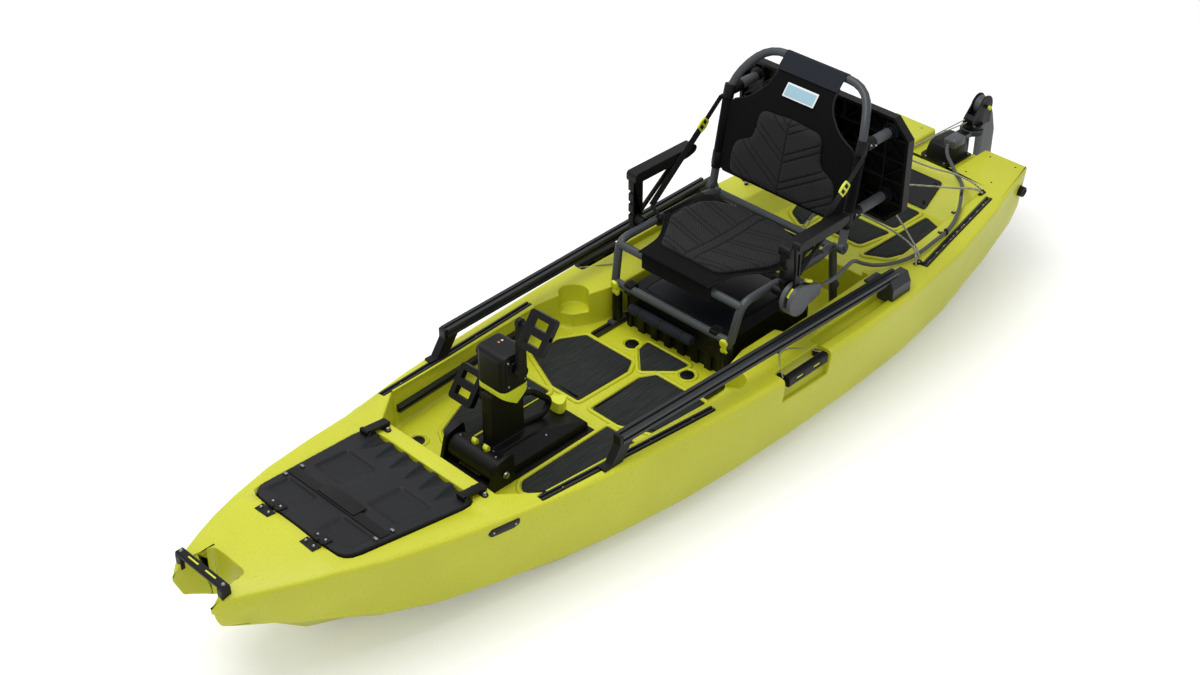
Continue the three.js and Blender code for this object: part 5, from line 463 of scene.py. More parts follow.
def soften(obj, width, segments=2, angle=32.0, share_of=None):
    """Rounds every edge sharper than angle, in degrees, by width metres, or less in tight places."""
    mesh = bmesh.new()
    mesh.from_mesh(obj.data)
    weight = mesh.edges.layers.float.new("bevel_weight_edge")
    room = {v: min((e.calc_length() for e in v.link_edges), default=0.0) for v in mesh.verts}
    for edge in mesh.edges:
        if len(edge.link_faces) == 2 and edge.calc_face_angle(0.0) > math.radians(angle):
            fits = 0.42 * min(room[v] for v in edge.verts) / width
            edge[weight] = min(1.0, fits) * (share_of(edge) if share_of else 1.0)
    mesh.to_mesh(obj.data)
    mesh.free()
    rounding = obj.modifiers.new("rounded edges", "BEVEL")
    rounding.width = width
    rounding.segments = segments
    rounding.limit_method = "WEIGHT"
    rounding.use_clamp_overlap = False
    rounding.harden_normals = True
    return obj


def skin(name, look, slot, width=0.0012, segments=2, smooth=38.0, share_of=None):
    """A finished copy of a CAD node, standing for it."""
    data = frame["nodes"][name].data.copy()
    mesh = bmesh.new()
    mesh.from_mesh(data)
    bmesh.ops.remove_doubles(mesh, verts=mesh.verts, dist=0.00002)
    bmesh.ops.dissolve_limit(
        mesh, angle_limit=math.radians(0.6), verts=mesh.verts, edges=mesh.edges, delimit={"NORMAL"}
    )
    mesh.to_mesh(data)
    mesh.free()
    data.materials.clear()
    data.materials.append(look)
    data.set_sharp_from_angle(angle=math.radians(smooth))
    obj = bpy.data.objects.new(name + "_skin", data)
    link(obj, body_of_node[name], slot, name)
    if width:
        soften(obj, width, segments, share_of=share_of)
    return obj


print("skin helpers ready")

# %% [markdown]
# ## The hull
# The hull is one rotomoulded shell. Plastic can't run into a sharp mould corner, so every outer edge
# is broadly rounded and every recess has a small radius. One bevel does both: its width is the largest
# radius, and each edge's weight shares it out by where the edge lies and how much room it has.

# %% Hull skin
OUTER_ROUNDING = 0.013
INNER_SHARE = 0.55


def hull_share(edge):
    """How much of the rounding an edge of the hull gets."""
    middle = (edge.verts[0].co + edge.verts[1].co) / 2
    outside = abs(middle.y) > 0.30 or middle.x > 1.20 or middle.x < -1.30
    return 1.0 if outside else INNER_SHARE


skin("hull", hull_look, "hull_plastic", width=OUTER_ROUNDING, segments=3, share_of=hull_share)
print("hull skinned")

# %% [markdown]
# ## Deck hardware
# Tracks and rails are extruded aluminium, anodised dark, so their edges are crisp: half a millimetre
# of rounding only catches the light. The moulded handles, legs and latches are softer by a little.

# %% Deck hardware skins
for side in ("port", "starboard"):
    for name in ("front_track_", "rear_track_", "seat_track_"):
        skin(name + side, rail_look, "rail_metal", width=0.0006)
    skin("rail_" + side, rail_look, "rail_metal", width=0.001)
    for name in ("rail_leg_", "latch_", "latch_keeper_", "side_handle_"):
        skin(name + side, black_look, "black_plastic", width=0.001)
    skin("hatch_hinge_" + side, black_look, "black_plastic", width=0.0006)
skin("wall_track_starboard", rail_look, "rail_metal", width=0.0006)
skin("bow_handle", black_look, "black_plastic", width=0.0025, segments=3)
skin("drain_plug", rubber_look, "plug_rubber", width=0.001)
print("deck hardware skinned")

# %% [markdown]
# ## The drive, the seat and the steering gear
# These are injection-moulded or bent from tube. Tubes need no rounding, only smooth shading. Moulded
# parts get a radius near a tenth of their wall, and the bright parts are the ones a hand works.

# %% Drive, seat and steering skins
MOULDED = {
    "drive_dock": 0.001, "crankset": 0.0015, "pedal_port": 0.001, "pedal_starboard": 0.001,
    "drive_leg": 0.001, "propeller": 0.0006, "seat_box": 0.002, "back_panel": 0.001,
    "armrest_port": 0.003, "armrest_starboard": 0.003, "steering_lever": 0.001, "stern_plate": 0.001,
    "rudder_base": 0.0016, "rudder_head": 0.0012,
}
for name, width in MOULDED.items():
    skin(name, black_look, "black_plastic", width=width)
for name, width in {"release_levers": 0.001, "drive_cap": 0.002, "drive_knob": 0.001}.items():
    skin(name, accent_look, "accent_plastic", width=width)
skin("seat_frame", tube_look, "tube_metal", width=0.0008)
skin("back_frame", tube_look, "tube_metal", width=0.0)
skin("steering_drum", hose_look, "hose_plastic", width=0.002)
skin("rudder_blade", hose_look, "hose_plastic", width=0.001)
print("gear skinned")

# %% [markdown]
# ## Making outlines, plates and tubes
# Many small pieces are a flat outline with a thickness: buckles, leaves, labels, pedal frames. A 2-D
# curve with several closed splines fills the outer one and leaves the inner ones as holes, and its
# bevel rounds the rims, so it makes such a plate in one step. It becomes a mesh before it is placed.
# Round bars and cords are curves too: a path with a round bevel. Corners are rounded by an operator.

# %% Outline, plate and tube helpers
def rounded(points, radius, segments=4):
    """The corners of a flat outline rounded by radius, as a list of points."""
    mesh = bmesh.new()
    corners = [mesh.verts.new((x, y, 0.0)) for x, y in points]
    face = mesh.faces.new(corners)
    bmesh.ops.bevel(
        mesh, geom=corners, offset=radius, offset_type="OFFSET", segments=segments, profile=0.5,
        affect="VERTICES", material=-1, clamp_overlap=True,
    )
    mesh.faces.ensure_lookup_table()
    outline = [(loop.vert.co.x, loop.vert.co.y) for loop in mesh.faces[0].loops]
    mesh.free()
    return outline


def box_outline(width, height, x=0.0, y=0.0):
    """A rectangle's corners about a middle point."""
    return [
        (x - width / 2, y - height / 2), (x + width / 2, y - height / 2),
        (x + width / 2, y + height / 2), (x - width / 2, y + height / 2),
    ]


def soft_box(width, height, radius, x=0.0, y=0.0, segments=4):
    """A rectangle's outline about a middle point, with its corners rounded."""
    return rounded(box_outline(width, height, x, y), radius, segments)


def ring(centre, radius, count, across=(1, 0, 0), up=(0, 1, 0)):
    """Points round a circle that lies on across and up."""
    turns = [math.tau * step / count for step in range(count)]
    return [
        tuple(c + radius * (math.cos(a) * u + math.sin(a) * v) for c, u, v in zip(centre, across, up))
        for a in turns
    ]


def at(x, y, z):
    """A frame moved to a place, unturned."""
    return Matrix.Translation((x, y, z))


def axes(origin, across, up):
    """A place in the frame: flat outlines lie on across and up, and gain thickness on their cross."""
    x_axis = Vector(across).normalized()
    z_axis = x_axis.cross(Vector(up)).normalized()
    y_axis = z_axis.cross(x_axis)
    turn = Matrix((x_axis, y_axis, z_axis)).transposed().to_4x4()
    return Matrix.Translation(Vector(origin)) @ turn


def curve_mesh(curve):
    """The mesh of a curve, with its doubles merged and its faces outwards."""
    holder = bpy.data.objects.new("holder", curve)
    bpy.context.scene.collection.objects.link(holder)
    graph = bpy.context.evaluated_depsgraph_get()
    data = bpy.data.meshes.new_from_object(holder.evaluated_get(graph))
    bpy.data.objects.remove(holder)
    mesh = bmesh.new()
    mesh.from_mesh(data)
    bmesh.ops.remove_doubles(mesh, verts=mesh.verts, dist=0.00001)
    bmesh.ops.recalc_face_normals(mesh, faces=mesh.faces)
    return mesh


def plate_mesh(outlines, thickness, rim=0.0004, place=Matrix.Identity(4)):
    """A flat plate with rounded rims. The first outline is the outer one and the rest are holes."""
    curve = bpy.data.curves.new("plate", "CURVE")
    curve.dimensions = "2D"
    curve.fill_mode = "BOTH"
    curve.extrude = thickness / 2 - rim
    curve.bevel_depth = rim
    curve.bevel_resolution = 1
    curve.offset = -rim
    for outline in outlines:
        spline = curve.splines.new("POLY")
        spline.points.add(len(outline) - 1)
        for point, (x, y) in zip(spline.points, outline):
            point.co = (x, y, 0.0, 1.0)
        spline.use_cyclic_u = True
    mesh = curve_mesh(curve)
    bmesh.ops.transform(mesh, matrix=place, verts=mesh.verts)
    return mesh


def smooth_spline(curve, points, resolution):
    """A smooth path through some points, added to a curve."""
    spline = curve.splines.new("BEZIER")
    spline.bezier_points.add(len(points) - 1)
    spline.resolution_u = resolution
    for point, co in zip(spline.bezier_points, points):
        point.co = co
        point.handle_left_type = "AUTO"
        point.handle_right_type = "AUTO"
    return spline


def tube_mesh(points, radius, smooth=True, closed=False):
    """A round bar or cord along a path, either smooth or straight from point to point."""
    curve = bpy.data.curves.new("path", "CURVE")
    curve.dimensions = "3D"
    curve.bevel_depth = radius
    curve.bevel_resolution = 3
    curve.use_fill_caps = True
    curve.twist_mode = "MINIMUM"
    if smooth:
        spline = smooth_spline(curve, points, 6)
    else:
        spline = curve.splines.new("POLY")
        spline.points.add(len(points) - 1)
        for point, co in zip(spline.points, points):
            point.co = (*co, 1.0)
    spline.use_cyclic_u = closed
    return curve_mesh(curve)


def join_meshes(*meshes):
    """Several bmeshes as one."""
    whole = bmesh.new()
    for mesh in meshes:
        data = bpy.data.meshes.new("part")
        mesh.to_mesh(data)
        mesh.free()
        whole.from_mesh(data)
        bpy.data.meshes.remove(data)
    return whole


def piece(name, mesh, look, body, slot, *nodes, width=0.0, segments=2, smooth=38.0):
    """A new object from a bmesh, finished, placed and riding on its body."""
    data = bpy.data.meshes.new(name)
    mesh.to_mesh(data)
    mesh.free()
    data.materials.append(look)
    for face in data.polygons:
        face.use_smooth = True
    data.set_sharp_from_angle(angle=math.radians(smooth))
    obj = bpy.data.objects.new(name, data)
    link(obj, body, slot, *nodes)
    if width:
        soften(obj, width, segments)
    return obj


print("outline, plate and tube helpers ready")

# %% [markdown]
# ## Landing on a surface
# A screw or a lip has to sit on what carries it, and the CAD's surfaces lean and curve. A BVH tree of
# the CAD meshes answers where a line meets them: drop a point along a direction and read the place
# and the surface's own normal. Screws and small fittings are then stood on that normal. Their heads
# and bosses are short cylinders with a bevelled rim.

# %% Landing and fasteners
UP = (0, 0, 1)
ABOVE = 0.6


def surface_of(*names):
    """A search tree over some CAD nodes."""
    mesh = bmesh.new()
    for name in names:
        mesh.from_mesh(frame["nodes"][name].data)
    tree = BVHTree.FromBMesh(mesh)
    mesh.free()
    return tree


hull_surface = surface_of("hull")


def landing(surface, start, direction=(0, 0, -1)):
    """The place and normal where a line from start first meets a surface."""
    place, normal, _, _ = surface.ray_cast(Vector(start), Vector(direction).normalized())
    return place, normal


def stand_on(place, normal, lift=0.0):
    """A frame whose z is the normal, standing at the place."""
    turn = Vector(normal).to_track_quat("Z", "Y").to_matrix().to_4x4()
    return Matrix.Translation(Vector(place) + Vector(normal) * lift) @ turn


def stands(surface, spots, lift=0.0):
    """A frame on the surface under each spot, standing on its normal."""
    return [stand_on(*landing(surface, (x, y, ABOVE)), lift) for x, y in spots]


def cylinder(radius, height, segments, top=None, caps=True):
    """A cylinder about the origin, or a cone where its top has another radius."""
    mesh = bmesh.new()
    bmesh.ops.create_cone(
        mesh, cap_ends=caps, segments=segments, radius1=radius,
        radius2=radius if top is None else top, depth=height,
    )
    return mesh


def round_edges(mesh, edges, width):
    """Rounds some edges of a mesh in two steps."""
    bmesh.ops.bevel(
        mesh, geom=edges, offset=width, offset_type="OFFSET", segments=2, profile=0.5,
        affect="EDGES", material=-1,
    )


def head_mesh(place, radius, height):
    """A round screw head with a socket, standing on a frame."""
    mesh = cylinder(radius, height, 14, radius * 0.86)
    top = max(mesh.faces, key=lambda face: face.calc_center_median().z)
    bmesh.ops.inset_region(mesh, faces=[top], thickness=radius * 0.42)
    bmesh.ops.translate(mesh, verts=top.verts, vec=(0.0, 0.0, -height * 0.55))
    bmesh.ops.translate(mesh, verts=mesh.verts, vec=(0.0, 0.0, height / 2))
    bmesh.ops.transform(mesh, matrix=place, verts=mesh.verts)
    return mesh


def fasteners(name, places, radius, height, look, body):
    """Several screw heads as one piece."""
    heads = [head_mesh(place, radius, height) for place in places]
    return piece(name, join_meshes(*heads), look, body, "black_plastic", smooth=30.0)


def disc_mesh(place, radius, height, segments=32):
    """A low round boss with a rounded rim, standing on a frame."""
    mesh = cylinder(radius, height, segments)
    bmesh.ops.translate(mesh, verts=mesh.verts, vec=(0.0, 0.0, height / 2))
    rim = [e for e in mesh.edges if all(v.co.z > height * 0.9 for v in e.verts)]
    round_edges(mesh, rim, min(height * 0.4, radius * 0.2))
    bmesh.ops.transform(mesh, matrix=place, verts=mesh.verts)
    return mesh


def offset_outline(points, distance):
    """A closed outline, counter-clockwise, moved outwards by distance, or inwards if it is negative."""
    moved = []
    for before, here, after in zip(points[-1:] + points[:-1], points, points[1:] + points[:1]):
        first = (Vector(here) - Vector(before)).normalized()
        second = (Vector(after) - Vector(here)).normalized()
        normal = Vector((first.y + second.y, -first.x - second.x)).normalized()
        reach = distance / max(0.35, normal.dot(Vector((first.y, -first.x))))
        moved.append((here[0] + normal.x * reach, here[1] + normal.y * reach))
    return moved


def top_outline(name):
    """The outline of a CAD node's largest upward face, counter-clockwise."""
    mesh = bmesh.new()
    mesh.from_mesh(frame["nodes"][name].data)
    bmesh.ops.remove_doubles(mesh, verts=mesh.verts, dist=0.00002)
    bmesh.ops.dissolve_limit(mesh, angle_limit=math.radians(1), verts=mesh.verts, edges=mesh.edges)
    mesh.normal_update()
    upward = [face for face in mesh.faces if face.normal.z > 0.9]
    top = max(upward, key=lambda face: face.calc_area())
    outline = [(loop.vert.co.x, loop.vert.co.y) for loop in top.loops]
    mesh.free()
    return outline


def crisp(outline, shortest=0.022, reach=0.034):
    """Carries straight edges on to meet, in place of the small round corners between them."""
    points = [Vector((x, y, 0.0)) for x, y in outline]
    count = len(points)
    straight = [i for i in range(count) if (points[(i + 1) % count] - points[i]).length > shortest]
    corners = []
    for first, second in zip(straight, straight[1:] + straight[:1]):
        a, b = points[first], points[(first + 1) % count]
        c, d = points[second], points[(second + 1) % count]
        meet = intersect_line_line(a, b, c, d)
        if meet and (meet[0] - b).length < reach and (meet[0] - c).length < reach:
            corners.append((meet[0].x, meet[0].y))
            continue
        step = (first + 1) % count
        while step != second:
            corners.append((points[step].x, points[step].y))
            step = (step + 1) % count
        corners.append((c.x, c.y))
    return corners


print("landing helpers ready")

# %% [markdown]
# ## Swelling a cushion
# A stuffed panel is a closed shape under a little pressure. The recipe: give the plain shape an even
# voxel mesh, let the Cloth simulation blow it up for twenty frames with gravity off, hold each point
# within a cap, and keep the result. Sewn lines are pressed in afterwards, by moving points in code,
# because the remesh would lose them.

# %% Remesh, swell and press
def apply_modifiers(obj):
    """Keeps what an object's modifiers make, and removes them."""
    graph = bpy.context.evaluated_depsgraph_get()
    data = bpy.data.meshes.new_from_object(obj.evaluated_get(graph))
    obj.modifiers.clear()
    obj.data = data
    return obj


def evened(obj, voxel):
    """An even mesh of voxel size over the same shape."""
    remesh = obj.modifiers.new("even mesh", "REMESH")
    remesh.mode = "VOXEL"
    remesh.voxel_size = voxel
    remesh.use_smooth_shade = True
    apply_modifiers(obj)
    mesh = bmesh.new()
    mesh.from_mesh(obj.data)
    for _ in range(3):
        bmesh.ops.smooth_vert(
            mesh, verts=mesh.verts, factor=0.5, use_axis_x=True, use_axis_y=True, use_axis_z=True
        )
    mesh.to_mesh(obj.data)
    mesh.free()
    return obj


SWELL_FRAMES = 20


def swollen(obj, pressure, cap):
    """Blows a closed mesh up with the Cloth simulation, no point further than cap metres."""
    rest = [v.co.copy() for v in obj.data.vertices]
    cloth = obj.modifiers.new("swell", "CLOTH")
    cloth.settings.use_pressure = True
    cloth.settings.uniform_pressure_force = pressure
    cloth.settings.effector_weights.gravity = 0.0
    cloth.settings.quality = 4
    cloth.point_cache.frame_end = SWELL_FRAMES
    for number in range(1, SWELL_FRAMES + 1):
        bpy.context.scene.frame_set(number)
    graph = bpy.context.evaluated_depsgraph_get()
    shape = [v.co.copy() for v in obj.evaluated_get(graph).data.vertices]
    obj.modifiers.clear()
    bpy.context.scene.frame_set(1)
    for vertex, start, end in zip(obj.data.vertices, rest, shape):
        move = end - start
        if move.length > cap:
            move *= cap / move.length
        vertex.co = start + move
    return obj


def subdivided(obj):
    """One round of subdivision, kept."""
    subdivision = obj.modifiers.new("subdivision", "SUBSURF")
    subdivision.levels = 1
    subdivision.render_levels = 1
    return apply_modifiers(obj)


def reshape(obj, move, seam_shade_depth=False):
    """Moves every point by what move gives for its place and normal. Seams note how deep they are, for
    painted shade.
    """
    normals = [v.normal.copy() for v in obj.data.vertices]
    moves = [move(v.co.copy(), normal) for v, normal in zip(obj.data.vertices, normals)]
    for vertex, step in zip(obj.data.vertices, moves):
        vertex.co += step
    if seam_shade_depth:
        # The depths are kept as a mask for the painted shade in the grooves.
        deepest = max(step.length for step in moves)
        note = obj.data.attributes.new("seam_shade_depth", "FLOAT", "POINT")
        for entry, step in zip(note.data, moves):
            entry.value = step.length / deepest
    obj.data.update()
    return obj


def groove(distance, half_width):
    """How deep a sewn line is, from 1 on it to 0 well beside it."""
    return math.exp(-((distance / half_width) ** 2))


def eased(value, low, high):
    """0 below low, 1 above high, smooth between."""
    share = min(1.0, max(0.0, (value - low) / (high - low)))
    return share * share * (3 - 2 * share)


print("cushion helpers ready")

# %% [markdown]
# ## The ribbed mesh and the plain cloth
# The cushions are faced with a ribbed mesh whose ribs run slantwise, about six millimetres apart, and
# the panels around them are a smooth, nearly black cloth. The ribs are a wave through the weave group;
# Mapping turns them. The two cushions stand on different planes, so each gets its own turn.

# %% Cushion looks
seat_mesh_look = woven(
    "ribbed seat mesh", srgb(12, 12, 13), srgb(46, 47, 48), (0.0, 0.0, math.radians(45)),
    62, 230, 0.0006, weft=0.2,
)
back_mesh_look = woven(
    "ribbed back mesh", srgb(7, 7, 8), srgb(48, 49, 50), (math.radians(45), 0.0, math.radians(90)),
    66, 230, 0.0006, weft=0.2,
)
sling_look = woven(
    "black sling cloth", srgb(3, 3, 4), srgb(10, 10, 11), (0.0, 0.0, 0.4), 230, 230, 0.0002, 0.85, 0.1
)
wrap_look = woven(
    "slate wrap cloth", srgb(24, 27, 34), srgb(44, 48, 56), (0.0, 0.0, 0.4), 230, 230, 0.0002, 0.8, 0.15
)
label_look = moulded(
    "pale label cloth", srgb(150, 183, 198), srgb(170, 200, 212), 0.3, 900, 0.6, 0.0002
)
hem_look = moulded(
    "white label border", srgb(225, 230, 232), srgb(205, 210, 214), 0.3, 900, 0.6, 0.0002
)
print("cushion looks ready")

# %% [markdown]
# ## The seat's sling and cushion
# A black sling is stretched between the seat's side rails and wraps round the front tube in a tongue,
# with an open arch at each front corner. On it lies a six-sided cushion in ribbed mesh, sewn down
# along a spine and in pairs of slanting veins. The sling is a thick sheet that is dished by code; the
# cushion is swollen by simulation, and its veins are pressed in after that.

# %% The seat sling
seat_low, seat_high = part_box("seat_pad")
SLING_TOP = 0.4795
SLING_THICKNESS = 0.005
SLING_HALF = seat_high.y - 0.0008
TONGUE_HALF = 0.132
SAG = 0.010
SAG_SHARE = 0.82
SLING_SHAPE = [
    (seat_low.x + 0.002, 0.0), (seat_low.x + 0.002, 0.198), (seat_low.x + 0.018, SLING_HALF),
    (-0.345, SLING_HALF), (-0.315, 0.205), (-0.27, 0.172), (-0.225, 0.145), (-0.18, 0.136),
    (seat_high.x, TONGUE_HALF), (seat_high.x, 0.0),
]


def mirrored(half):
    """A closed outline from its half on the positive side, whose ends are on the middle line."""
    return half + [(x, -y) for x, y in reversed(half) if abs(y) > 0.0001]


def dish(co, normal):
    """The sling sags a little behind its front tube and between its rails."""
    length = (co.x - seat_low.x) / (seat_high.x - seat_low.x)
    across = 1.0 - (co.y / SLING_HALF) ** 2
    sag = SAG * max(0.0, math.sin(math.pi * min(1.0, length / SAG_SHARE))) * max(0.0, across)
    return Vector((0.0, 0.0, -sag))


sling_plate = plate_mesh(
    [mirrored(SLING_SHAPE)], SLING_THICKNESS, 0.0008, at(0.0, 0.0, SLING_TOP - SLING_THICKNESS / 2)
)
sling = piece("seat_sling", sling_plate, sling_look, "seat", "mesh_fabric", "seat_pad")
evened(sling, 0.0032)
reshape(sling, dish)
print("sling", len(sling.data.polygons), "faces")

# %% The tongue round the front tube
FRONT_TUBE = Vector((-0.155, 0.0, 0.46))
TUBE_RADIUS = 0.0125
CLOTH_THICKNESS = 0.0022
CLOTH_GAP = 0.0008


def clothed(obj, offset):
    """Gives a surface the cloth's thickness: outwards at offset 1, and both ways at 0."""
    wall = obj.modifiers.new("cloth", "SOLIDIFY")
    wall.thickness = CLOTH_THICKNESS
    wall.offset = offset
    return apply_modifiers(obj)


def wrapped(name, centre, start, end, drop, half, look, body, lean=0.0):
    """Cloth round a tube along Y: an arc from start to end degrees, then a flat drop."""
    mesh = bmesh.new()
    radius = TUBE_RADIUS + CLOTH_GAP
    turns = [math.radians(degrees) for degrees in range(start, end - 1, -10)]
    arc = [
        Vector((centre.x + radius * math.cos(a), -half, centre.z + radius * math.sin(a))) for a in turns
    ]
    arc.append(arc[-1] + Vector((-lean, 0.0, -drop)))
    ends = [mesh.verts.new(co) for co in arc]
    chain = [mesh.edges.new(pair) for pair in zip(ends, ends[1:])]
    grown = bmesh.ops.extrude_edge_only(mesh, edges=chain)["geom"]
    moved = [v for v in grown if isinstance(v, bmesh.types.BMVert)]
    bmesh.ops.translate(mesh, verts=moved, vec=(0.0, 2 * half, 0.0))
    bmesh.ops.recalc_face_normals(mesh, faces=mesh.faces)
    return soften(clothed(piece(name, mesh, look, body, "mesh_fabric"), 0.0), 0.0007)


wrapped("seat_tongue", FRONT_TUBE, 100, -10, 0.040, TONGUE_HALF, sling_look, "seat")
print("tongue made")

# %% The seat cushion
CUSHION_HALF = [
    (-0.508, 0.0), (-0.508, 0.100), (-0.486, 0.158), (-0.450, 0.190), (-0.390, 0.203), (-0.322, 0.196),
    (-0.288, 0.172), (-0.245, 0.145), (-0.200, 0.118), (-0.188, 0.104), (-0.188, 0.0),
]
CUSHION_THICKNESS = 0.014
CUSHION_RIM = 0.003
CUSHION_VOXEL = 0.005
SWELL_PRESSURE = 4.0
SWELL_CAP = 0.005
SEAM_DEPTH = 0.0042
SEAM_HALF = 0.0022
SPINE_HALF = 0.017
VEIN_PITCH = 0.074
VEIN_START = 0.020
VEIN_TWIN = 0.018
VEIN_SLANT = 0.24
VEIN_END = 0.192


def seat_veins(co, normal):
    """Presses the spine's two seams and the twin veins into the cushion's top."""
    if normal.z < 0.3:
        return Vector((0.0, 0.0, 0.0))
    side = abs(co.y)
    depth = groove(side - SPINE_HALF, SEAM_HALF)
    if side > SPINE_HALF:
        along = (co.x + VEIN_SLANT * side) % VEIN_PITCH - VEIN_START
        depth = max(depth, groove(along, SEAM_HALF), groove(along - VEIN_TWIN, SEAM_HALF))
    edge = min(1.0, max(0.0, (VEIN_END - side) / 0.02))
    return Vector((0.0, 0.0, -SEAM_DEPTH * depth * edge))


cushion_plate = plate_mesh(
    [rounded(mirrored(CUSHION_HALF), 0.010)], CUSHION_THICKNESS, CUSHION_RIM,
    at(0.0, 0.0, SLING_TOP + CUSHION_THICKNESS / 2 - CUSHION_RIM),
)
cushion = piece("seat_cushion", cushion_plate, seat_mesh_look, "seat", "mesh_fabric", "seat_pad")
evened(cushion, CUSHION_VOXEL)
swollen(cushion, SWELL_PRESSURE, SWELL_CAP)
subdivided(cushion)
reshape(cushion, dish)
reshape(cushion, seat_veins, seam_shade_depth=True)
print("seat cushion", len(cushion.data.polygons), "faces")

# %% [markdown]
# ## The back's sling and cushion
# The back's black sling is an hourglass: broad below, where sleeves slide over the frame's uprights,
# and narrow above, where a slate wrap goes over the top tube. A swollen cushion in ribbed mesh fills
# its lower part. Everything leans with the frame, so the shapes are made upright and sheared onto it.

# %% The back sling and cushion
LOW_LEAN = 0.063 / 0.340
TOP_LEAN = 0.089 / 0.095
BEND_START_Z = 0.755
BEND_END_Z = 0.845
PIVOT_X = -0.575
PIVOT_Z = 0.46
TOP_TUBE_Z = 0.895
BACK_SHAPE = [
    (0.0, 0.520), (0.222, 0.520), (0.2325, 0.530), (0.2325, 0.728), (0.222, 0.744), (0.195, 0.758),
    (0.165, 0.775), (0.139, 0.798), (0.119, 0.823), (0.109, 0.850), (0.107, 0.874), (0.0, 0.874),
]
BACK_CUSHION = [
    (0.0, 0.526), (0.176, 0.526), (0.193, 0.538), (0.198, 0.570), (0.197, 0.605), (0.188, 0.632),
    (0.166, 0.648), (0.135, 0.664), (0.126, 0.690), (0.120, 0.740), (0.106, 0.760), (0.0, 0.768),
]
BACK_VEIN_PITCH = 0.086
BACK_VEINS = (0.030, 0.053)
BACK_VEIN_SLANT = 0.62
BACK_SEAM_HALF = 0.0024


def upright(z, out=0.0):
    """The x of the frame's plane at a height, moved out to the front. It bends back at the knee."""
    bend = min(1.0, max(0.0, (z - BEND_START_Z) / (BEND_END_Z - BEND_START_Z)))
    past = (BEND_END_Z - BEND_START_Z) * bend * bend / 2 + max(0.0, z - BEND_END_Z)
    return PIVOT_X - LOW_LEAN * (z - PIVOT_Z) - (TOP_LEAN - LOW_LEAN) * past + out


def sling_out(z):
    """How far the sling stands out to meet the front of the wrap."""
    return 0.0115 * eased(z, 0.79, 0.868)


def leaned(co, normal):
    """Shears an upright shape onto the leaning frame, and out to the front of its top tube."""
    return Vector((upright(co.z, sling_out(co.z)) - PIVOT_X, 0.0, 0.0))


def mirrored_up(half):
    """A closed outline about the middle line, for shapes on Y and Z."""
    return half + [(-y, z) for y, z in reversed(half) if abs(y) > 0.0001]


UPRIGHT = axes((PIVOT_X, 0.0, 0.0), (0, 1, 0), (0, 0, 1))
back_sling = piece(
    "back_sling", plate_mesh([mirrored_up(BACK_SHAPE)], 0.005, 0.0008, UPRIGHT),
    sling_look, "back", "mesh_fabric", "back_pad",
)
evened(back_sling, 0.0034)
reshape(back_sling, leaned)


def back_veins(co, normal):
    """Presses the middle seams and the rising twin veins into the cushion's front."""
    if normal.x < 0.3:
        return Vector((0.0, 0.0, 0.0))
    side = abs(co.y)
    depth = groove(side, SEAM_HALF)
    if side > 0.004:
        along = (co.z - BACK_VEIN_SLANT * side) % BACK_VEIN_PITCH
        depth = max(depth, *(groove(along - twin, BACK_SEAM_HALF) for twin in BACK_VEINS))
    return Vector((-SEAM_DEPTH * depth, 0.0, 0.0))


back_plate = plate_mesh(
    [rounded(mirrored_up(BACK_CUSHION), 0.014)], CUSHION_THICKNESS, CUSHION_RIM,
    at(0.007, 0.0, 0.0) @ UPRIGHT,
)
back_cushion = piece("back_cushion", back_plate, back_mesh_look, "back", "mesh_fabric", "back_pad")
evened(back_cushion, CUSHION_VOXEL)
swollen(back_cushion, SWELL_PRESSURE, SWELL_CAP)
subdivided(back_cushion)
reshape(back_cushion, back_veins, seam_shade_depth=True)
reshape(back_cushion, leaned)
print("back cushion", len(back_cushion.data.polygons), "faces")

# %% [markdown]
# ## Sleeves, wrap, piping and label
# Sleeves of the same cloth hold the slings on their tubes. Each is a short open tube of cloth, one
# thickness away from the metal. Piping runs along the open arches, where the cloth ends in the air.
# The woven label keeps its pale field and white border, and bears nothing.

# %% Sleeves and piping
SIDES = ((1, "port"), (-1, "starboard"))
RAIL_Y, RAIL_Z = 0.2275, 0.46
UPRIGHT_Y = 0.2475
SEAT_SLEEVE_X = (-0.505, -0.335)
BACK_SLEEVE_Z = (0.522, 0.745)
WRAP_DROP = 0.037
LABEL_Z = 0.829


def spanning(start, end):
    """A frame midway between two places, its z along them, and how far apart they are."""
    start, end = Vector(start), Vector(end)
    turn = (end - start).to_track_quat("Z", "Y").to_matrix().to_4x4()
    return Matrix.Translation((start + end) / 2) @ turn, (end - start).length


def sleeve(name, start, end, body):
    """An open cloth tube round a frame tube, from start to end."""
    place, length = spanning(start, end)
    mesh = cylinder(TUBE_RADIUS + CLOTH_GAP, length, 24, caps=False)
    bmesh.ops.transform(mesh, matrix=place, verts=mesh.verts)
    obj = piece(name, mesh, sling_look, body, "mesh_fabric")
    return clothed(obj, 1.0)


for side, word in SIDES:
    sleeve("seat_sleeve_" + word, *((x, side * RAIL_Y, RAIL_Z) for x in SEAT_SLEEVE_X), "seat")
    sleeve("back_sleeve_" + word, *((upright(z), side * UPRIGHT_Y, z) for z in BACK_SLEEVE_Z), "back")
    arch = [(x, side * y, SLING_TOP - 0.002) for x, y in SLING_SHAPE[3:9]]
    piece("seat_piping_" + word, tube_mesh(arch, 0.0026), black_look, "seat", "mesh_fabric")
    arch = [(upright(z, sling_out(z)), side * y, z) for y, z in BACK_SHAPE[3:11]]
    piece("back_piping_" + word, tube_mesh(arch, 0.0034), black_look, "back", "mesh_fabric")

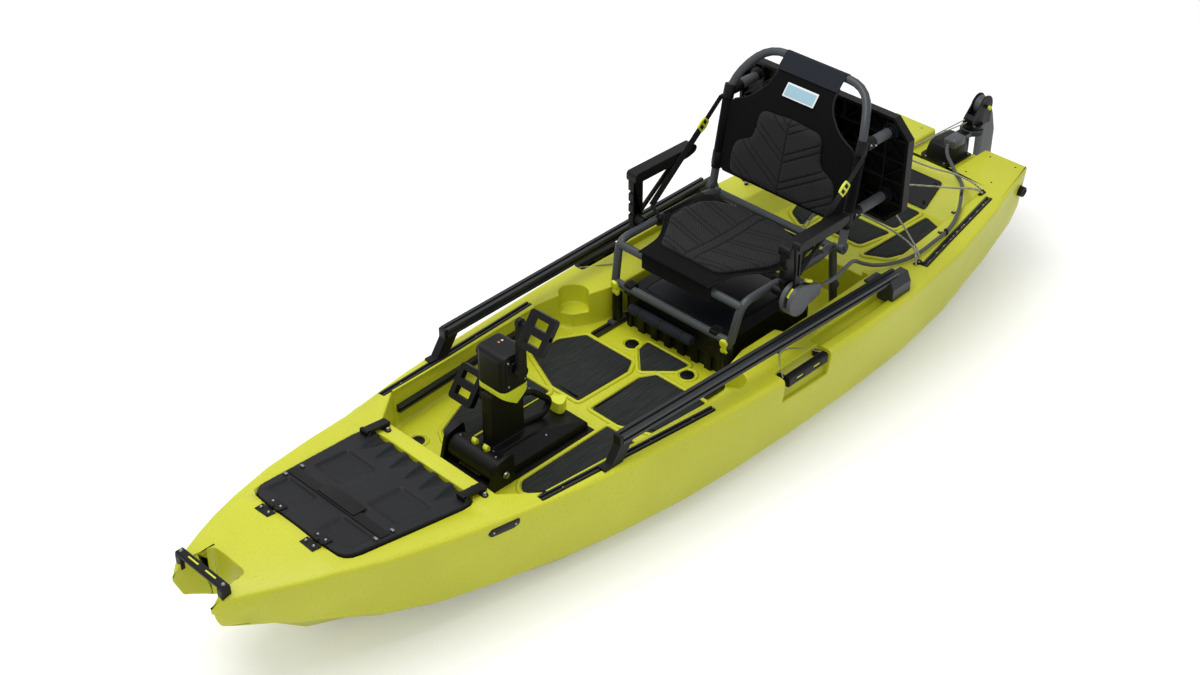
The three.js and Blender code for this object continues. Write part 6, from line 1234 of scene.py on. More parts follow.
TOP_TUBE = Vector((upright(TOP_TUBE_Z), 0.0, TOP_TUBE_Z))
wrapped(
    "back_wrap", TOP_TUBE, 210, 40, WRAP_DROP, 0.111, wrap_look, "back", lean=-WRAP_DROP * TOP_LEAN
)
label_slope = (upright(LABEL_Z - 0.01) - upright(LABEL_Z + 0.01)) / 0.02
for name, width, height, out, look in (
    ("label_border", 0.114, 0.043, 0.0042, hem_look), ("label_field", 0.105, 0.034, 0.0052, label_look)
):
    origin = (upright(LABEL_Z, sling_out(LABEL_Z) + out), 0.0, LABEL_Z)
    label_place = axes(origin, (0, 1, 0), (-label_slope, 0, 1))
    label = plate_mesh([soft_box(width, height, 0.002)], 0.0016, 0.0004, label_place)
    piece(name, label, look, "back", "mesh_fabric")
print("sleeves, piping and label made")

# %% [markdown]
# ## The back straps
# A strap on each side holds the back up: webbing from a loop on the upright to the seat's side rail,
# with a bright ladder buckle on it. It is taut, so it is modelled directly, as a thin strip on edge.
# It crosses the recline joint, so it is blended from the seat to the back.

# %% Straps and buckles
STRAP_FOOT = Vector((-0.322, 0.0, 0.492))
STRAP_HEAD = Vector((-0.618, 0.0, 0.742))
STRAP_HALF = 0.0115
FOOT_SHARE, HEAD_SHARE = 1.18, 0.86
KNEE_SHARE = 0.74
BUCKLE = [
    (-0.021, -0.014), (0.0, -0.018), (0.021, -0.014), (0.021, 0.014), (0.0, 0.018), (-0.021, 0.014),
]
run = STRAP_HEAD - STRAP_FOOT
knee = STRAP_FOOT + run * KNEE_SHARE
across = Vector((-run.z, 0.0, run.x)).normalized() * STRAP_HALF
wide, narrow = across * FOOT_SHARE, across * HEAD_SHARE
strip = [
    STRAP_FOOT + wide, knee + wide, knee + narrow, STRAP_HEAD + narrow,
    STRAP_HEAD - narrow, knee - narrow, knee - wide, STRAP_FOOT - wide,
]
for side, word in SIDES:
    strap_low, strap_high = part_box("strap_" + word)
    strap_y = (strap_low.y + strap_high.y) / 2
    place = axes((0.0, strap_y, 0.0), (1, 0, 0), UP)
    mesh = plate_mesh([[(p.x, p.z) for p in strip]], 0.0024, 0.0004, place)
    bmesh.ops.subdivide_edges(mesh, edges=[e for e in mesh.edges if e.calc_length() > 0.03], cuts=8)
    strap = piece("back_strap_" + word, mesh, webbing_look, None, "webbing", "strap_" + word)
    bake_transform(strap, "seat", "back", (-0.33, strap_y, 0.5), (-0.60, strap_y, 0.73))
    place = axes(knee + Vector((0, strap_y, 0)), run, (-run.z, 0, run.x))
    windows = [soft_box(0.011, 0.021, 0.002, x) for x in (-0.009, 0.009)]
    buckle = plate_mesh([rounded(BUCKLE, 0.004), *windows], 0.0065, 0.0012, place)
    piece("strap_buckle_" + word, buckle, accent_look, "back", "accent_plastic")
print("straps made")

# %% [markdown]
# ## The seat's box, roll and fittings
# Under the seat stands a black storage box with a blue-black lid let into its top, and a padded roll
# strapped to its front. The roll is a swollen cylinder with a groove where each strap draws it in. The
# seat's front crossbar lies in two bright clamps, and black clamps with steel screws hold the
# back panel's stubs to the uprights.

# %% Seat box and roll
POCKET_INSET = 0.0415
lid_cloth_look = moulded(
    "blue-black box lid", srgb(14, 17, 24), srgb(26, 29, 36), 0.2, 700, 0.4, 0.0001, 0.0, 0.3
)
box_low, box_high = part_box("seat_box")
box_x = (box_low.x + box_high.x) / 2
pocket = soft_box(
    box_high.x - box_low.x - 2 * POCKET_INSET, box_high.y - box_low.y - 2 * POCKET_INSET,
    0.016, box_x, segments=3,
)
pocket_z = landing(surface_of("seat_box"), (box_x, 0.0, ABOVE))[0].z
panel = plate_mesh([pocket], 0.0036, 0.001, at(0.0, 0.0, pocket_z + 0.0020))
piece("seat_box_lid", panel, lid_cloth_look, "boat", "black_plastic")

ROLL_STRAPS = (-0.118, -0.035, 0.048)
STRAP_DRAW = 0.16
RING_SHARE = 0.93
roll_low, roll_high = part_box("seat_roll")
roll_x, roll_y, roll_z = ((low + high) / 2 for low, high in zip(roll_low, roll_high))
roll_radius = (roll_high.z - roll_low.z) / 2 - 0.0025


def roll_straps(co, normal):
    """Draws the roll in where its straps are."""
    depth = max(groove(co.y - y, 0.006) for y in ROLL_STRAPS)
    return Vector((roll_x - co.x, 0.0, roll_z - co.z)) * STRAP_DRAW * depth


roll_mesh = cylinder(roll_radius, roll_high.y - roll_low.y - 0.008, 28)
lying = Matrix.Rotation(math.radians(90), 4, "X")
bmesh.ops.transform(roll_mesh, matrix=lying, verts=roll_mesh.verts)
bmesh.ops.translate(roll_mesh, vec=(roll_x, roll_y, roll_z), verts=roll_mesh.verts)
roll = piece("seat_front_roll", roll_mesh, wrap_look, "boat", "mesh_fabric", "seat_roll")
evened(roll, 0.0036)
swollen(roll, 3.0, 0.0022)
reshape(roll, roll_straps)
for number, y in enumerate(ROLL_STRAPS, 1):
    loop = ring((roll_x, y, roll_z), roll_radius * RING_SHARE, 28, up=UP)
    mesh = tube_mesh(loop, 0.0012, smooth=False, closed=True)
    bmesh.ops.scale(mesh, vec=(1.0, 4.0, 1.0), verts=mesh.verts, space=at(0.0, -y, 0.0))
    piece("seat_roll_strap_%d" % number, mesh, webbing_look, "boat", "webbing")
print("seat box and roll made")

# %% Seat clamps
CROSSBAR = Vector((-0.132, 0.0, 0.327))
GRIP_Y = 0.2165
CLAMP_WINGS = [
    (-0.013, -0.024), (0.004, -0.027), (0.013, -0.016), (0.006, -0.004), (0.013, 0.012), (0.006, 0.025),
    (-0.010, 0.022), (-0.014, 0.008), (-0.007, -0.004), (-0.014, -0.014),
]
LEG_X, LEG_Y = -0.128, 0.215
SHROUD_Z = (0.2045, 0.3185)
STRAP_Y = 0.2652
STUB_PLACES = {"upper": 0.765, "lower": 0.556}
PANEL_FRONT_X = -0.761


def collar(start, end, radius):
    """A short closed sleeve round a tube, with rounded ends."""
    place, length = spanning(start, end)
    mesh = cylinder(radius, length, 24)
    round_edges(mesh, [edge for edge in mesh.edges if edge.calc_face_angle(0.0) > 1.0], 0.0015)
    bmesh.ops.transform(mesh, matrix=place, verts=mesh.verts)
    return mesh


for side, word in SIDES:
    x, y, z = CROSSBAR.x, side * GRIP_Y, CROSSBAR.z
    grip = collar((x, y - side * 0.019, z), (x, y - side * 0.004, z), 0.0160)
    place = axes((x + 0.018, y - side * 0.004, z - 0.002), (0, side, 0), (0.2, 0, 1))
    wings = plate_mesh([rounded(CLAMP_WINGS, 0.003)], 0.010, 0.0016, place)
    piece("crossbar_clamp_" + word, join_meshes(grip, wings), accent_look, "seat", "accent_plastic")
    shroud = collar(*((LEG_X, side * LEG_Y, height) for height in SHROUD_Z), 0.0152)
    place = at(x - 0.002, side * 0.165, z + 0.009)
    block = plate_mesh([soft_box(0.034, 0.030, 0.004)], 0.034, 0.003, place)
    piece("seat_leg_shroud_" + word, join_meshes(shroud, block), black_look, "seat", "black_plastic")
    x, z = STRAP_FOOT.x, STRAP_FOOT.z
    foot_link = join_meshes(
        collar((x - 0.014, side * RAIL_Y, RAIL_Z), (x + 0.014, side * RAIL_Y, RAIL_Z), 0.0162),
        tube_mesh([(x, side * 0.236, 0.470), (x, side * STRAP_Y, z + 0.002)], 0.0055),
    )
    piece("strap_foot_link_" + word, foot_link, black_look, "seat", "black_plastic")
    x, z = STRAP_HEAD.x, STRAP_HEAD.z
    reach = [(x, side * STRAP_Y, z), (upright(z + 0.012), side * 0.250, z + 0.012)]
    piece("strap_head_link_" + word, tube_mesh(reach, 0.006), black_look, "back", "black_plastic")
    y = side * UPRIGHT_Y
    for level, z in STUB_PLACES.items():
        x = upright(z)
        ending = "_%s_%s" % (level, word)
        clamp = join_meshes(
            collar((upright(z - 0.024), y, z - 0.024), (upright(z + 0.018), y, z + 0.018), 0.0172),
            collar((x - 0.010, y, z), (x - 0.048, y, z), 0.0188),
        )
        piece("stub_clamp" + ending, clamp, black_look, "back", "black_plastic")
        metal = collar((x - 0.046, y, z), (PANEL_FRONT_X + 0.010, y, z), 0.0156)
        piece("stub_tube" + ending, metal, hose_look, "back", "hose_plastic")
        places = [
            stand_on((x - behind, y + side * 0.0184, z + step), (0, side, 0))
            for behind, step in ((0.018, 0.006), (0.040, -0.002))
        ]
        fasteners("stub_screws" + ending, places, 0.0036, 0.002, steel_look, "back")
print("seat clamps made")

# %% [markdown]
# ## The panel's web
# The black panel behind the seat is a moulded tray, stiffened by a grid of ribs with a slanting rib in
# each cell. The grid is the CAD's; the slanting ribs are thin bars that follow its cells.

# %% Slanting ribs
RIB_COLUMNS = 8
RIB_ROWS = 5
RIB_HALF_Y = 0.310
RIB_LOW_Z, RIB_HIGH_Z = 0.475, 0.807
RIB_X = -0.7735
RIB_DEPTH = 0.013
RIB_WIDTH = 0.0032
cell_y = 2 * RIB_HALF_Y / RIB_COLUMNS
cell_z = (RIB_HIGH_Z - RIB_LOW_Z) / RIB_ROWS
slant = math.atan2(cell_z, cell_y)
bar_shape = Matrix.Diagonal((RIB_DEPTH, math.hypot(cell_y, cell_z), RIB_WIDTH, 1.0))
slants = []
for column in range(RIB_COLUMNS):
    for row in range(RIB_ROWS):
        if column in (0, RIB_COLUMNS - 1) and row in (0, RIB_ROWS - 1):
            continue
        way = 1 if (column + row) % 2 else -1
        middle = at(RIB_X, -RIB_HALF_Y + (column + 0.5) * cell_y, RIB_LOW_Z + (row + 0.5) * cell_z)
        bar = bmesh.new()
        bmesh.ops.create_cube(bar, size=1.0)
        turn = Matrix.Rotation(way * slant, 4, "X")
        bmesh.ops.transform(bar, matrix=middle @ turn @ bar_shape, verts=bar.verts)
        slants.append(bar)
piece("panel_web", join_meshes(*slants), black_look, "back", "black_plastic")
print("panel web made")

# %% [markdown]
# ## The hatch lid
# The lid is a rotomoulded shell: every edge is soft, four broad pockets sink into its top, and six
# leaf-shaped scallops run in from its rear edge for the fingers. Bevels can't blend such forms, so the
# CAD lid gets an even voxel mesh, which softens its edges, and its top is then moved down by a height
# worked out from the pockets and the leaves.

# %% Lid heights
LID_REAR_X = 0.817
LID_REAR_Z = 0.327
LID_SLOPE = 0.1005
LID_EDGE = 0.013
POCKET_DEPTH = 0.0075
LEAF_LENGTH = 0.086
LEAF_PITCH = 0.058
LEAF_HALF = 0.022
LEAF_DEPTH = 0.012


def lid_top(x):
    """The height of the lid's flat top."""
    return LID_REAR_Z + LID_SLOPE * (x - LID_REAR_X)


def pocket_depth(x, y):
    """How deep the four pockets are at a place."""
    side = abs(y)
    rear = eased(x, 0.918, 0.930) * eased(-x, -1.040, -1.022)
    front = eased(x, 1.106, 1.116) * eased(-x, -1.205, -1.160)
    across = eased(side, 0.040, 0.062) * eased(-side, -0.168, -0.156)
    return POCKET_DEPTH * max(rear, front) * across


def leaf_depth(x, y):
    """How deep the six leaves are at a place."""
    along = (x - LID_REAR_X) / LEAF_LENGTH
    if along > 1.0:
        return 0.0
    middle = (math.floor(y / LEAF_PITCH) + 0.5) * LEAF_PITCH
    if abs(middle) > LEAF_PITCH * 2.6:
        return 0.0
    half = LEAF_HALF * (1.0 - max(0.0, along) ** 1.6)
    across = max(0.0, 1.0 - ((y - middle) / max(half, 0.0001)) ** 2)
    return LEAF_DEPTH * (1.0 - max(0.0, along)) ** 0.7 * across


def lid_form(co, normal):
    """Flattens the lid's top and sinks its pockets and leaves."""
    top = lid_top(co.x)
    if normal.z < 0.3 or co.z < top - LID_EDGE:
        return Vector((0.0, 0.0, 0.0))
    return Vector((0.0, 0.0, top - pocket_depth(co.x, co.y) - leaf_depth(co.x, co.y) - co.z))


lid = skin("hatch_lid", lid_look, "lid_plastic", width=0.0)
evened(lid, 0.0036)
reshape(lid, lid_form)
print("lid", len(lid.data.polygons), "faces")

# %% [markdown]
# ## What is fastened to the lid
# Two hinges with four screws each, a webbing strap across the lid with a bare plate sewn on it and two
# small clips a side, and a rubber latch at each rear corner over a mount with two bolts.

# %% Hinges, strap and latch mounts
LID_NORMAL = Vector((-LID_SLOPE, 0.0, 1.0)).normalized()
HINGE_Y = 0.088
LEAF_X, KNUCKLE_X, DECK_LEAF_X = 1.206, 1.2205, 1.242
CLIP_X, CLIP_Y = (1.060, 1.112), 0.176
STRAP_MIDDLE = 1.086


def on_lid(x, y, lift=0.0):
    """A place on the lid's top plane, with x across the boat and y towards the bow."""
    origin = Vector((x, y, lid_top(x))) + LID_NORMAL * lift
    return axes(origin, (0, -1, 0), (1, 0, LID_SLOPE))


for side, word in SIDES:
    y = side * HINGE_Y
    leaf = plate_mesh([soft_box(0.052, 0.030, 0.003)], 0.0036, 0.0007, on_lid(LEAF_X, y, 0.0018))
    ends = [(KNUCKLE_X, y + step, lid_top(KNUCKLE_X) + 0.002) for step in (-0.024, 0.024)]
    knuckle = tube_mesh(ends, 0.0042, smooth=False)
    piece("lid_hinge_leaf_" + word, join_meshes(leaf, knuckle), black_look, "lid", "black_plastic")
    for name, x, body in (("lid", LEAF_X, "lid"), ("deck", DECK_LEAF_X, "boat")):
        places = [on_lid(x, y + step, 0.0036) for step in (-0.015, 0.015)]
        fasteners(name + "_hinge_screws_" + word, places, 0.0042, 0.002, steel_look, body)
    clips = [
        plate_mesh([soft_box(0.012, 0.008, 0.001)], 0.006, 0.0008, on_lid(x, side * CLIP_Y, 0.003))
        for x in CLIP_X
    ]
    piece("lid_strap_clips_" + word, join_meshes(*clips), steel_look, "lid", "black_plastic")
    keeper_low, keeper_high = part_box("latch_keeper_" + word)
    x, y, _ = (keeper_low + keeper_high) / 2
    place, normal = landing(hull_surface, (x - 0.014, y, ABOVE))
    base = plate_mesh(
        [soft_box(0.060, 0.018, 0.0089, segments=5)], 0.004, 0.001,
        axes((x, y, place.z + 0.002), (0, 1, 0), (-1, 0, 0)),
    )
    piece("latch_mount_" + word, base, black_look, "boat", "black_plastic")
    feet = [landing(hull_surface, (x, y + step, ABOVE))[0] for step in (-0.021, 0.021)]
    bolts = [at(0.0, 0.0, 0.004) @ stand_on(foot, normal) for foot in feet]
    fasteners("latch_bolts_" + word, bolts, 0.0062, 0.0032, steel_look, "boat")

band = plate_mesh([box_outline(0.362, 0.030)], 0.0024, 0.0005, on_lid(STRAP_MIDDLE, 0.0, 0.0022))
piece("lid_strap", band, webbing_look, "lid", "webbing", "hatch_strap")
place = on_lid(STRAP_MIDDLE - 0.012, 0.0, 0.0052)
bare_plate = plate_mesh([soft_box(0.142, 0.044, 0.002)], 0.0032, 0.0006, place)
piece("lid_strap_plate", bare_plate, black_look, "lid", "black_plastic")
print("lid fittings made")

# %% [markdown]
# ## The bow handle
# A flat bar across the bow's notch, bolted down at both ends, with two bright inlaid slots. The bar is
# the CAD's own; the inlays are thin plates let into its top, and the bolts stand in its ends.

# %% Bow handle trim
handle_low, handle_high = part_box("bow_handle")
bar_x, bar_z = (handle_low.x + handle_high.x) / 2, handle_high.z
inlays = [
    plate_mesh([soft_box(0.0045, 0.040, 0.0015, bar_x, y)], 0.0012, 0.0003, at(0.0, 0.0, bar_z))
    for y in (-0.034, 0.034)
]
piece("bow_handle_inlays", join_meshes(*inlays), accent_look, "boat", "accent_plastic")
bolts = [stand_on((bar_x, y, bar_z), UP) for y in (handle_low.y + 0.009, handle_high.y - 0.009)]
fasteners("bow_handle_bolts", bolts, 0.0055, 0.003, steel_look, "boat")
print("bow handle trimmed")

# %% [markdown]
# ## The pedal drive
# The drive's housing is a moulded shell with broad rounded corners, so its skin gets a wide bevel. A
# cover on each side is held by four screws, and the crank turns in a shallow boss beside it. Two small
# lamps sit on its top. Screws show in the base, and a bolt in each ear of the dock.

# %% Drive skins and fasteners
CRANK_X, CRANK_Z = 0.527, 0.5
COVER_SCREWS = ((0.497, 0.529), (0.554, 0.529), (0.497, 0.455), (0.554, 0.455))
BASE_SCREWS = [(0.434, 0.0), (0.434, 0.062), (0.62, -0.072), (0.62, 0.066), (0.598, 0.034)]
LAMPS = {"amber": (srgb(214, 120, 50), 0.521), "pale": (srgb(226, 196, 204), 0.509)}

skin("drive_housing", black_look, "black_plastic", width=0.009, segments=4)
skin("drive_base", black_look, "black_plastic", width=0.0035, segments=3)
housing_low, housing_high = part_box("drive_housing")
for side, word in SIDES:
    face_y = housing_high.y if side > 0 else housing_low.y
    outwards = (0, side, 0)
    boss = disc_mesh(stand_on((CRANK_X, face_y - side * 0.001, CRANK_Z), outwards), 0.026, 0.006)
    piece("crank_boss_" + word, boss, black_look, "drive", "black_plastic")
    place = at(0.0, face_y + side * 0.0004, 0.0) @ axes((0, 0, 0), (1, 0, 0), UP)
    cover = plate_mesh([soft_box(0.074, 0.092, 0.016, 0.5255, 0.492)], 0.0022, 0.0006, place)
    piece("housing_cover_" + word, cover, black_look, "drive", "black_plastic")
    places = [stand_on((x, face_y + side * 0.0014, z), outwards) for x, z in COVER_SCREWS]
    fasteners("housing_screws_" + word, places, 0.0034, 0.0016, steel_look, "drive")
    ear = stand_on((0.622, side * 0.107, 0.232), outwards)
    fasteners("dock_bolt_" + word, [ear], 0.0105, 0.004, steel_look, "boat")

for word, (colour, x) in LAMPS.items():
    lamp_look = moulded(word + " lamp", colour, colour, 0.0, 900, 0.3, 0.0)
    dot = disc_mesh(stand_on((x, -0.016, housing_high.z - 0.0004), UP), 0.0034, 0.0012, 16)
    piece("housing_lamp_" + word, dot, lamp_look, "drive", "black_plastic")

places = stands(surface_of("drive_base"), BASE_SCREWS, -0.0004)
fasteners("base_screws", places, 0.0032, 0.0014, steel_look, "drive")
print("drive trimmed")

# %% [markdown]
# ## The cockpit floor
# The foam pads lie in raised, rounded lips of the hull's own plastic, with a fine line cut a finger's
# breadth inside each pad's edge. The lips are closed paths round the pads with an oval section. Black
# discs close the scupper holes, and wire hooks stand at the cockpit's front corners.

# %% Pads, lips and scuppers
FLOOR_Z = 0.1905
FLOOR_ABOVE = 0.28
LIP_GAP = 0.009
LIP_HALF_WIDTH = 0.0065
LIP_HEIGHT = 0.0055
PAD_LINE = 0.009
THIRD_PAD = [(-0.117, -0.080), (-0.074, -0.074), (-0.002, 0.0), (-0.074, 0.074), (-0.117, 0.080)]
SCUPPERS = [
    (-0.080, 0.109, 0.021), (-0.080, -0.109, 0.021), (0.656, 0.209, 0.019), (0.656, -0.209, 0.019),
]
HOOK_STEPS = (
    (0.010, -0.014, -0.002), (0.004, -0.012, 0.008), (-0.004, -0.004, 0.012), (-0.008, 0.006, 0.009),
    (-0.006, 0.012, 0.002), (0.002, 0.018, 0.003),
)


def lip_piece(name, outline, z, gap=LIP_GAP):
    """A rounded lip of the hull's plastic round an outline."""
    path = [(x, y, 0.0) for x, y in rounded(offset_outline(outline, gap), 0.012, 3)]
    mesh = tube_mesh(path, LIP_HALF_WIDTH, smooth=False, closed=True)
    bmesh.ops.scale(mesh, vec=(1.0, 1.0, LIP_HEIGHT / LIP_HALF_WIDTH), verts=mesh.verts)
    bmesh.ops.translate(mesh, vec=(0.0, 0.0, z), verts=mesh.verts)
    return piece(name, mesh, hull_look, "boat", "hull_plastic", smooth=60.0)


def pad_piece(name, outline, low, high, *nodes):
    """A foam pad: a rounded plate with a second, smaller plate raised inside its pressed line."""
    height = high - low
    base = plate_mesh([outline], height, 0.0012, at(0.0, 0.0, low + height / 2))
    face = plate_mesh([offset_outline(outline, -PAD_LINE)], 0.0016, 0.0006, at(0.0, 0.0, high + 0.0002))
    pad = piece(name, join_meshes(base, face), foam_look, "boat", "pad_foam", *nodes, smooth=30.0)
    return pad


for side in ("port", "starboard"):
    for name in ("pad_mid_" + side, "pad_front_" + side):
        outline = rounded(crisp(top_outline(name)), 0.004, 2)
        low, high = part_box(name)
        pad_piece(name + "_foam", outline, low.z, high.z, name)
        lip_piece(name + "_lip", outline, FLOOR_Z)

third_outline = rounded(THIRD_PAD, 0.006)
third_z = landing(hull_surface, (-0.09, 0.0, FLOOR_ABOVE))[0].z
pad_piece("pad_small_foam", third_outline, third_z + 0.0003, third_z + 0.004)
lip_piece("pad_small_lip", third_outline, third_z)
for number, (x, y, radius) in enumerate(SCUPPERS, 1):
    place, normal = landing(hull_surface, (x, y, FLOOR_ABOVE))
    disc = disc_mesh(stand_on(place, normal), radius, 0.003)
    piece("scupper_plug_%d" % number, disc, black_look, "boat", "black_plastic")
    lip = tube_mesh(ring((x, y, place.z), radius + 0.008, 32), 0.0042, smooth=False, closed=True)
    piece("scupper_lip_%d" % number, lip, hull_look, "boat", "hull_plastic", smooth=60.0)

for side, word in SIDES:
    foot = landing(hull_surface, (0.742, side * 0.212, 0.5))[0]
    wire_path = [tuple(foot + Vector((x, side * y, z))) for x, y, z in HOOK_STEPS]
    piece("cockpit_hook_" + word, tube_mesh(wire_path, 0.0024), black_look, "boat", "black_plastic")
print("cockpit floor trimmed")

# %% [markdown]
# ## The tankwell
# Behind the seat the floor carries four more foam pads: two on the middle line and one at each side,
# with hull showing between them. The CAD has one plain plate there, which these replace.

# %% Tankwell pads
TANK_SIDE = [
    (-1.177, 0.132), (-0.863, 0.122), (-0.900, 0.190), (-0.960, 0.212), (-1.050, 0.222),
    (-1.150, 0.200),
]
TANK_PADS = {
    "centre_rear": [(-1.186, -0.100), (-1.052, -0.100), (-1.052, 0.100), (-1.186, 0.100)],
    "centre_front": [(-1.022, -0.105), (-0.900, -0.080), (-0.900, 0.080), (-1.022, 0.105)],
    "side_port": TANK_SIDE,
    "side_starboard": [(x, -y) for x, y in reversed(TANK_SIDE)],
}
tank_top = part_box("tankwell_pad")[1].z
tank_floor = landing(hull_surface, (-1.04, 0.0, 0.32))[0].z
for word, corners in TANK_PADS.items():
    outline = rounded(corners, 0.010)
    pad_piece("tank_pad_" + word, outline, tank_floor + 0.0003, tank_top, "tankwell_pad")
    lip_piece("tank_lip_" + word, outline, tank_floor + 0.001, 0.008)
print("tankwell pads", len(TANK_PADS))

# %% [markdown]
# ## Cords and the steering hose
# Three flexible things run along the deck. The steering hose leaves the drum by the seat and ends in
# the clamp on the rudder's base. The bungee is laced over the tankwell, taut between its deck points.
# The rudder line is a doubled thin cord that lifts the blade. Each is a round section along a route
# through the CAD's own points. The hose follows the seat as it slides, and the line follows the rudder
# as it turns, so both are blended across a joint.

# %% Cord helpers
def route(points):
    """A smooth route through some points in millimetres, sampled closely, in metres."""
    curve = bpy.data.curves.new("route", "CURVE")
    curve.dimensions = "3D"
    smooth_spline(curve, [[value / 1000 for value in co] for co in points], 8)
    holder = bpy.data.objects.new("route", curve)
    bpy.context.scene.collection.objects.link(holder)
    data = holder.to_mesh()
    path = [vertex.co.copy() for vertex in data.vertices]
    bpy.data.objects.remove(holder)
    return path


def laid_cord(name, points, radius, look, slot, stiffness, lay, *nodes, between=None):
    """A cord along a route. Between two bodies it bends."""
    path = route(points)
    mesh = tube_mesh([tuple(p) for p in path], radius, smooth=False)
    cord = piece(name, mesh, look, None if between else "boat", slot, *nodes, smooth=60.0)
    if between:
        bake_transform(cord, *between)
    return cord


print("cord helpers ready")

# %% Hose, bungee and rudder line
HOSE_ROUTE = [
    (-372.6, 327, 455), (-390, 327, 455), (-450, 323, 446), (-540, 300, 436), (-600, 280, 416),
    (-660, 272, 376), (-720, 276, 345), (-775, 292, 333), (-850, 313, 334), (-950, 314, 339),
    (-1050, 303, 343), (-1140, 268, 348), (-1215, 224, 353), (-1265, 190, 355), (-1316, 128, 355),
    (-1352, 84, 358), (-1376, 52, 366), (-1392, 39, 377), (-1402, 35, 383),
]
BUNGEE_ROUTE = [
    (-832, 338, 322.2), (-842, 328, 346), (-862, 300, 356), (-900, 0, 357), (-862, -300, 350),
    (-838, -338, 322.6), (-848, -342, 322.4), (-872, -314, 350), (-1060, 0, 371), (-1210, 198, 370),
    (-1272, 244, 356), (-1288, 254, 342.6), (-1291, 240, 352), (-1284, 178, 369), (-1280, 60, 359),
    (-1280, -80, 353), (-1286, -238, 350), (-1288, -254, 342.6), (-1272, -248, 350), (-1060, 0, 382),
    (-880, 286, 360), (-858, 324, 348), (-848, 338, 323),
]
LINE_ROUTE = [
    (-1556, -12, 397), (-1353, -28, 392), (-1252, -28, 394), (-1060, -32, 395), (-900, -40, 374),
    (-790, -46, 326), (-752, -48, 303), (-738, -43, 302.6), (-752, -36, 303), (-790, -34, 332),
    (-900, -28, 382), (-1060, -20, 402), (-1252, -16, 404), (-1353, -16, 401), (-1557, -4, 389),
]
laid_cord(
    "hose", HOSE_ROUTE, 0.006, hose_look, "hose_plastic", "medium", "loose", "steering_hose",
    between=("seat", "boat", (-0.39, 0.327, 0.455), (-0.66, 0.272, 0.376)),
)
laid_cord("bungee_cord", BUNGEE_ROUTE, 0.003, cord_look, "cord", "limp", "taut", "bungee")
laid_cord(
    "lifting_line", LINE_ROUTE, 0.002, cord_look, "cord", "limp", "taut", "rudder_line",
    between=("rudder", "boat", (-1.556, 0.0, 0.39), (-1.30, 0.0, 0.39)),
)

# %% [markdown]
# ## The stern
# The rudder's base is a black box with a broad flange. On it sits the hose's grey clamp, and behind
# it a grey arm carries a toothed half disc over a plate on the transom. The blade's round top shows
# between the head's cheeks, with a bright cap on each end of its pin. Screws hold all of it down.

# %% Rudder trim
CLAMP_X = (-1.4700, -1.4058)
CLAMP_Y = (0.0118, 0.0562)
CLAMP_Z = 0.3702
FLANGE_Z = 0.3193
HEAD_FLOOR_Z = 0.3783
DISC_X = -1.588
DISC_TEETH = 26
TOOTH_REACH = (0.0375, 0.0405)
FLANGE_SCREWS = ((-1.386, 0.036), (-1.386, -0.036), (-1.494, 0.0555), (-1.494, -0.0555))
KICK = Vector((-1.628, 0.0, 0.429))

clamp_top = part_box("rudder_base")[1].z + 0.0004
clamp = soft_box(
    CLAMP_X[1] - CLAMP_X[0], CLAMP_Y[1] - CLAMP_Y[0], 0.007, sum(CLAMP_X) / 2, sum(CLAMP_Y) / 2, 3
)
block = plate_mesh([clamp], clamp_top - CLAMP_Z, 0.002, at(0.0, 0.0, (clamp_top + CLAMP_Z) / 2))
piece("hose_clamp", block, hose_look, "boat", "hose_plastic")
teeth = []
for step in range(DISC_TEETH * 2 + 1):
    angle = math.pi * (step / (DISC_TEETH * 2) - 0.5)
    reach = TOOTH_REACH[step % 2]
    teeth.append((DISC_X + reach * math.cos(angle), reach * math.sin(angle)))
disc = plate_mesh([teeth], 0.0168, 0.0006, at(0.0, 0.0, 0.3540))
arm = plate_mesh([box_outline(0.062, 0.044, -1.532, 0.0)], 0.0166, 0.0012, at(0.0, 0.0, 0.3536))
mount = plate_mesh(
    [soft_box(0.0608, 0.0764, 0.006)], 0.0068, 0.001, axes((-1.5286, 0.0, 0.3160), (0, 1, 0), UP)
)
piece("rudder_bracket", join_meshes(disc, arm, mount), hose_look, "boat", "hose_plastic")
places = [stand_on((x, y, FLANGE_Z), UP) for x, y in FLANGE_SCREWS]
fasteners("rudder_base_screws", places, 0.0042, 0.002, steel_look, "boat")
places = [stand_on((x, y, clamp_top), UP) for x, y in ((-1.416, 0.046), (-1.460, 0.022))]
fasteners("hose_clamp_screws", places, 0.003, 0.0012, steel_look, "boat")
cheek_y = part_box("rudder_head")[1].y
caps = [
    disc_mesh(stand_on((KICK.x, side * (cheek_y - 0.006), KICK.z), (0, side, 0)), 0.0075, 0.008, 20)
    for side in (1, -1)
]
piece("rudder_pin_caps", join_meshes(*caps), accent_look, "rudder", "accent_plastic")
places = [stand_on((DISC_X + 0.022, y, HEAD_FLOOR_Z), UP) for y in (0.021, -0.021)]
fasteners("rudder_head_screws", places, 0.0036, 0.002, steel_look, "rudder")
print("rudder trimmed")

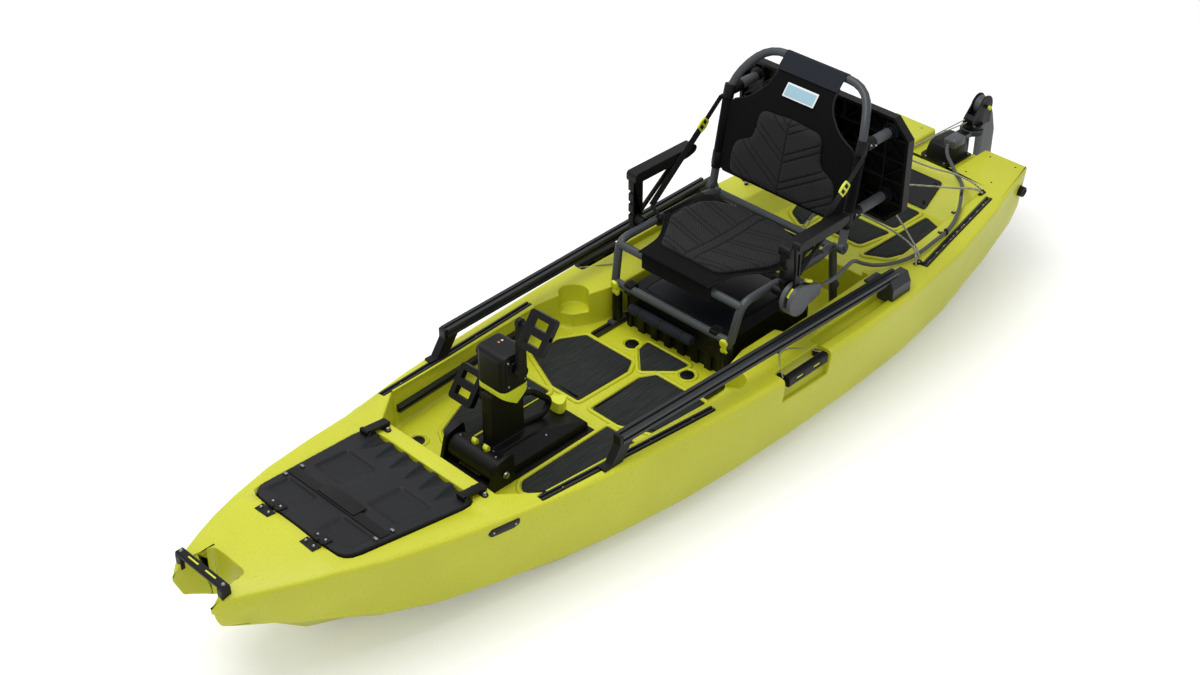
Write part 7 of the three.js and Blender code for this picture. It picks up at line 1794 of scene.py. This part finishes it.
# %% Stern deck trim
CLIP_RADIUS = 0.0082
HOSE_CLIPS = ((-1.020, 0.309, 0.342, 0.2), (-1.215, 0.224, 0.353, 0.7))
plate_low, plate_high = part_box("stern_plate")
spots = [(x, y) for x in (plate_low.x + 0.018, plate_high.x - 0.016) for y in (-0.088, 0.088)]
places = stands(surface_of("stern_plate"), spots)
fasteners("stern_plate_screws", places, 0.0065, 0.0035, black_look, "boat")
spots = [(x, y) for x in (-1.365, -1.498) for y in (0.137, 0.234, -0.137, -0.234)]
plugs = [disc_mesh(place, 0.0032, 0.0012, 16) for place in stands(hull_surface, spots, -0.0006)]
piece("deck_plugs", join_meshes(*plugs), black_look, "boat", "black_plastic")
for number, (x, y, z, turn) in enumerate(HOSE_CLIPS, 1):
    loop = ring((x, y, z), CLIP_RADIUS, 20, (math.sin(turn), math.cos(turn), 0.0), UP)
    clip = tube_mesh(loop, 0.0022, smooth=False, closed=True)
    bmesh.ops.scale(clip, vec=(2.2, 1.0, 1.0), verts=clip.verts, space=at(-x, -y, -z))
    foot_z = landing(hull_surface, (x, y - 0.012, ABOVE))[0].z
    tab_outline = soft_box(0.014, 0.026, 0.004, x, y - 0.014)
    tab = plate_mesh([tab_outline], 0.0024, 0.0006, at(0.0, 0.0, foot_z + 0.0014))
    piece("hose_clip_%d" % number, join_meshes(clip, tab), black_look, "boat", "black_plastic")
    screw = stand_on((x, y - 0.020, foot_z + 0.0026), UP)
    fasteners("hose_clip_screw_%d" % number, [screw], 0.0038, 0.002, steel_look, "boat")
print("stern trimmed")

# %% [markdown]
# ## Track screws and marks
# Each track is screwed down every hand's breadth, and the rear tracks have bright setting marks
# between the screws. A track is slotted, so each place is felt for across its width.

# %% Track screws
def row_on(name, count, inset=0.0):
    """Places along the top of a track, evenly spaced."""
    low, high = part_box(name)
    surface = surface_of(name)
    places = []
    for step in range(count):
        share = (step + 0.5) / count
        x = low.x + inset + (high.x - low.x - 2 * inset) * share
        hits = [landing(surface, (x, low.y + (high.y - low.y) * k / 40, 0.8))[0] for k in range(1, 40)]
        hits = [place for place in hits if place]
        if hits:
            places.append(hits[len(hits) // 2])
    return places


for side in ("port", "starboard"):
    for name, count in (("rear_track_", 8), ("front_track_", 4)):
        places = [stand_on(place, UP, -0.0004) for place in row_on(name + side, count)]
        fasteners(name + "screws_" + side, places, 0.0032, 0.0016, steel_look, "boat")
    marks = [
        plate_mesh([box_outline(0.010, 0.004)], 0.001, 0.0002, stand_on(place, UP, 0.0001))
        for place in row_on("rear_track_" + side, 9, 0.02)
    ]
    piece("rear_track_marks_" + side, join_meshes(*marks), accent_look, "boat", "accent_plastic")
print("tracks trimmed")

# %% [markdown]
# ## Handles and pad eyes
# The side handles are black bars with two bright inlays, tied to a pad eye by a short rope loop. The
# handle lifts a little out of its pocket, so the rope is blended from the handle to the boat. Pad
# eyes also hold the bungee where it turns.

# %% Side handles and pad eyes
def pad_eye(name, x, y, turn=0.0):
    """An oval foot with a wire arch on it, standing on the hull."""
    stand = stand_on(*landing(hull_surface, (x, y, ABOVE))) @ Matrix.Rotation(turn, 4, "Z")
    foot = plate_mesh([soft_box(0.034, 0.013, 0.006)], 0.0024, 0.0008, stand @ at(0.0, 0.0, 0.0012))
    angles = [math.pi * step / 12 for step in range(13)]
    arch = [stand @ Vector((0.009 * math.cos(a), 0.0, 0.002 + 0.011 * math.sin(a))) for a in angles]
    loop = tube_mesh([tuple(p) for p in arch], 0.0021)
    return piece(name, join_meshes(foot, loop), black_look, "boat", "black_plastic")


HANDLE_X, HANDLE_Z = -0.238, 0.284
HANDLES = {"port": "handle_p", "starboard": "handle_s"}
INLAY_STEP = 0.0365
ROPE_EYE_X = -0.234
ROPE_ROUTE = [(-322, 397, 292), (-285, 352, 303), (-234, 324, 306), (-190, 352, 303), (-152, 397, 292)]
BUNGEE_EYES = ((-0.846, 0.338), (-1.288, 0.252))
for side, word in SIDES:
    handle_low, handle_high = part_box("side_handle_" + word)
    outer_y = handle_high.y if side > 0 else handle_low.y
    inlays = []
    for step in (INLAY_STEP, -INLAY_STEP):
        place = axes((HANDLE_X + step, outer_y - side * 0.004, HANDLE_Z), (1, 0, 0), UP)
        inlays.append(plate_mesh([soft_box(0.029, 0.0075, 0.002)], 0.003, 0.0006, place))
    piece("handle_inlays_" + word, join_meshes(*inlays), accent_look, HANDLES[word], "accent_plastic")
    pad_eye("rope_eye_" + word, ROPE_EYE_X, side * 0.318, 0.3)
    ends = (ROPE_EYE_X, side * 0.385, 0.29), (ROPE_EYE_X, side * 0.328, 0.30)
    laid_cord(
        "handle_rope_" + word, [(x, side * y, z) for x, y, z in ROPE_ROUTE], 0.0019, cord_look, "cord",
        "limp", "hanging", between=(HANDLES[word], "boat", *ends),
    )
    for number, (x, y) in enumerate(BUNGEE_EYES, 1):
        pad_eye("bungee_eye_%d_%s" % (number, word), x, side * y, side * 0.6)
print("handles and eyes made")

# %% [markdown]
# ## The cockpit's lip
# Beside the front tracks the cockpit's wall ends in a narrow rounded lip. Its corner is found by
# feeling up the wall with rays until they pass over it, and a bead of hull colour is laid along it.

# %% Cockpit lips
LIP_STATIONS = [0.10 + 0.033 * step for step in range(18)]
LIP_RADIUS = 0.0036


def wall_top(x, side):
    """The top inner corner of the cockpit's wall at x."""
    low, high = 0.265, 0.34
    wall = landing(hull_surface, (x, side * 0.1, low), (0, side, 0))[0].y
    for _ in range(12):
        middle = (low + high) / 2
        hit = landing(hull_surface, (x, side * 0.1, middle), (0, side, 0))[0]
        if hit is not None and abs(hit.y - wall) < 0.004:
            low = middle
        else:
            high = middle
    return Vector((x, wall, low - LIP_RADIUS * 0.5))


for side, word in SIDES:
    path = [tuple(wall_top(x, side)) for x in LIP_STATIONS]
    bead = tube_mesh(path, LIP_RADIUS)
    piece("cockpit_lip_" + word, bead, hull_look, "boat", "hull_plastic", smooth=60.0)
    print("lip", word, [round(c, 3) for c in path[0]], [round(c, 3) for c in path[-1]])

# %% [markdown]
# ## Drum tabs and side plate
# The steering drum's two bright tabs work its friction. A plate is screwed to the bow's port side;
# it stays bare.

# %% Drum tabs and side plate
TAB = [(-0.016, -0.005), (0.014, -0.007), (0.018, 0.0), (0.014, 0.007), (-0.016, 0.005)]
TAB_PLACES = ((0.045, 0.012, (0.9, 0, 0.5)), (0.118, 0.020, (0.8, 0, -0.7)))
SIDE_PLATE = [
    (-0.046, -0.014), (0.036, -0.014), (0.046, 0.0), (0.036, 0.013), (-0.030, 0.013), (-0.046, 0.004),
]
drum_low, drum_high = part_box("steering_drum")
drum_y = (drum_low.y + drum_high.y) / 2
tabs = []
for behind, below, way in TAB_PLACES:
    place = axes((drum_low.x + behind, drum_y, drum_high.z - below), way, (0, 1, 0))
    tabs.append(plate_mesh([rounded(TAB, 0.002)], 0.008, 0.0012, place))
piece("drum_tabs", join_meshes(*tabs), accent_look, "seat", "accent_plastic")

(rear, rear_normal), (front, front_normal) = (
    landing(hull_surface, (x, 0.6, 0.290), (0, -1, 0)) for x in (0.788, 0.842)
)
along = (front - rear).normalized()
normal = (rear_normal + front_normal).normalized()
turn = Matrix((along, normal.cross(along), normal)).transposed().to_4x4()
side_place = Matrix.Translation((rear + front) / 2) @ turn
plate = plate_mesh([rounded(SIDE_PLATE, 0.004)], 0.0036, 0.001, side_place @ at(0.0, 0.0, 0.0016))
piece("side_plate", plate, black_look, "boat", "black_plastic")
places = [side_place @ at(x, -0.001, 0.0034) for x in (-0.034, 0.030)]
fasteners("side_plate_screws", places, 0.0034, 0.0016, steel_look, "boat")
print("drum tabs and plate made")

# %% [markdown]
# ## The finished sizes
# The box over every shown piece but the floor is written out, in metres.

# %% Sizes and finish
low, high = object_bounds()
print("finished box in metres", [round(v, 3) for v in (*low, *high)])
